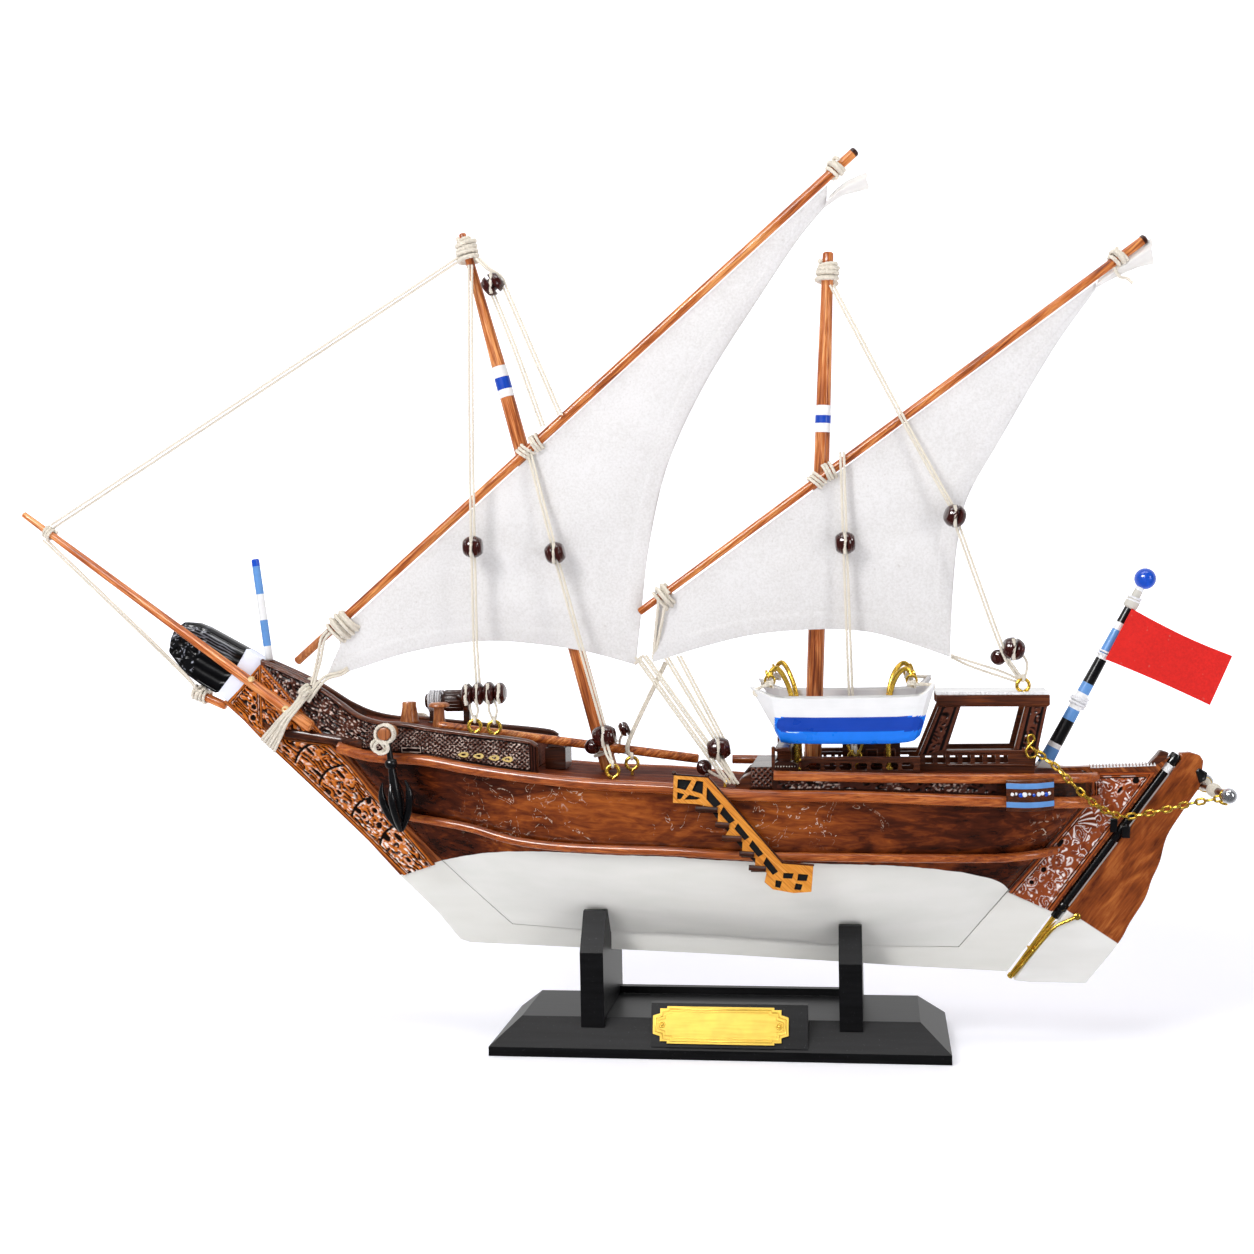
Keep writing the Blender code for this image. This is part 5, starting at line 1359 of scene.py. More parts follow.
def make_stem_head():
    """Dark carved head with its white collar, thick in the middle and rounded at its edges."""
    length, breadth, border = 40.0, 26.0, 1.1

    def head_place(u, v):
        x, z = between(line_at(HEAD_TOP, u), line_at(HEAD_FOOT, u), v)
        edge = min(min(v, 1 - v) * breadth, (1 - u) * length + 0.15)
        return x, z, 2.3 + 1.5 * math.sqrt(min(edge, 2.4) / 2.4)

    def head_carve(spot, u, v):
        at = u * length
        edge = min(min(v, 1 - v) * breadth, (1 - u) * length + 0.6)
        flute = 0.5 + 0.5 * math.cos(v * math.tau * 6.0 + 0.5)
        curl = scroll(spot.x, spot.z, 5.0, 41.0)
        curls = step_up(at + 5.0 * noise.noise(spot / 8.0), 15.0, 20.0)
        fine = step_up(0.5 + 0.5 * math.cos(v * math.tau * 19.0 + 2 * noise.noise(spot / 5.0)), 0.6, 0.95)
        height = mix(0.35 + 0.65 * flute, curl, curls)
        line = step_up(curl, 0.45, 0.6) * (1 - step_up(curl, 0.8, 0.98))
        line *= step_up(noise.noise(spot / 3.0), 0.0, 0.15)
        hatch = fine * 0.5 * step_up(v, 0.0, 0.1) * (1 - step_up(v, 0.30, 0.38))
        rub_and_glint = max(line * curls, hatch * step_up(at, 2.0, 6.0))
        # Lower tones paint shade into the flutes and cuts.
        height, tone, rub_and_glint = framed(height, 0.05 + 0.35 * height, rub_and_glint, edge, border)
        return 0.5 * height, tone * 0.5 if edge >= border else 0.3, rub_and_glint

    shape = Shape()
    shape.two_sided(head_place, head_carve, 100, 76)
    shape.make("stem_head_carved", ["head_carving"], "black_paint", ["stem_head"], angle=60)

    def collar_place(u, v):
        x, z = between(line_at(COLLAR_FORE, u), line_at(COLLAR_AFT, u), v)
        return x, z, 3.6 + 1.1 * math.sin(math.pi * min(max(v, 0.02), 0.98)) ** 0.4

    collar = Shape()
    collar.two_sided(collar_place, lambda spot, u, v: (0.0, 0.6, 0.0), 20, 12)
    collar.make("stem_collar", ["collar"], "white_paint", angle=50)


def make_forecastle():
    """Planks of the raised foredeck and what stands on it."""
    plank_deck("forecastle_planks", -170.0, -87.4, lambda x: bulwark_half(x) - WALL - 1.0,
               lambda x: smooth_up(FORECASTLE_DECK, x) + 0.35, 9)
    for name, node, (x, y), profile in (
            ("bollard_turned", "bollard_tapered", (-147.0, -3.0),
             ((0, 4.3), (0.4, 4.6), (1.0, 4.55), (7.6, 3.4), (9.6, 3.35), (10.1, 3.1), (10.2, 2.4))),
            ("mushroom_turned", "bollard_mushroom", (-131.0, -8.6),
             ((0, 3.2), (0.4, 3.3), (5.0, 2.7), (9.4, 2.45), (9.7, 4.5), (10.1, 5.0), (11.0, 4.9),
              (11.7, 4.2), (12.0, 3.0), (12.1, 1.6)))):
        foot = smooth_up(FORECASTLE_DECK, x - profile[0][1]) + 0.3
        shape = Shape()
        shape.turned((x, y, foot), (0, 0, 1), profile, 28)
        shape.make(name, ["turning"], "spar_wood", [node], angle=45)

    spar = Shape()
    spar.banded((-130.2, -14.6, 149.3), (-8.7, -3.0, 131.7), (2.1, 2.15), seed=4)
    spar.make("spare_spar_round", ["yard"], "rail_wood", ["spare_spar"])
    make_windlass()

    hatch = Shape()
    hatch.box((-79.6, -7.2, 137.8), (-71.7, 7.2, 138.4))
    for y in (-4.6, 0.0, 4.6):
        hatch.box((-79.9, y - 0.35, 138.4), (-71.4, y + 0.35, 138.8))
    hatch.make("hatch_cover", ["cut"], "dark_wood", bevel=0.15)


def make_windlass():
    """Ribbed barrel between two cheeks, with its pawl and the white line wound on its thin end."""
    windlass = Shape()
    y, middle = 8.0, 159.3
    windlass.turned((-141.6, y, middle), (1, 0, 0),
                    ((0, 3.0), (0.4, 3.4), (1.2, 3.5), (1.6, 3.0), (8.6, 3.0), (9.2, 4.7), (9.8, 5.05),
                     (17.8, 5.05), (18.4, 4.7), (18.8, 3.6)), 30)
    for t in angles(18):
        low = Vector((-131.6, y + 4.9 * math.cos(t), middle + 4.9 * math.sin(t)))
        windlass.tube([low, low + Vector((8.2, 0, 0))], 0.42, 6)
    for at, top in ((-138.25, middle - 1.0), (-121.45, middle + 1.5)):
        foot = smooth_up(FORECASTLE_DECK, at) + 0.3
        windlass.box((at - 1.5, y - 1.7, foot), (at + 1.5, y + 1.7, top))
        windlass.box((at - 1.9, y - 3.6, foot), (at + 1.9, y + 3.6, foot + 1.2))
    pawl = curve_points([(-124.6, y - 4.2, middle + 2.6), (-121.9, y - 4.8, middle + 0.4),
                         (-120.6, y - 4.4, middle - 4.6)], 5)
    windlass.tube(pawl, (1.9, 1.9, 1.8, 1.7, 1.6, 1.5, 1.5, 1.5, 1.5, 1.4, 1.1), 10)
    windlass.make("windlass_turned", ["dark"], "dark_wood", ["windlass"], bevel=0.2)
    line = Shape()
    for radius, turns, seed in ((3.7, 6.4, 5), (4.7, 5.6, 6)):
        line.coil((-136.8, y, middle), (1, 0, 0), radius, turns, 1.2, CORD * 0.8, seed=seed)
    line.make("windlass_line", ["white_cord"], "rope")


def make_bow_gear():
    """Catheads, each with its anchor and the lines that hold it."""
    tip = 34.0  # how far the catheads reach from the middle plane
    for suffix, side in SIDES:
        root = bulwark_half(-147.9) + smooth_up(BULWARK_FLARE, -151) + 0.5
        long = tip - root
        cathead = Shape()
        cathead.turned((-151.0, side * root, 147.0), (0, side, 0),
                       ((0, 2.9), (0.4, 3.1), (long - 0.9, 3.05), (long - 0.25, 2.75), (long, 2.1)), 26)
        cathead.make("cathead_round_" + suffix, ["turning"], "rail_wood", ["cathead_" + suffix])
        ropes = Shape()
        ropes.coil((-151.0, side * 31.2, 147.0), (0.02, 1, 0.03), 4.0, 3.2, 1.5, 0.8, seed=7 + side)
        for (x, y, z), radius, squeeze in (
                ((-153.6, 32.2, 141.6), 3.7, 0.8), ((-152.2, 33.4, 140.9), 3.3, 0.9)):
            loop = [(x + radius * math.cos(t), y + 0.5 * math.sin(3 * t), z + radius * squeeze * math.sin(t))
                    for t in angles(20) + [math.tau]]
            ropes.rope(mirrored(loop, side), 0.8)
        hitch = ((-152.6, 33.4, 143.6), (-150.8, 31.8, 140.4), (-150.2, 29.2, 141.6))
        ropes.rope(curve_points(mirrored(hitch, side), 4), 0.75)
        ropes.make("anchor_line_" + suffix, ["cord"], "rope")
        make_anchor(suffix, side)


def make_anchor(suffix, side):
    """Grapnel: a shank served with black cord, a collar and four curved arms."""
    top, foot = Vector((-150.5, side * 29.0, 144.2)), Vector((-146.0, side * 26.5, 103.0))
    up = (top - foot).normalized()
    across = up.orthogonal().normalized()
    length = (top - foot).length
    shape = Shape()
    shank = [(0, 0.5), (1.2, 1.1), (6, 2.2)]
    shank += [(length * share, radius) for share, radius in
              ((0.34, 3.0), (0.56, 2.3), (0.70, 1.7), (0.72, 2.6), (0.75, 3.0), (0.79, 2.7), (0.81, 1.5))]
    shape.turned(foot - up * 1.2, up, shank + [(length - 1.5, 1.3), (length, 0.8)], 22)
    shape.ring(top - up * 0.2, (1, 0, 0), 1.7, 0.55, rows=20, sides=8)
    for k in range(4):
        turn = math.tau * (k + 0.5) / 4
        out = across * math.cos(turn) + up.cross(across) * math.sin(turn)
        bend = ((0.3, -1.6), (1.8, 1.2), (4.4, 6.0), (6.2, 11.6), (6.6, 17.0), (5.6, 21.6))
        points = curve_points([foot + out * a + up * b for a, b in bend], 6)
        radii = [look_up(((0.0, 1.0), (0.3, 1.7), (0.7, 1.9), (1.0, 0.4)), i / (len(points) - 1))
                 for i in range(len(points))]
        shape.tube(points, radii, 12)
    shape.make("anchor_cast_" + suffix, ["gloss_black"], "black_paint", ["anchor_" + suffix], angle=50)


def make_poop():
    """Planks of the poop, carved fields on its sides, the canopy's roof and the cabin's window frames."""
    plank_deck("poop_planks", 28.0, 165.0, lambda x: sheer_half(x) - 1.0,
               lambda x: look_up(POOP_TOP, x) + 0.02, 10, 0.22)

    # In these carved fields the tone follows the height, which paints shade into the cuts.
    def step_carve(spot, u, v):
        height = lattice(spot.x, spot.z, 2.6)
        rub_and_glint = 0.25 * height * speckle(spot.x, spot.z, 0.9, 2.0, 0.1, 0.4)
        return 0.1 + 0.6 * height, 0.1 + 0.6 * height, rub_and_glint

    def strip_carve(spot, u, v):
        height = scroll(spot.x, spot.z * 1.3, 5.0, 51.0)
        rub_and_glint = speckle(spot.x, spot.z, 1.1, 53.0, 0.1, 0.35) * height
        rub_and_glint = rub_and_glint * 0.8 * step_up(noise.noise(spot / 12.0), -0.1, 0.2)
        return 0.1 + 0.5 * height, 0.05 + 0.45 * height, rub_and_glint

    for suffix, side in SIDES:
        def step_place(u, v):
            return Vector((mix(17.2, 26.4, u), side * 25.1, mix(121.4, 130.0, v))), Vector((0, side, 0))

        def poop_place(u, v):
            x = mix(29.0, 126.0, u)
            low, top = smooth_up(SHEER, x) + 1.4, look_up(POOP_TOP, x) - 2.6
            return Vector((x, side * (sheer_half(x) + 0.05), mix(low, top, v))), Vector((0, side, 0))

        for name, place, carve, columns, rows in (
                ("step_carving_", step_place, step_carve, 30, 28),
                ("poop_strip_", poop_place, strip_carve, 200, 12)):
            field = Shape()
            field.panel(place, carve, columns, rows, 0.05)
            field.make(name + suffix, ["dark_carving"], "dark_wood", angle=60)
        make_canopy_trim(suffix, side)
        make_badge(suffix, side)
        make_poop_fence(suffix, side)

    make_canopy_roof()

    cabin = Shape()
    x0, x1, half, top = 58.0, 84.0, 10.8, 139.8
    for side in (-1, 1):
        for k in range(3):
            a = x0 + 2.4 + k * 8.0
            ring = [(a, 130.6), (a + 5.6, 130.6), (a + 5.6, 136.6), (a, 136.6)]
            hole = [(a + 0.9, 131.5), (a + 0.9, 135.7), (a + 4.7, 135.7), (a + 4.7, 131.5)]
            cabin.cheek([ring, hole], side, half - 0.1, half + 0.7)
    cabin.box((x0 - 0.8, -half - 0.8, top), (x1 + 0.8, half + 0.8, top + 0.9))
    cabin.make("cabin_trim", ["cut"], "dark_wood", bevel=0.2)


def make_canopy_roof():
    """White roof with scalloped sides and a slight camber, on three beams."""
    beams = Shape()
    for x in (104.0, 125.0, 146.0):
        beams.box((x - 1.1, -13.0, 158.6), (x + 1.1, 13.0, 160.9))
    beams.make("canopy_beams", ["dark"], "dark_wood", bevel=0.2)

    roof = Shape()
    fore, aft, half, low, high = 100.2, 150.2, 15.4, 161.3, 162.5
    steps, depth = 104, 0.55
    outline = []
    for side in (-1, 1):
        edge = []
        for i in range(steps + 1):
            bitten = i % 4 in (1, 2) and 3 < i < steps - 3 and (i // 4) % 5 != 3
            edge.append((mix(fore, aft, i / steps), side * (half - (depth if bitten else 0.0))))
        outline += edge if side < 0 else edge[::-1]
    roof.plate([outline], low, high, "z")
    for index, (x, y, z) in enumerate(roof.verts):
        camber = 0.5 * (1 - (y / half) ** 2)
        slope = -0.5 * (x - fore) / 50
        roof.verts[index] = (x, y, z + slope + (camber if z > (low + high) / 2 else 0.0))
    roof.make("canopy_roof_panel", ["white"], "white_paint", ["canopy_roof"], angle=30)


def make_poop_fence(suffix, side):
    """Low pierced fence below the boat, with the step's ramp and the edge of the poop's front wall."""
    fence = Shape()
    hole = ((0.0, 128.9), (0.7, 128.2), (4.6, 128.2), (5.3, 128.9), (5.3, 130.7), (4.6, 131.4), (0.7, 131.4),
            (0.0, 130.7))
    holes = [[(43.0 + 6.9 * k + x, z) for x, z in hole] for k in range(7)]
    fence.cheek([[(39.6, 127.4), (92.4, 127.0), (92.4, 133.3), (39.6, 133.4)]] + holes, side, 20.2, 21.3)
    fence.sweep([(39.4, side * 20.8, 133.6), (92.6, side * 20.8, 133.4)],
                ((-1.0, -0.6), (1.0, -0.6), (1.1, 0.2), (0.6, 0.7), (-0.6, 0.7), (-1.1, 0.2)))
    fence.make("poop_fence_" + suffix, ["cut"], "dark_wood", bevel=0.2)

    ramp = Shape()
    ramp.cheek([[(9.4, 120.4), (17.4, 120.4), (17.4, 127.6), (13.2, 125.6), (10.4, 122.4)]], side, 14.0, 25.0)
    low, high = sorted((side * 23.0, side * 26.0))
    ramp.box((26.5, low, 121.0), (28.1, high, 139.4))
    ramp.make("step_ramp_" + suffix, ["cut"], "dark_wood", bevel=0.35)

    foot, dots = Shape(), Shape()
    foot.cheek([[(27.0, 128.2), (38.6, 128.0), (38.4, 131.2), (36.2, 132.4), (29.0, 132.6), (27.2, 131.4)]],
               side, 19.4, 25.4)
    foot.make("gallows_foot_" + suffix, ["dark"], "dark_wood", bevel=0.3)
    dot = ((0, 0.34), (0.25, 0.3), (0.35, 0.1))
    for k in range(8):
        dots.turned((28.2 + 1.25 * k, side * 25.35, 130.4), (0, side, 0), dot, 8)
    dots.make("gallows_dots_" + suffix, ["cord_bead"], "white_paint", angle=50)


def make_canopy_trim(suffix, side):
    """Fascia, fence rails and post mouldings on a side of the canopy."""
    y0 = 14.0
    shape = Shape()
    for ends, tall, proud in (
            (((100.3, 158.9), (150.1, 158.4)), 4.6, 1.5), (((100.9, 156.3), (149.6, 155.9)), 0.9, 1.0),
            (((39.8, 132.4), (92.0, 132.4)), 1.5, 1.2), (((104.4, 135.6), (142.6, 135.4)), 1.3, 1.0),
            (((104.4, 129.6), (142.6, 129.2)), 0.9, 0.8)):
        low, high = sorted((side * (y0 + 0.05), side * (y0 + proud)))
        shape.loft([[(x, low, z - tall / 2), (x, high, z - tall / 2), (x, high, z + tall / 2),
                     (x, low, z + tall / 2)] for x, z in ends])
    shape.make("canopy_trim_" + suffix, ["cut"], "dark_wood", bevel=0.35)

    post = Shape()

    # The tone follows the height, which paints shade into the cuts.
    def carve(spot, u, v):
        height = scroll(spot.x, spot.z, 4.4, 61.0)
        edge = min(v, 1 - v) * 7.0
        height, tone, rub_and_glint = framed(height, 0.1 + 0.6 * height, 0.0, edge, 0.9)
        return 0.05 + 0.45 * height, tone, rub_and_glint

    for fore, aft in ((((92.6, 134.0), (101.9, 155.6)), ((103.9, 136.6), (110.4, 155.6))),
                      (((135.4, 136.8), (140.2, 155.2)), ((143.4, 132.0), (148.6, 155.2)))):
        post.panel(strip_place(fore, aft, side, y0 + 0.05), carve, 56, 22, 0.03)
    post.make("canopy_posts_" + suffix, ["dark_carving"], "dark_wood", angle=60)


def make_badge(suffix, side):
    """Half barrel on the quarter with two painted hoops and a row of painted dots."""
    (x0, x1), bulge, rail = (129.6, 150.6), 4.2, 6.1
    low, top = 110.4, 124.2
    inner = [hull_half(x, smooth_up(SHEER, x)) + rail for x in (x0, x1)]

    def outside(share, extra=0.0):
        y = mix(inner[0], inner[1], share) + 0.8 + bulge * math.sin(math.pi * share) + extra
        return mix(x0, x1, share), y

    shape = Shape()
    hoop, steps = 0.35, 24  # thickness of a hoop, and faces round the barrel
    rings, looks = [], []
    levels = (  # share of the height, and how far each ring there stands out
        (0.0, (-0.3,)), (0.02, (0.0,)), (0.12, (0.0, hoop)), (0.30, (hoop, 0.0)), (0.42, (0.0,)),
        (0.62, (0.0,)), (0.72, (0.0, hoop)), (0.90, (hoop, 0.0)), (0.98, (0.0,)), (1.0, (-0.3,)))
    for level, lifts in levels:
        for index, lift in enumerate(lifts):
            z = mix(low, top, level)
            ring = [(x, side * y, z) for x, y in (outside(k / steps, lift) for k in range(steps + 1))]
            ring += [(x1, side * (inner[1] + 0.1), z), (x0, side * (inner[0] + 0.1), z)]
            rings.append(ring)
            looks.append(1 if index and lift else 0)
    shape.loft(rings, looks[:-1])
    shape.make("badge_barrel_" + suffix, ["cut", "light_blue"], "dark_wood", ["quarter_badge_" + suffix],
               angle=35, bevel=0.12)

    dots = Shape()
    for k, (share, size) in enumerate(((0.12, 0.8), (0.20, 0.6), (0.29, 1.0), (0.37, 1.1), (0.47, 0.6),
                                       (0.56, 0.7), (0.66, 1.0), (0.74, 0.9), (0.82, 1.0), (0.89, 0.8))):
        x, y = outside(share)
        z = 117.9 + 0.3 * math.sin(k * 2.1)
        dots.turned((x, side * (y - 0.2), z), (0, side, 0),
                    ((0, size), (0.45, size), (0.7, size * 0.7), (0.8, size * 0.3)), 12, k % 3 == 2)
    dots.make("badge_dots_" + suffix, ["white", "ball_blue"], "white_paint", angle=50)


STOCK_FOOT, STOCK_HEAD = Vector((152.0, 0, 58.3)), Vector((205.0, 0, 129.5))
STOCK_WAY = (STOCK_HEAD - STOCK_FOOT).normalized()


def stock_at(distance, off=0.0, y=0.0):
    """Place at a distance along the rudder's axis, moved aft square to it."""
    aft = Vector((STOCK_WAY.z, 0, -STOCK_WAY.x))
    return STOCK_FOOT + STOCK_WAY * distance + aft * off + Vector((0, y, 0))


def make_rudder():
    """Blade, painted stock, straps, and the brass fork under the stock."""
    aft = ((212.6, 131.9), (217.8, 130.1), (216.4, 117.9), (208.4, 106.2), (201.8, 95.4), (198.6, 84),
           (195, 75.9), (191.9, 67.2), (185.2, 56.3), (179.8, 46.6), (165.5, 28.7), (140.6, 28.8))
    smooth = curve_points([(x, 0, z) for x, z in aft[2:11]], 4)
    foot, top = stock_at(-34.1, 2.35), stock_at(91.4, 2.35)
    outline = [(top.x, top.z), (207.6, 133.0), (212.2, 133.4), (216.6, 132.0), (218.0, 129.4)]
    outline += [(p.x, p.z) for p in smooth] + [(140.8, 28.8), (foot.x, foot.z)]
    shape = Shape()
    shape.plate([outline], -2.5, 2.5)
    shape.make("rudder_wood", ["rudder"], "carved_wood", ["rudder_blade"], RUDDER, bevel=0.7)

    stock = Shape()
    stock.banded(stock_at(-0.2), stock_at(91.0), (2.0, 2.0), ((83.0, 86.9, 1),), seed=3, proud=0.25)
    for low, high in ((43.9, 54.0), (4.0, 8.5)):
        stock.banded(stock_at(low), stock_at(high), (2.45, 2.45), seed=5)
    stock.turned(stock_at(87.2), STOCK_WAY, ((0, 2.3), (0.3, 2.65), (4.4, 2.65), (5.0, 2.3), (5.1, 1.2)), 22)
    stock.make("rudder_stock_painted", ["gloss_black", "white"], "black_paint", ["rudder_stock"], RUDDER)

    for name, corners, body in (
            ("rudder_straps", ((182.2, 100.4), (185.8, 100.0), (185.6, 94.8), (182.0, 95.0)), RUDDER),
            ("sternpost_straps", ((177.0, 104.0), (180.2, 103.9), (179.6, 97.8), (176.6, 97.6)), BODY)):
        straps = Shape()
        face = 2.52 if body == RUDDER else 4.2
        for side in (-1, 1):
            straps.cheek([corners], side, face - 0.1, face + 0.8)
        straps.make(name, ["gloss_black"], "black_paint", body=body, bevel=0.3)

    fork = Shape()
    fork.tube([stock_at(2.0), stock_at(-6.0), stock_at(-20.0), stock_at(-34.0)], [1.2, 1.05, 0.9, 0.65], 12)
    for side in (-1, 1):
        path = curve_points([(162.0, side * 3.2, 59.2), (158.2, side * 3.3, 57.4),
                             stock_at(-3.0, 2.6, side * 3.0), stock_at(-12.0, 1.9, side * 2.2),
                             stock_at(-33.0, 1.2, side * 1.0)], 6)
        fork.tube(path, [mix(0.85, 0.6, i / (len(path) - 1)) for i in range(len(path))], 10)
        fork.turned((162.0, side * 2.4, 59.2), (0, side, 0),
                    ((0, 1.6), (1.2, 1.6), (1.6, 1.1), (1.7, 0.4)), 14)
    fork.ring(stock_at(-18.0, 0.6), STOCK_WAY, 2.0, 0.45, rows=22, sides=8)
    fork.turned(stock_at(-34.8, 0.3), STOCK_WAY, ((0, 0.5), (0.5, 1.3), (2.2, 1.4), (2.8, 0.6)), 14)
    fork.make("rudder_fork", ["gold"], "brass", body=RUDDER)

    tab = Shape()
    tab.plate([[(193.6, 127.4), (199.6, 134.4), (203.2, 133.2), (200.4, 127.2)]], -2.8, 2.8)
    tab.make("sternpost_tab", ["cut"], "dark_wood", bevel=0.5)
    lug = Shape()
    lug.plate([[(214.4, 125.0), (216.0, 126.4), (219.6, 124.2), (219.0, 121.0), (216.0, 119.4)]], -3.1, 3.1)
    lug.make("rudder_lug", ["gloss_black"], "black_paint", body=RUDDER, bevel=0.5)
    make_yoke()


CHAIN_ROUTE = ((143.0, 15.1, 136.4), (148.6, 17.0, 131.6), (153.0, 19.6, 128.0), (158.0, 21.6, 122.4),
               (165.3, 19.6, 115.0), (174.0, 14.0, 108.6), (184.0, 7.8, 105.4), (198.0, 12.0, 108.6),
               (211.0, 18.0, 112.8), (222.4, 23.2, 115.6))
CHAIN_PITCH, LINK_LENGTH, LINK_WIDTH, LINK_WIRE = 3.9, 5.1, 3.4, 0.55
CHAIN_HOOK = ((141.6, 14.9, 137.2), (140.4, 14.9, 139.4), (140.6, 14.9, 142.4), (142.6, 14.9, 142.6),
              (142.9, 14.9, 140.4), (140.9, 14.9, 138.2), (139.4, 14.9, 135.6), (140.6, 14.9, 132.9),
              (143.4, 14.9, 133.2), (144.0, 14.9, 135.0))


def ball(radius, steps, thin=0.0, tall=None):
    """Profile of a turned ball: its radius along the axis, its least radius and its swell."""
    return [(radius - radius * math.cos(t), max(thin + (tall or radius) * math.sin(t), 0.05))
            for t in half_turn(steps)]


def make_yoke():
    """Bar across the rudder's head with its beads, steel balls and rings, and the two steering chains."""
    root = Vector((217.9, 0.0, 118.0))
    shape, balls, beads, hooks = Shape(), Shape(), Shape(), Shape()
    for side in (-1, 1):
        tip = Vector((224.1, side * 26.0, 116.8))
        start = root + Vector((0, -0.4 * side, 0))
        way = (tip - start).normalized()
        reach = (tip - start).length
        shape.turned(start, way, ((0, 1.1), (8.0, 1.1), (15.0, 1.2), (16.0, 1.7), (reach - 6.0, 1.75),
                                  (reach - 4.6, 1.35), (reach - 3.0, 1.2)), 16)
        beads.turned(start + way * 8.4, way, ball(3.8, 12, 0.9, 2.3), 20)
        balls.turned(tip - way * 3.4, way, ball(3.4, 16), 26)
        hooks.ring(tip - way * 3.6 + Vector((0, 0, -0.4)), way, 2.5, 0.45, rows=22, sides=8)
        hooks.ring(tip - way * 3.8 + Vector((-0.8, 0, -4.0)), (0.3, 0.2, 0.9), 1.5, 0.4, rows=18, sides=8)
    shape.make("yoke_bar", ["cut"], "dark_wood", ["rudder_yoke"], RUDDER)
    beads.make("yoke_beads", ["cord_bead"], "rope", body=RUDDER)
    balls.make("yoke_balls", ["steel"], "brass", body=RUDDER)
    hooks.make("yoke_rings", ["gold"], "brass", body=RUDDER)

    for suffix, side in SIDES:
        chain = Shape()
        path = even_steps(curve_points(mirrored(CHAIN_ROUTE, side), 10), 0.5)
        run, count = 0.0, 0
        for a, b in zip(path, path[1:]):
            run += (b - a).length
            if run >= CHAIN_PITCH * count:
                add_link(chain, b, (b - a).normalized(), count % 2)
                count += 1
        item = chain.make("steering_links_" + suffix, ["gold"], "brass", ["steering_chain_" + suffix],
                          body=None)
        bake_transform(item)

    hook = Shape()
    for _, side in SIDES:
        hook.tube(curve_points(mirrored(CHAIN_HOOK, side), 6), LINK_WIRE, 10)
    hook.make("chain_hooks", ["gold"], "brass")


def add_link(shape, centre, along, turned_over):
    """Oval chain link round a point of the chain's line."""
    side = along.cross(Vector((0, 0, 1)))
    side = side.normalized() if side.length > 0.1 else Vector((0, 1, 0))
    flat = along.cross(side).normalized() if turned_over else side
    points = []
    half, bend = (LINK_LENGTH - LINK_WIDTH) / 2, LINK_WIDTH / 2 - LINK_WIRE
    for k in range(16):
        t = math.tau * (k + 0.5) / 16
        shift = half if math.cos(t) > 0 else -half
        points.append(centre + along * (shift + bend * math.cos(t)) + flat * bend * math.sin(t))
    wire_loop(shape, points, along.cross(flat), LINK_WIRE, 7)


def wire_loop(shape, points, normal, wire, sides):
    """Closed wire along points that lie flat across a normal."""
    rings = []
    for i, point in enumerate(points):
        way = (points[(i + 1) % len(points)] - points[i - 1]).normalized()
        rings.append(circle(point, way.cross(normal), normal, wire, sides))
    shape.loft(rings, closed=True)


BOAT_Y, BOAT_HALF, BOAT_MIDDLE = 29.0, 8.0, 58.5
BOAT_STATIONS = (  # x at keel, x at gunwale, half breadth, keel z, gunwale z
    (28.6, 17.6, 0.16, 147.0, 167.0), (29.6, 20.6, 0.34, 144.6, 165.2), (31.2, 27.4, 0.80, 141.9, 162.3),
    (36.0, 31.6, 0.90, 141.3, 161.8), (48.0, 46.0, 1.0, 141.0, 161.6), (66.0, 66.0, 1.0, 140.9, 161.6),
    (80.0, 84.0, 0.97, 141.0, 161.7), (87.0, 93.0, 0.88, 141.5, 162.3), (90.0, 96.4, 0.76, 142.3, 164.4),
    (92.5, 99.6, 0.42, 144.5, 167.8))
BOAT_SECTION = ((0.0, 0.34), (0.06, 0.62), (0.14, 0.78), (0.3, 0.89), (0.6, 0.96), (1.0, 1.0))


def make_lifeboats():
    """Both boats with the hooks that carry them."""
    for suffix, side in SIDES:
        make_lifeboat(suffix, side)
        make_davits(suffix, side)


def boat_sections(steps):
    """Stations of the boat, blended between the table's rows."""
    made = []
    last = len(BOAT_STATIONS) - 1
    for i in range(steps + 1):
        at = i / steps * last
        index = min(int(at), last - 1)
        made.append(between(BOAT_STATIONS[index], BOAT_STATIONS[index + 1], at - index))
    return made


def make_lifeboat(suffix, side):
    """Open boat painted white over blue, with a darker sunk panel along each side."""
    levels = 32
    wall = 1.1  # thickness of the planking
    rings = []
    for keel_x, top_x, share, low, top in boat_sections(108):
        outer, inner = [], []
        for j in range(levels + 1):
            t = j / levels
            x, z = mix(keel_x, top_x, t), mix(low, top, t)
            half = BOAT_HALF * share * smooth_up(BOAT_SECTION, t)
            outer.append((x, max(half - 0.45 * panel_depth(x, z), 0.2), z))
        for j in range(levels, -1, -1):
            t = 0.16 + 0.84 * j / levels
            x, z = mix(keel_x, top_x, t), mix(low, top, t)
            half = max(BOAT_HALF * share * smooth_up(BOAT_SECTION, t) - wall, 0.06)
            inner.append((mix(x, BOAT_MIDDLE, 0.035), half, z + 0.02))
        rings.append(outer + inner)
    count = 2 * (levels + 1)
    faces, looks = [], []
    for i in range(len(rings) - 1):
        for j in range(count - 1):
            a, b = i * count + j, (i + 1) * count + j
            faces.append((a, a + 1, b + 1, b))
            looks.append(boat_paint(*rings[i][j]) if j < levels else 0)
    shape = Shape()
    for mirror in (-1, 1):
        shape.add([(x, side * BOAT_Y + mirror * y, z) for ring in rings for x, y, z in ring], faces, looks)
    close_boat(shape, len(rings), count)
    shape.make("lifeboat_shell_" + suffix, ["white", "blue", "mid_blue"], "white_paint",
               ["lifeboat_" + suffix], angle=32)

    seats = Shape()
    for x in (36.0, 52.0, 68.0, 84.0):
        seats.box((x - 1.8, side * BOAT_Y - 6.6, 156.4), (x + 1.8, side * BOAT_Y + 6.6, 157.3))
    seats.make("lifeboat_seats_" + suffix, ["white"], "white_paint", bevel=0.2)


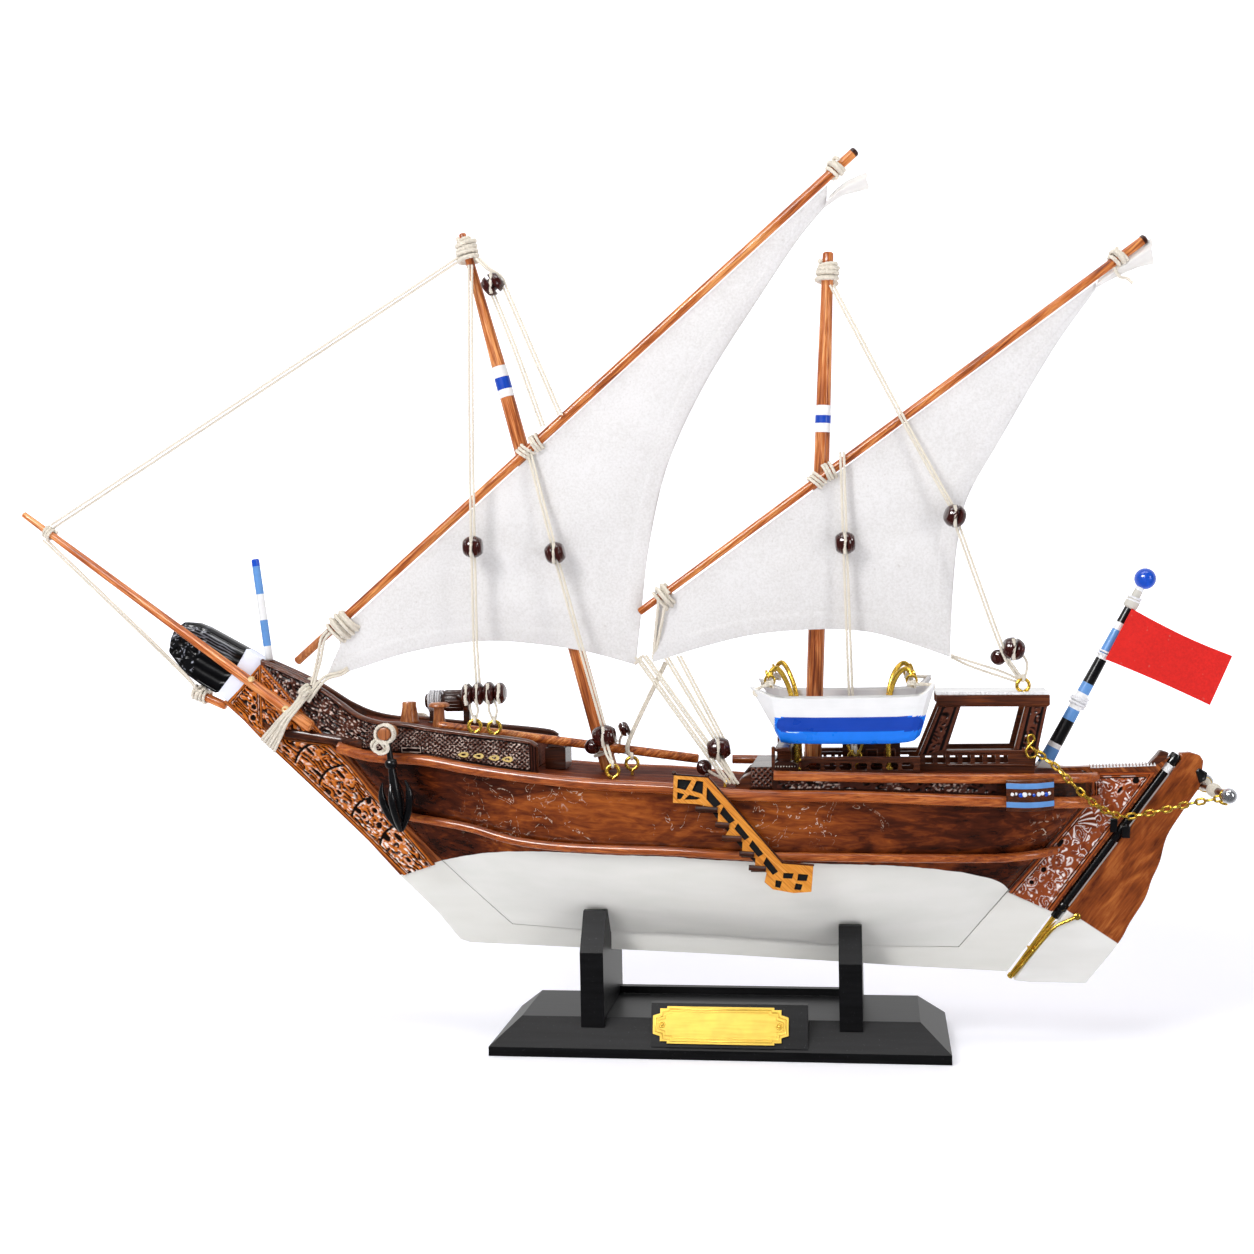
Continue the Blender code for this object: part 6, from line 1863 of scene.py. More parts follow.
def panel_depth(x, z):
    """One inside the sunk side panel, zero outside it."""
    middle, half_long, half_tall = (61.6, 150.0), 32.2, 3.3
    a = max(abs(x - middle[0]) - (half_long - half_tall), 0.0)
    b = abs(z - middle[1])
    return 1 - step_up(math.hypot(a, b), half_tall - 0.5, half_tall + 0.3)


def boat_paint(x, y, z):
    """Finish of the boat's outside: blue in the sunk panel, lighter blue at the bilge, white elsewhere."""
    if panel_depth(x, z + 0.3) > 0.4:
        return 1
    return 2 if z < 153.1 and 28.6 < x < 96.5 else 0


def close_boat(shape, rows, count):
    """Joins the two mirrored halves of a boat along keel, inner floor and ends."""
    half = rows * count
    for i in range(rows - 1):
        a, b = i * count, (i + 1) * count
        shape.face((a, b, half + b, half + a), 2 if 4 < i < rows - 6 else 0)
        c, d = a + count - 1, b + count - 1
        shape.face((c, d, half + d, half + c))
    for start in (0, (rows - 1) * count):
        for j in range(start, start + count - 1):
            shape.face((j, j + 1, half + j + 1, half + j))
        shape.face((start, start + count - 1, half + start + count - 1, half + start))


def make_davits(suffix, side):
    """Brass hooks that carry the boat, with the white cord from each to the boat's ends."""
    shape, ropes = Shape(), Shape()
    lines = (
        ((37.4, 18.6, 129.0), (37.0, 18.8, 150.0), (35.6, 19.6, 162.0), (32.6, 21.8, 170.5),
         (29.6, 24.6, 174.6), (27.2, 27.2, 173.4), (26.6, 28.6, 171.0)),
        ((78.6, 18.6, 129.0), (78.8, 18.8, 150.0), (79.8, 19.6, 162.0), (82.6, 21.8, 170.0),
         (86.2, 24.6, 173.6), (88.6, 27.2, 172.6), (89.2, 28.6, 170.4)))
    thick, thin, taper = 1.15, 0.8, 8  # radii of a hook, and the steps in which its end grows thin
    for line, end, (tip_x, tip_z) in zip(lines, (-1, 1), ((19.9, 164.6), (98.3, 166.4))):
        path = curve_points(mirrored(line, side), 6)
        radii = [thick] * (len(path) - taper) + [mix(thick, thin, (i + 1) / taper) for i in range(taper)]
        shape.tube(path, radii, 12)
        x, y, z = line[-1]
        shape.ring((x, side * y, z - 1.6), (0.2, 1, 0.1), 2.2, 0.6, rows=22, sides=9)
        shape.ring((x + end * 1.2, side * (y - 1.6), z + 1.0), (1, 0.2, 0.3), 1.7, 0.5, rows=20, sides=8)
        foot_x, foot_y, foot_z = line[0]
        foot = ((0, 2.1), (0.5, 2.2), (1.0, 1.8), (1.4, 1.2))
        shape.turned((foot_x, side * foot_y, foot_z - 0.9), (0, 0, 1), foot, 16)
        for shift in (-0.9, 0.9):
            ropes.rope(curve_points([
                (x, side * y + shift * 0.5, z - 3.4), (mix(x, tip_x, 0.4), side * (BOAT_Y + shift), 167.0),
                (tip_x + end * 0.4, side * BOAT_Y + shift * 2.2, tip_z),
                (tip_x - end * 1.0, side * BOAT_Y + shift * 2.4, tip_z - 2.0)], 5), 0.8)
        ropes.coil((x, side * y, z - 3.0), (0.1, 0.2, 1), 1.5, 2.4, 1.2, 0.7, seed=11)
    cleat_x, cleat_y = 63.8, 18.8
    for reach in (-3.4, 3.4):
        arm = ((cleat_x + reach, cleat_y, 139.6), (cleat_x + reach * 0.6, cleat_y, 136.4),
               (cleat_x, cleat_y, 133.8))
        shape.tube(curve_points(mirrored(arm, side), 5), 0.6, 8)
    shape.make("davit_hooks_" + suffix, ["gold"], "brass", ["davits_" + suffix])
    ropes.make("davit_falls_" + suffix, ["cord"], "rope")


def make_gallows():
    """Posts and flared beams that carry the boats."""
    half = [(24.0, 128.2), (24.0, 134.0), (25.4, 136.6), (30.0, 138.0), (40.0, 138.6), (40.0, 140.5)]
    outline = [(-y, z) for y, z in half] + half[::-1]
    outline += [(17.0, 128.2), (17.0, 137.0), (-17.0, 137.0), (-17.0, 128.2)]
    shape = Shape()
    shape.plate([outline], 29.0, 35.2, "x")
    shape.make("gallows_shaped", ["dark"], "dark_wood", ["boat_gallows"], bevel=0.4)


LADDER_OUTER, LADDER_INNER = -38.2, -36.6


def make_ladder():
    """Side plates of light ply with dark cut edges, dark sheets behind their windows as painted shade, treads
    between them and a railed head.
    """
    outline = [(-16.4, 128.2), (-1.2, 127.0), (31.1, 88.9), (44.9, 87.8), (43.8, 76.2), (36.0, 75.6),
               (26.8, 77.2), (23.2, 80.4), (24.2, 84.6), (19.0, 87.4), (19.4, 91.0), (13.4, 93.6),
               (13.8, 98.4), (5.8, 100.6), (8.2, 104.4), (2.8, 106.6), (3.2, 111.2), (-1.6, 114.2),
               (-6.0, 115.2), (-17.0, 115.8)]
    windows = [
        [(-1.6, 122.9), (4.6, 115.2), (1.6, 113.4), (-2.0, 117.4)],
        [(5.6, 114.2), (10.6, 107.9), (8.0, 106.4), (3.9, 111.0)],
        [(11.9, 106.7), (16.9, 100.4), (14.6, 99.0), (10.3, 104.2)],
        [(18.2, 99.2), (23.0, 93.0), (20.6, 91.6), (16.6, 96.6)],
        [(24.3, 91.6), (29.3, 85.2), (27.0, 83.6), (22.8, 88.8)],
        [(31.6, 84.6), (36.2, 84.4), (35.4, 82.0), (31.4, 82.2)],
        [(38.2, 84.2), (42.6, 83.8), (41.8, 81.0), (37.6, 81.2)],
        [(28.2, 81.4), (31.0, 80.8), (30.0, 77.8), (27.8, 78.4)],
        [(37.0, 80.0), (40.0, 79.4), (39.2, 76.9), (36.2, 77.2)],
        [(-14.6, 126.4), (-8.4, 125.9), (-11.2, 121.4), (-15.0, 122.4)],
        [(-6.2, 125.7), (-3.2, 125.2), (-3.6, 119.6), (-8.4, 121.2)],
        [(-14.9, 120.6), (-11.8, 119.6), (-13.6, 117.4), (-15.2, 117.4)],
        [(-9.6, 119.4), (-4.4, 117.9), (-6.4, 117.2), (-12.0, 117.2)],
    ]
    shape = Shape()
    outer, inner = LADDER_OUTER, LADDER_INNER
    shape.plate([outline] + windows, outer, outer + 0.65, look=0, rim=1)
    shape.plate([outline] + windows, inner - 0.5, inner, look=0, rim=1)
    # Painted shade: dark sheets behind the windows stand for the shadow inside the ladder.
    shade_backing = [(-1.6, 126.0), (31.0, 88.2), (44.3, 87.2), (43.2, 76.8), (27.2, 77.9), (24.0, 80.8),
              (24.8, 85.0), (19.8, 88.0), (14.2, 94.2), (8.8, 100.9), (3.6, 107.0), (-1.6, 114.4)]
    shape.plate([shade_backing], outer + 0.75, outer + 1.0, look=1)
    head_shade_backing = [(-16.2, 127.2), (-3.0, 126.2), (-3.0, 116.6), (-16.6, 117.0)]
    shape.plate([head_shade_backing], outer + 1.1, outer + 1.3, look=1)
    treads = Shape()
    for (xa, za), (xb, zb) in (((-6.0, 114.2), (3.0, 111.6)), ((2.7, 107.2), (8.0, 104.7)),
                               ((5.6, 101.2), (13.5, 98.7)), ((13.1, 94.3), (18.9, 91.6)),
                               ((17.2, 88.0), (24.0, 85.2))):
        front = [(xa - 0.8, outer - 0.2, mix(za, zb, 0.4)), (xb, outer - 0.2, mix(za, zb, 0.6))]
        treads.tube(curve_points(front, 4), 1.25, 14)
        treads.box((xa, outer + 0.6, zb - 0.4), (xb, inner - 0.5, zb + 0.6))
    middle = (outer + inner) / 2
    rail = [(-16.6, 128.4), (-1.0, 127.2), (31.3, 89.0), (45.2, 87.9)]
    treads.sweep([(x, middle, z) for x, z in rail], ((-0.9, -0.3), (0.9, -0.3), (0.9, 0.35), (-0.9, 0.35)))
    knob = ((0, 0.5), (0.4, 1.0), (0.9, 1.15), (1.4, 0.9), (1.8, 0.3))
    for x, z in ((-16.4, 128.9), (-1.4, 127.9)):
        treads.turned((x, middle, z - 0.8), (0, 0, 1), knob, 14)
    shape.make("ladder_sides", ["ply", "burnt_and_shade"], "plywood", ["ladder"], angle=20)
    treads.make("ladder_treads", ["dark"], "dark_wood")


SAILS = {
    "main_sail": {
        "yard": MAIN_YARD, "under": 2.7, "head": (-176.0, 54.0), "billow": 3.0, "clew": 7,
        "edge": ((-187.0, 171.6), (-171.3, 175.9), (-149, 182.6), (-126, 186.8), (-105.7, 188.2),
                 (-85.6, 186.6), (-61.4, 182.8), (-37.1, 176.1), (-34.2, 197.9), (-29.9, 230.2),
                 (-20.2, 268.8), (-1.4, 306.8), (24.1, 345.0), (41.8, 370.0), (54.6, 384.6)),
        "cut": (0.333, 0.097, 0.0142)},
    "mizzen_sail": {
        "yard": MIZZEN_YARD, "under": 2.5, "head": (-27.0, 172.0), "billow": 2.6, "clew": 7,
        "edge": ((-28.6, 177.3), (-2.4, 184.8), (19, 189.4), (40.1, 191.1), (55.5, 191.2), (71.3, 189.6),
                 (86.5, 185.2), (107.0, 177.8), (108.6, 205.0), (111.3, 230.2), (116.0, 249.9),
                 (130.5, 275.0), (154.2, 314.3), (173.6, 341.0)),
        "cut": (0.279, 0.086, 0.0105)},
}
HEM, SAIL_SWING = 7.5, 2.6  # width of the hem, and how far the free edge hangs off the yard's plane
HEM_FOLD = 0.012  # share of a cloth's drop in which the hem's fold rises
CLOTH, HEM_CLOTH, EDGE_CLOTH = 0.26, 0.50, 0.36  # half thickness of the cloth, its hem and the hem's edge
SAIL_COLUMNS, SAIL_ROWS, HEM_ROWS = 120, 34, 5


def sail_surface(sail):
    """Function that gives the sail's point at a share along yard and edge, and a drop from yard to edge."""
    start, end, _ = sail["yard"]
    along = Vector((end[0] - start[0], 0, end[2] - start[2])).normalized()
    under = Vector((along.z, 0, -along.x)) * sail["under"]
    edge, clew = sail["edge"], sail["clew"]
    foot = [(p.x, p.z) for p in curve_points([(x, 0, z) for x, z in edge[:clew + 1]], 10)]
    leech = [(p.x, p.z) for p in curve_points([(x, 0, z) for x, z in edge[clew:]], 10)]
    share_clew = line_length(foot) / (line_length(foot) + line_length(leech))

    def at(share, drop):
        x = mix(*sail["head"], share)
        way = (x - start[0]) / (end[0] - start[0])
        y, z = mix(start[1], end[1], way), mix(start[2], end[2], way)
        if share <= share_clew:
            low = line_at(foot, share / share_clew)
        else:
            low = line_at(leech, (share - share_clew) / (1 - share_clew))
        belly = sail["billow"] * math.sin(math.pi * share) * math.sin(math.pi * drop * 0.8)
        swing = SAIL_SWING * drop * min(share * 2, 1)
        px, pz = mix(x + under.x, low[0], drop), mix(z + under.z, low[1], drop)
        calm = math.sin(math.pi * min(drop * 0.9 + 0.02, 1)) * min(1, 6 * share, 6 * (1 - share))
        wave = 1.1 * noise.noise((px / 38, 4.0, pz / 26)) + 0.3 * cloud(px, pz, 14, 9.0)
        return Vector((px, y - belly + swing + wave * calm, pz))
    return at, share_clew


def sail_columns(share_clew):
    """Shares along yard and edge, so that one of them meets the clew."""
    fore = round(SAIL_COLUMNS * share_clew)
    aft = SAIL_COLUMNS - fore
    foot = [share_clew * i / fore for i in range(fore)]
    return foot + [mix(share_clew, 1.0, i / aft) for i in range(aft + 1)]


def sail_drops(at, share):
    """Drops from yard to edge with half a thickness at each; the hem is as wide all along the edge."""
    beside = at(min(share + 0.004, 1.0), 1.0) - at(max(share - 0.004, 0.0), 1.0)
    down = at(share, 1.0) - at(share, 0.0)
    tall = max(down.length, 0.5)
    slant = max(down.cross(beside).length / (tall * max(beside.length, 1e-6)), 0.45)
    hem = min(HEM / slant / tall, 0.4)
    drops = [((1 - hem) * k / SAIL_ROWS, CLOTH) for k in range(SAIL_ROWS + 1)]
    drops += [(mix(1 - hem + HEM_FOLD, 1.0, k / HEM_ROWS), HEM_CLOTH) for k in range(HEM_ROWS)]
    return drops + [(1.0, EDGE_CLOTH)]


def make_sails():
    """Both sails with their hems, the patch at each clew and the gathered end at each peak."""
    for name, sail in SAILS.items():
        at, share_clew = sail_surface(sail)
        front, back = [], []
        for share in sail_columns(share_clew):
            for drop, thick in sail_drops(at, share):
                spot = at(share, drop)
                front.append(spot - Vector((0, thick, 0)))
                back.append(spot + Vector((0, thick, 0)))
        shape = Shape()
        shape.add(front + back, two_skins(SAIL_COLUMNS, SAIL_ROWS + HEM_ROWS + 1))
        cloth = shape.make(name + "_cloth", ["canvas"], "sailcloth", [name], angle=70)
        patch = make_clew_patch(name, at, share_clew)
        width, length, area = sail["cut"]
        make_peak(name)


def make_clew_patch(name, at, share_clew):
    """Doubling sewn over the corner of the sail."""
    clew = at(share_clew, 1.0)
    reach, steps = 15.0, 8
    lift = Vector((0, 0.75, 0))
    fore = at(share_clew * 0.9, 1.0) - clew
    aft = at(mix(share_clew, 1.0, 0.08), 1.0) - clew
    fore, aft = fore.normalized() * reach * 1.1, aft.normalized() * reach
    shape = Shape()
    rings = []
    for i in range(steps + 1):
        share = i / steps
        out = fore.lerp(aft, share)
        inner = clew + (fore + aft).normalized() * 0.6
        outer = clew + out * (0.96 + 0.03 * math.cos(math.tau * share))
        rings.append([inner - lift, outer - lift, outer + lift, inner + lift])
    shape.loft(rings)
    return shape.make(name + "_patch", ["canvas"], "sailcloth", angle=60)


# Gathered corner of each sail beyond its tie: upper edge, lower edge and depth, from the tie outwards
PEAKS = {
    "main_sail": (((56.4, 388.6), (62.6, 393.8), (68.4, 396.6), (73.0, 398.2)),
                  ((53.6, 383.0), (62.0, 388.0), (68.4, 389.4), (74.0, 390.6)), -6.2),
    "mizzen_sail": (((174.6, 345.4), (182.4, 351.6), (190.4, 357.4), (197.4, 362.4)),
                    ((172.8, 341.0), (183.0, 346.0), (191.4, 349.4), (198.2, 350.8)), -6.8),
}


def make_peak(name):
    """Folded cloth that flares out from the tie at the yard's end."""
    upper, lower, y = PEAKS[name]
    above = curve_points([(x, y, z) for x, z in upper], 8)
    below = curve_points([(x, y, z) for x, z in lower], 8)
    shape = Shape()
    across, rings = 40, []
    for i, (a, b) in enumerate(zip(above, below)):
        run = i / (len(above) - 1)
        front, back = [], []
        for k in range(across + 1):
            v = k / across
            fold = math.sin(v * math.tau * 1.25 + run * 1.6) * min(0.11 * (b - a).length, 0.95)
            ease = 1.0 + 0.16 * math.sin(v * math.tau * 1.5) * run
            spot = a.lerp(b, v) + (b - a).cross(Vector((0, 1, 0))).normalized() * 0.7 * (ease - 1.0) * 4.0
            front.append(spot + Vector((0, fold - 0.3, 0)))
            back.append(spot + Vector((0, fold + 0.3, 0)))
        rings.append(front + back[::-1])
    shape.loft(rings)
    return shape.make(name + "_peak", ["gathered"], "sailcloth", angle=60)


def make_flag():
    """Plain flag with a doubled border, and the two ties that hold it to its staff."""
    corners = [Vector((x, -3.4, z))
               for x, z in ((187.6, 198.2), (230.6, 176.4), (220.6, 154.6), (175.8, 175.6))]
    columns, rows, thick, border = 64, 32, 0.2, 0.14
    front, back = [], []
    for i in range(columns + 1):
        for j in range(rows + 1):
            u, v = i / columns, j / rows
            spot = corners[0].lerp(corners[1], u).lerp(corners[3].lerp(corners[2], u), v)
            wave = math.sin(u * 6.2 + v * 1.1) * 1.3 * min(1, u * 3)
            sag = -1.2 * math.sin(math.pi * u) * (1 - v) + 0.5 * math.sin(math.pi * u) * v
            spot += Vector((0, -wave * 0.6, sag))
            doubling = border if u > 0.965 or u < 0.05 or v < 0.06 or v > 0.94 else 0.0
            front.append(spot - Vector((0, thick + doubling, 0)))
            back.append(spot + Vector((0, thick + doubling, 0)))
    shape = Shape()
    shape.add(front + back, two_skins(columns, rows))
    cloth = shape.make("flag_cloth_sheet", ["flag"], "flag_cloth", ["flag"], angle=70)
    ties = Shape()
    for at in (85.0, 57.6):
        spot = staff_at(at)
        ties.coil(spot, STAFF_WAY, 2.9, 2.2, 1.2, 0.5, seed=3)
        ties.rope([spot + Vector((2.0, -2.2, 0.2)), spot + Vector((3.4, -3.3, -0.2))], 0.5)
    ties.make("flag_ties", ["white_cord"], "rope")


STAFF_FOOT, STAFF_HEAD = Vector((148.3, 0, 127.5)), Vector((191.4, 0, 206.6))
STAFF_WAY = (STAFF_HEAD - STAFF_FOOT).normalized()


def staff_at(distance):
    """Place at a distance along the flagstaff."""
    return STAFF_FOOT + STAFF_WAY * distance


def make_staffs():
    """Flagstaff and jackstaff with their painted bands, from foot to head."""
    bands = ((0, 9.5, 3), (9.5, 11.8, 1), (11.8, 23.6, 2), (23.6, 29.2, 3), (29.2, 37.4, 1),
             (37.4, 42.4, 3), (42.4, 54.8, 2), (54.8, 57.3, 1), (57.3, 69.6, 3), (69.6, 73.2, 1),
             (73.2, 81.0, 2), (81.0, 86.0, 5), (86.0, 89.6, 5))
    staff = Shape()
    staff.banded(STAFF_FOOT, staff_at(91.6), (3.3, 1.95), bands, proud=0.0)
    collar = ((0, 2.1), (0.5, 3.0), (1.4, 3.25), (3.9, 3.2), (4.8, 2.9), (5.4, 2.0))
    staff.turned(staff_at(80.6), STAFF_WAY, collar, 24, 5)
    size = 4.8
    top = [(4.6 - size * math.cos(t), max(size * math.sin(t), 0.05))
           for t in (math.pi * (0.1 + 0.9 * k / 16) for k in range(17))]
    staff.turned(staff_at(91.0), STAFF_WAY, top, 28, 4)
    staff.make("flagstaff_banded", ["white", "white", "gloss_black", "light_blue", "ball_blue", "knob"],
               "white_paint", ["flagstaff"])
    knot = Shape()
    knot.coil(staff_at(33.4), STAFF_WAY, 3.3, 3.3, 1.5, 0.75, seed=9)
    knot.make("flagstaff_knot", ["white_cord"], "rope")
    chock = Shape()
    foot = [(144.6, 127.0), (153.0, 126.7), (152.0, 130.4), (147.2, 130.8)]
    chock.plate([foot], -5.2, -3.9)
    chock.plate([foot], 3.9, 5.2)
    chock.make("flagstaff_chocks", ["white"], "white_paint", bevel=0.3)

    jack = Shape()
    bands = ((0, 7.0, 1), (7.0, 19.7, 2), (19.7, 32.4, 1), (32.4, 46.0, 2), (46.0, 49.6, 3))
    jack.banded((-217.1, 0, 180.3), (-223.0, 0, 229.5), (1.95, 1.9), bands, proud=0.02)
    jack.make("jackstaff_banded", ["white", "white", "light_blue", "ball_blue"], "white_paint", ["jackstaff"])


def make_spars():
    """Masts with painted tape, yards with dark ends, bowsprit, bumpkin and the bowsprit's pins."""
    tape, dark_end = 0.22, 2.0  # thickness of the tape, and length of the dark end of a yard
    for node, (start, end, _), radii, look, bands, proud in (
            ("main_mast", MAIN_MAST, (4.0, 3.9, 3.75, 3.35, 1.7), "mast",
             ((182.4, 186.2, 1), (186.2, 192.0, 2), (192.0, 197.4, 1)), tape),
            ("mizzen_mast", MIZZEN_MAST, (4.0, 3.9, 3.7, 3.3, 2.5), "mizzen",
             ((153.4, 157.6, 1), (157.6, 161.2, 2), (161.2, 165.8, 1)), tape),
            ("main_yard", MAIN_YARD, (2.0, 2.3, 2.2), "yard", ((0.0, 24.0, 3),), 0.0),
            ("mizzen_yard", MIZZEN_YARD, (1.7, 2.15, 2.05), "yard", (), tape),
            ("bowsprit", BOWSPRIT, (2.9, 2.4, 2.2, 2.0, 1.5), "sprit", (), 0.0),
            ("bumpkin", BUMPKIN, (2.0, 2.1, 1.9), "sprit", (), 0.0)):
        name = node + "_round"
        shape = Shape()
        reach = (Vector(end) - Vector(start)).length
        if look == "yard":
            bands += ((reach - dark_end, reach, 4),)
        shape.banded(start, end, radii, bands, seed=len(name), proud=proud)
        shape.make(name, [look, "white", "blue", "turning", "dark"], "spar_wood", [node])
    pins = Shape()
    for x, z, size, long in ((-222.7, 171.8, 1.35, 3.0), (-206.1, 157.2, 1.9, 1.9)):
        pin = ((0, size), (long - 0.5, size), (long, size * 0.8), (long - 0.1, size * 0.3),
               (long - 0.45, size * 0.12))
        pins.turned((x, -8.9, z), (0, -1, 0), pin, 18)
    pins.make("bowsprit_pins", ["dowel_end"], "spar_wood", angle=50)


SMALL_BEAD = 7.0  # a bead no wider than this is small, and has no cord laid in its groove


def bead(shape, centre, axis, width, size):
    """Turned bead, nearly round, with a deep groove for the cord and a fainter one at each side."""
    along = Vector(axis).normalized()
    profile = [(0.0, size * 0.34), (0.25, size * 0.50)]
    for k in range(1, 36):
        t = k / 36
        side = size * math.sqrt(1 - 0.70 * (2 * t - 1) ** 2)
        if abs(t - 0.5) < 0.07:
            side *= 0.62
        elif abs(t - 0.2) < 0.02 or abs(t - 0.8) < 0.02:
            side *= 0.94
        profile.append((t * width, side))
    profile += [(width - 0.25, size * 0.50), (width, size * 0.34)]
    shape.turned(Vector(centre) - along * width / 2, along, profile, 26)


def screw_eye(shape, centre, floor):
    """Brass ring on a threaded shank."""
    x, y, z = centre
    ring, wire, twist = 2.8, 0.82, 0.2
    points = []
    for k in range(27):
        t = math.radians(-78 + 336 * k / 26)
        out = ring * math.cos(t)
        points.append((x + out * math.cos(twist), y + out * math.sin(twist), z + ring * math.sin(t)))
    shape.tube([(x, y, z - ring - 1.2)] + points, wire, 10)
    length = max(z - ring - floor + 0.4, 0.8)
    turns = int(length / 0.45)
    profile = [(length * k / turns, 0.78 if k % 2 else 0.62) for k in range(turns + 1)]
    shape.turned((x, y, floor - 0.2), (0, 0, 1), profile, 12)


def doubled(shape, points):
    """Two cords side by side."""
    for shift in (-0.8, 0.8):
        shape.rope(curve_points([(x + shift, y, z) for x, y, z in points], 6))


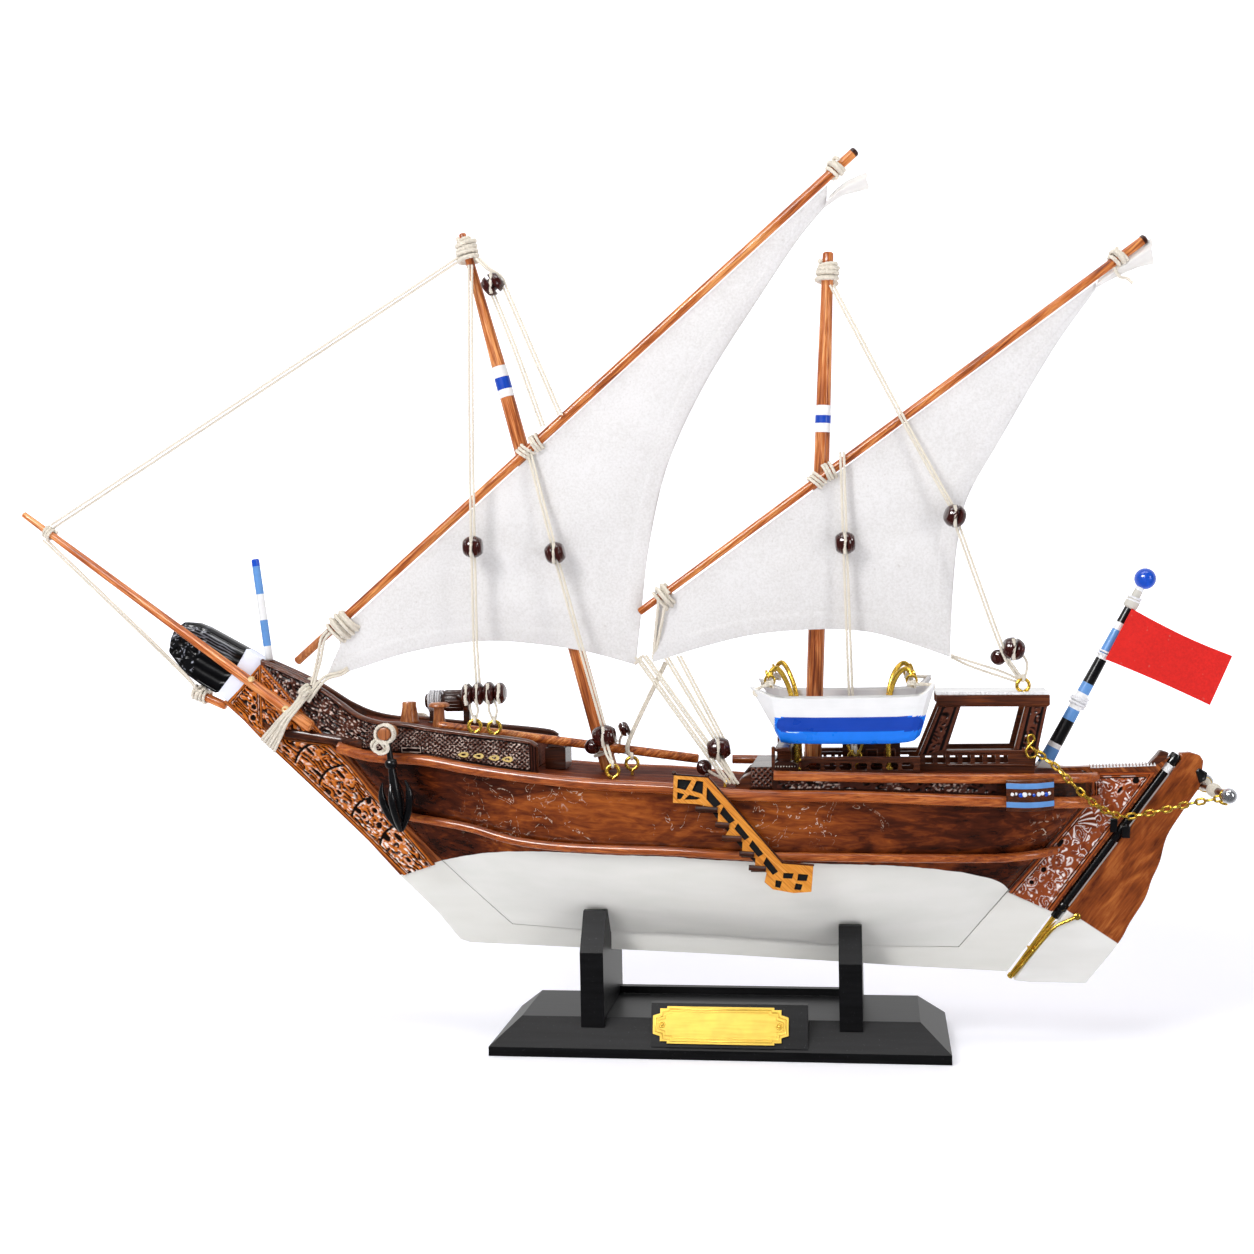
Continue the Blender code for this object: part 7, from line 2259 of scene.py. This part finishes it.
# Rigging by group. Doubled and single cords have their points, beads their centre, axis, width and size,
# screw eyes their centre and floor, and coils their centre, axis, radius, turns and pitch.
FORE_BEAD = (-110.8, -17.0, 232.5)
RIG = {
    "bow": {
        "single": (
            ((-117.2, -1.2, 370.4), (-323.2, -8.6, 248.2)),
            ((-117.2, -0.2, 368.8), (-322.6, -7.0, 246.8)),
            ((-326.2, -8.0, 241.4), (-262.4, -6.8, 179.8), (-251.6, -3.0, 164.6)),
            ((-327.6, -8.6, 241.0), (-263.6, -5.0, 178.6), (-251.0, -2.2, 163.8))),
        "coils": (((-324.6, -8.0, 244.3), (-0.81, 0, 0.59), 2.5, 3.4, 1.5),
                  ((-252.4, 0, 164.2), (-0.91, 0, 0.41), 3.0, 4.2, 1.9),
                  ((-252.0, -0.6, 165.6), (-0.6, 0.2, 0.8), 2.6, 2.4, 2.0)),
    },
    "main_fore": {
        "double": (
            ((-112.2, -3.4, 365.4), (-111.0, -14.6, 282.3), FORE_BEAD),
            (FORE_BEAD, (-110.6, -17.5, 219.5), (-110.2, -19.0, 189.2), (-108.8, -20.6, 166.0)),
        ),
        "single": (
            ((-112.2, -21.4, 164.0), (-112.6, -22.2, 158.0), (-110.6, -22.8, 152.2)),
            ((-111.0, -21.6, 163.0), (-109.0, -22.2, 157.0), (-110.2, -22.8, 152.0)),
            ((-102.8, -21.2, 164.0), (-103.8, -22.4, 157.4), (-101.4, -22.9, 151.6)),
            ((-102.0, -21.4, 163.0), (-100.0, -22.4, 157.0), (-101.0, -22.9, 151.4)),
        ),
        "beads": ((FORE_BEAD, (1, 0.05, 0.03), 9.2), ((-114.0, -20.8, 164.2), (1, 0.1, 0.04), 5.3, 5.2),
                  ((-108.9, -21.0, 164.4), (1, 0.05, 0.02), 5.3, 5.4),
                  ((-103.7, -20.8, 164.6), (1, -0.06, 0.02), 5.3, 5.4),
                  ((-98.6, -20.4, 164.6), (1, -0.06, 0.02), 5.0, 5.0)),
        "eyes": (((-110.5, -22.8, 149.6), 146.0), ((-101.2, -23.0, 148.9), 144.9)),
    },
    "main_aft": {
        "double": (
            ((-108.6, -2.6, 368.4), (-103.6, -4.0, 363.4), (-97.4, -4.6, 358.6), (-93.6, -5.2, 349.4),
             (-69.5, -10.0, 293.0)),
            ((-101.6, -4.4, 351.4), (-91.0, -7.0, 325.0), (-78.0, -9.0, 288.0)),
            ((-85.4, -7.8, 277.6), (-72.2, -16.0, 229.4)),
            ((-72.2, -16.0, 228.0), (-60.2, -17.0, 182.8), (-51.0, -15.4, 147.0)),
            ((-36.0, -7.6, 179.6), (7.0, -25.0, 122.6)),
            ((-32.6, -8.4, 180.6), (10.6, -25.4, 122.6)),
            ((-22.6, -9.0, 180.2), (1.4, -18.6, 141.4)),
            ((-16.4, -9.0, 180.1), (4.4, -18.6, 141.4)),
        ),
        "single": (
            ((-51.6, -15.6, 143.0), (-49.8, -21.0, 137.0), (-46.2, -25.0, 131.4)),
            ((-50.4, -16.2, 142.6), (-47.6, -21.6, 136.4), (-45.6, -25.0, 131.2)),
            ((-23.2, -7.0, 177.4), (-40.9, -9.0, 141.2), (-39.4, -9.0, 133.4)),
            ((-22.0, -7.2, 177.4), (-39.8, -9.2, 141.2), (-38.8, -9.2, 133.4)),
            ((-42.7, -9.0, 145.9), (-45.4, -6.0, 139.0), (-39.6, -9.2, 133.2)),
            ((1.6, -19.6, 135.6), (5.4, -22.4, 129.4), (9.0, -24.4, 122.8)),
            ((3.0, -19.6, 135.4), (7.0, -22.6, 129.4), (10.8, -24.6, 122.8)),
            ((-4.8, -18.0, 129.0), (1.0, -20.8, 126.0), (7.0, -23.4, 123.2)),
        ),
        "beads": (((-101.3, -5.2, 355.6), (0.8, 0, 0.6), 9.6), ((-72.2, -16.0, 228.8), (1, 0, 0.25), 9.0),
                  ((-51.0, -15.6, 143.8), (1, -0.1, 0.12), 10.6),
                  ((-57.0, -13.4, 138.8), (0.8, -0.6, 0.1), 6.6),
                  ((-42.7, -8.4, 146.4), (0.9, 0.3, 0.4), 4.6), ((2.3, -19.6, 138.0), (1, 0.1, 0.16), 10.6),
                  ((-4.8, -17.6, 129.4), (0.5, -0.85, 0.1), 5.4)),
        "eyes": (((-45.9, -25.2, 128.6), 124.7), ((-39.3, -9.0, 130.4), 124.7), ((8.0, -23.8, 121.6), 119.6)),
        "coils": (((-53.4, 0, 137.2), (-0.25, 0, 0.97), 5.5, 4.4, 1.9),
                  ((-53.8, 0, 139.0), (-0.1, 0.1, 0.97), 6.0, 1.6, 2.2)),
    },
    "mizzen_aft": {
        "double": (
            ((56.6, -3.4, 348.4), (87.0, -11.0, 286.8), (109.6, -17.2, 243.0)),
            ((109.8, -17.4, 239.6), (128.4, -17.0, 184.6), (134.8, -13.8, 172.0), (138.4, -12.2, 167.6)),
        ),
        "single": (
            ((107.6, -6.6, 178.6), (114.0, -10.0, 176.4), (128.8, -12.0, 171.4), (138.0, -12.0, 167.0)),
            ((107.6, -6.4, 177.6), (118.0, -10.0, 172.8), (137.5, -12.0, 166.0)),
            ((131.0, -14.2, 182.0), (133.0, -13.0, 174.0), (138.2, -12.4, 167.4)),
            ((137.0, -14.4, 181.0), (140.6, -13.0, 174.6), (139.2, -12.4, 167.2)),
        ),
        "beads": (((109.6, -17.4, 241.2), (0.9, 0.3, -0.3), 8.8),
                  ((134.4, -14.6, 181.4), (0.92, 0.2, -0.28), 9.6),
                  ((128.0, -12.6, 177.6), (0.4, 0.8, 0.3), 5.0)),
        "eyes": (((138.7, -12.2, 164.9), 161.9),),
    },
    "mizzen_fore": {
        "double": (
            ((60.1, -11.7, 271.6), (60.8, -16.0, 231.6)),
            ((60.8, -16.0, 228.8), (62.3, -15.4, 159.5), (63.4, -15.6, 136.2)),
        ),
        "beads": (((60.8, -16.0, 230.3), (1, 0.1, 0.05), 9.0),),
        "eyes": (((63.6, -15.6, 133.4), 127.9),),
    },
}


def make_rigging():
    """Cords of each group as one piece, with a piece of beads and a piece of screw eyes."""
    for name, rig in RIG.items():
        cords = Shape()
        for points in rig.get("double", ()):
            doubled(cords, points)
        for points in rig.get("single", ()):
            cords.rope(curve_points(points, 6))
        for index, (centre, axis, radius, turns, pitch) in enumerate(rig.get("coils", ())):
            cords.coil(centre, axis, radius, turns, pitch, 0.8, seed=index)
        beads, eyes = Shape(), Shape()
        for centre, axis, width, *size in rig.get("beads", ()):
            bead(beads, centre, axis, width, size[0] if size else 5.2 if width > SMALL_BEAD else 3.6)
            x, y, z = centre
            if width > SMALL_BEAD or size:
                cords.rope(curve_points([(x, y - 3.4, z + 4.6), (x + 0.2, y - 4.3, z + 1.2),
                                         (x - 0.2, y - 4.3, z - 1.4), (x, y - 3.2, z - 4.8)], 4), 0.9)
        for centre, floor in rig.get("eyes", ()):
            screw_eye(eyes, centre, floor)
            x, y, z = centre
            cords.ring((x, y, z + 3.2), (1, 0.2, 0), 1.25, 0.72, rows=18, sides=9)
        cords.make("cords_" + name, ["cord"], "rope", ["rigging_" + name])
        if rig.get("beads"):
            beads.make("beads_" + name, ["bead"], "block_wood", angle=50)
            eyes.make("eyes_" + name, ["gold"], "brass", angle=50)


def spar_way(spar):
    """Direction from a spar's start to its end."""
    return (Vector(spar[1]) - Vector(spar[0])).normalized()


def yard_at(yard, x):
    """Place on a yard's axis at a length along the boat."""
    start, end, _ = yard
    return Vector(between(start, end, (x - start[0]) / (end[0] - start[0])))


def make_lashings():
    """Windings at the mastheads, where yards cross masts, at tacks and peaks."""
    shape = Shape()
    for mast, at, radius, turns in ((MAIN_MAST, 255.2, 2.6, 5.6), (MIZZEN_MAST, 227.0, 3.4, 4.6)):
        way = spar_way(mast)
        spot = Vector(mast[0]) + way * at
        shape.coil(spot, way, radius, turns, 2.1, 1.15, seed=2)
        slanted = (way + Vector((0.1, 0, 0))).normalized()
        shape.coil(spot - way * 1.2, slanted, 4.3, turns - 1.4, 2.35, 1.15, seed=8)
    for yard, x, mast_radius in ((MAIN_YARD, -84.6, 2.9), (MIZZEN_YARD, 51.4, 3.1)):
        spot, way = yard_at(yard, x), spar_way(yard)
        middle = Vector((spot.x, spot.y / 2, spot.z))
        oval = abs(spot.y) / 2 + mast_radius + 1.2
        for shift, lean, seed in ((-3.4, 0.25, 1), (3.2, -0.25, 5)):
            axis = (way + Vector((0, 0, lean))).normalized()
            shape.coil(middle + way * shift, axis, 3.9, 3.2, 1.6, 0.8, seed=seed, other_radius=oval)
    for yard, ties in ((MAIN_YARD, ((-179.4, 6.2, 5.4), (59.2, 3.4, 2.8))),
                       (MIZZEN_YARD, ((-23.4, 3.6, 4.4), (182.8, 3.0, 2.7)))):
        way = spar_way(yard)
        under = Vector((way.z, 0, -way.x))
        for index, (x, turns, reach) in enumerate(ties):
            spot = yard_at(yard, x) + under * (reach - 2.9)
            shape.coil(spot, way, reach, turns, 2.0, 0.95, seed=index + 3, other_radius=3.5)
            slanted = (way + Vector((0.25, 0.15, 0.1))).normalized()
            shape.coil(spot + Vector((0.4, -0.4, 0.6)), slanted, reach + 0.7, turns * 0.5, 2.8, 0.95,
                       seed=index + 13, other_radius=4.6)
    for points in (
            ((-184.8, -8.6, 194.6), (-188.0, -8.6, 190.6), (-190.2, -8.0, 181.0), (-193.6, -8.0, 168.6)),
            ((-183.4, -8.8, 193.4), (-186.4, -8.8, 189.6), (-188.6, -8.4, 180.4), (-192.6, -8.4, 167.4)),
            ((-196.8, -8.4, 161.3), (-188.0, -8.0, 171.8), (-179.5, -7.2, 174.5), (-176.0, -6.0, 176.6)),
            ((-195.2, -8.4, 160.6), (-186.8, -8.2, 170.6), (-179.0, -7.4, 173.2), (-175.6, -6.0, 175.4)),
            ((181.0, -8.6, 349.6), (183.4, -8.8, 345.4), (186.6, -7.4, 344.8), (189.0, -8.0, 342.4)),
            ((-25.0, -11.8, 206.0), (-27.0, -10.8, 190.0), (-28.4, -9.0, 178.6)),
            ((-21.0, -11.8, 209.0), (-24.6, -11.0, 192.0), (-28.0, -8.8, 179.0)),
            ((-37.4, -5.4, 176.6), (-35.6, -6.8, 178.0), (-34.0, -7.6, 180.0))):
        shape.rope(curve_points(points, 6), 0.8)
    shape.coil((-196.4, -8.4, 165.4), (-0.55, 0.1, 0.8), 2.3, 3.2, 1.6, 0.95, seed=21)
    shape.make("yard_lashings", ["cord"], "rope", angle=50)
    make_stem_lashing()


# Cords round the stem: first and last cord by x and z, and how far out they run to port and to starboard
STEM_TURNS = (
    ((-220.8, 142.0), (-214.6, 136.4), 0.0, 0.0), ((-220.2, 142.7), (-214.0, 137.2), 3.9, 3.9),
    ((-213.4, 148.7), (-208.6, 144.9), 8.3, 6.4), ((-207.5, 154.0), (-204.4, 151.6), 11.2, 7.6),
    ((-201.8, 159.3), (-199.6, 157.6), 10.0, 7.8), ((-198.3, 165.0), (-195.7, 163.0), 7.8, 7.0))


def make_stem_lashing():
    """Six cords side by side from under the stem over the bowsprit, gathered above the bulwark."""
    stem = Shape()
    cords = 6
    for k in range(cords):
        share = k / (cords - 1)
        for side in (-1, 1):
            path = []
            for first, last, port, starboard in STEM_TURNS:
                x, z = between(first, last, share)
                over = 0.9 * (k % 2) * min(port / 9, 1)
                path.append((x, -port - over if side < 0 else starboard + over, z))
            if side > 0:
                path += [(mix(-197.0, -195.4, share), 4.4, 169.6), (mix(-197.0, -195.6, share), -1.0, 171.0),
                         (mix(-196.8, -195.2, share), -5.6, 168.4)]
            stem.rope(curve_points(path, 5), 0.86)
    stem.make("stem_lashing", ["cord"], "rope", angle=50)


def make_stand_trim():
    """Raised border and rosettes on the blank nameplate."""
    (y0, z0), (y1, z1) = (-36.6, 5.4), (-30.4, 23.8)  # foot and head of the plate's slope
    up = Vector((0, y1 - y0, z1 - z0)).normalized()
    out = Vector((0, -up.z, up.y))
    centre = Vector((2.0, (y0 + y1) / 2, (z0 + z1) / 2)) + out * 1.1
    shape = Shape()
    for inset, wire in ((1.2, 0.38), (2.3, 0.2)):
        a, b, notch = 30.5 - inset, 8.2 - inset, 3.2
        corner = [(a - 2 * notch, b), (a - 2 * notch + 0.2, b - 1), (a - notch, b - 1.1),
                  (a - notch + 0.1, b - notch), (a, b - notch - 0.8)]
        loop = corner + [(x, -y) for x, y in corner[::-1]]
        loop += [(-x, y) for x, y in loop[::-1]]
        points = [centre + Vector((x, 0, 0)) + up * y for x, y in loop]
        wire_loop(shape, points, out, wire, 8)
    for x in (-26.4, 26.4):
        base = centre + Vector((x, 0, 0)) - out * 0.3
        for t in angles(8):
            petal = base + Vector((1.15 * math.cos(t), 0, 0)) + up * (1.15 * math.sin(t))
            shape.turned(petal, out, ((0, 0.5), (0.35, 0.48), (0.55, 0.25), (0.6, 0.05)), 10)
        shape.turned(base, out, ((0, 0.75), (0.6, 0.7), (0.85, 0.35), (0.9, 0.05)), 12)
    shape.make("nameplate_border", ["plate_gold"], "plate_gold", angle=50)


def dress_nodes():
    """Finishes of the nodes that are carried over from the frame."""
    dress("black", "stand_base", "stand_cradles", "plate_backing", bevel=0.7)
    dress("plate_gold", "nameplate", bevel=0.15)
    dress("plate", "keel_plate", bevel=0.35)
    for suffix, _ in SIDES:
        dress("cut", "bow_bulwark_" + suffix, bevel=0.2)
        dress("cut", "canopy_side_" + suffix, bevel=0.3)
    dress("deck", "forecastle_deck")
    dress("dark", "fore_hatch", "poop_block", "poop_step", "cabin", bevel=0.2)


make_camera()
make_stage()
dress_nodes()
make_stand_trim()
make_hull()
make_rails()
make_stem_carving()
make_stern_carving()
make_bulwark_carving()
make_stem_head()
make_forecastle()
make_bow_gear()
make_poop()
make_gallows()
make_lifeboats()
make_ladder()
make_rudder()
make_spars()
make_staffs()
make_sails()
make_flag()
make_rigging()
make_lashings()
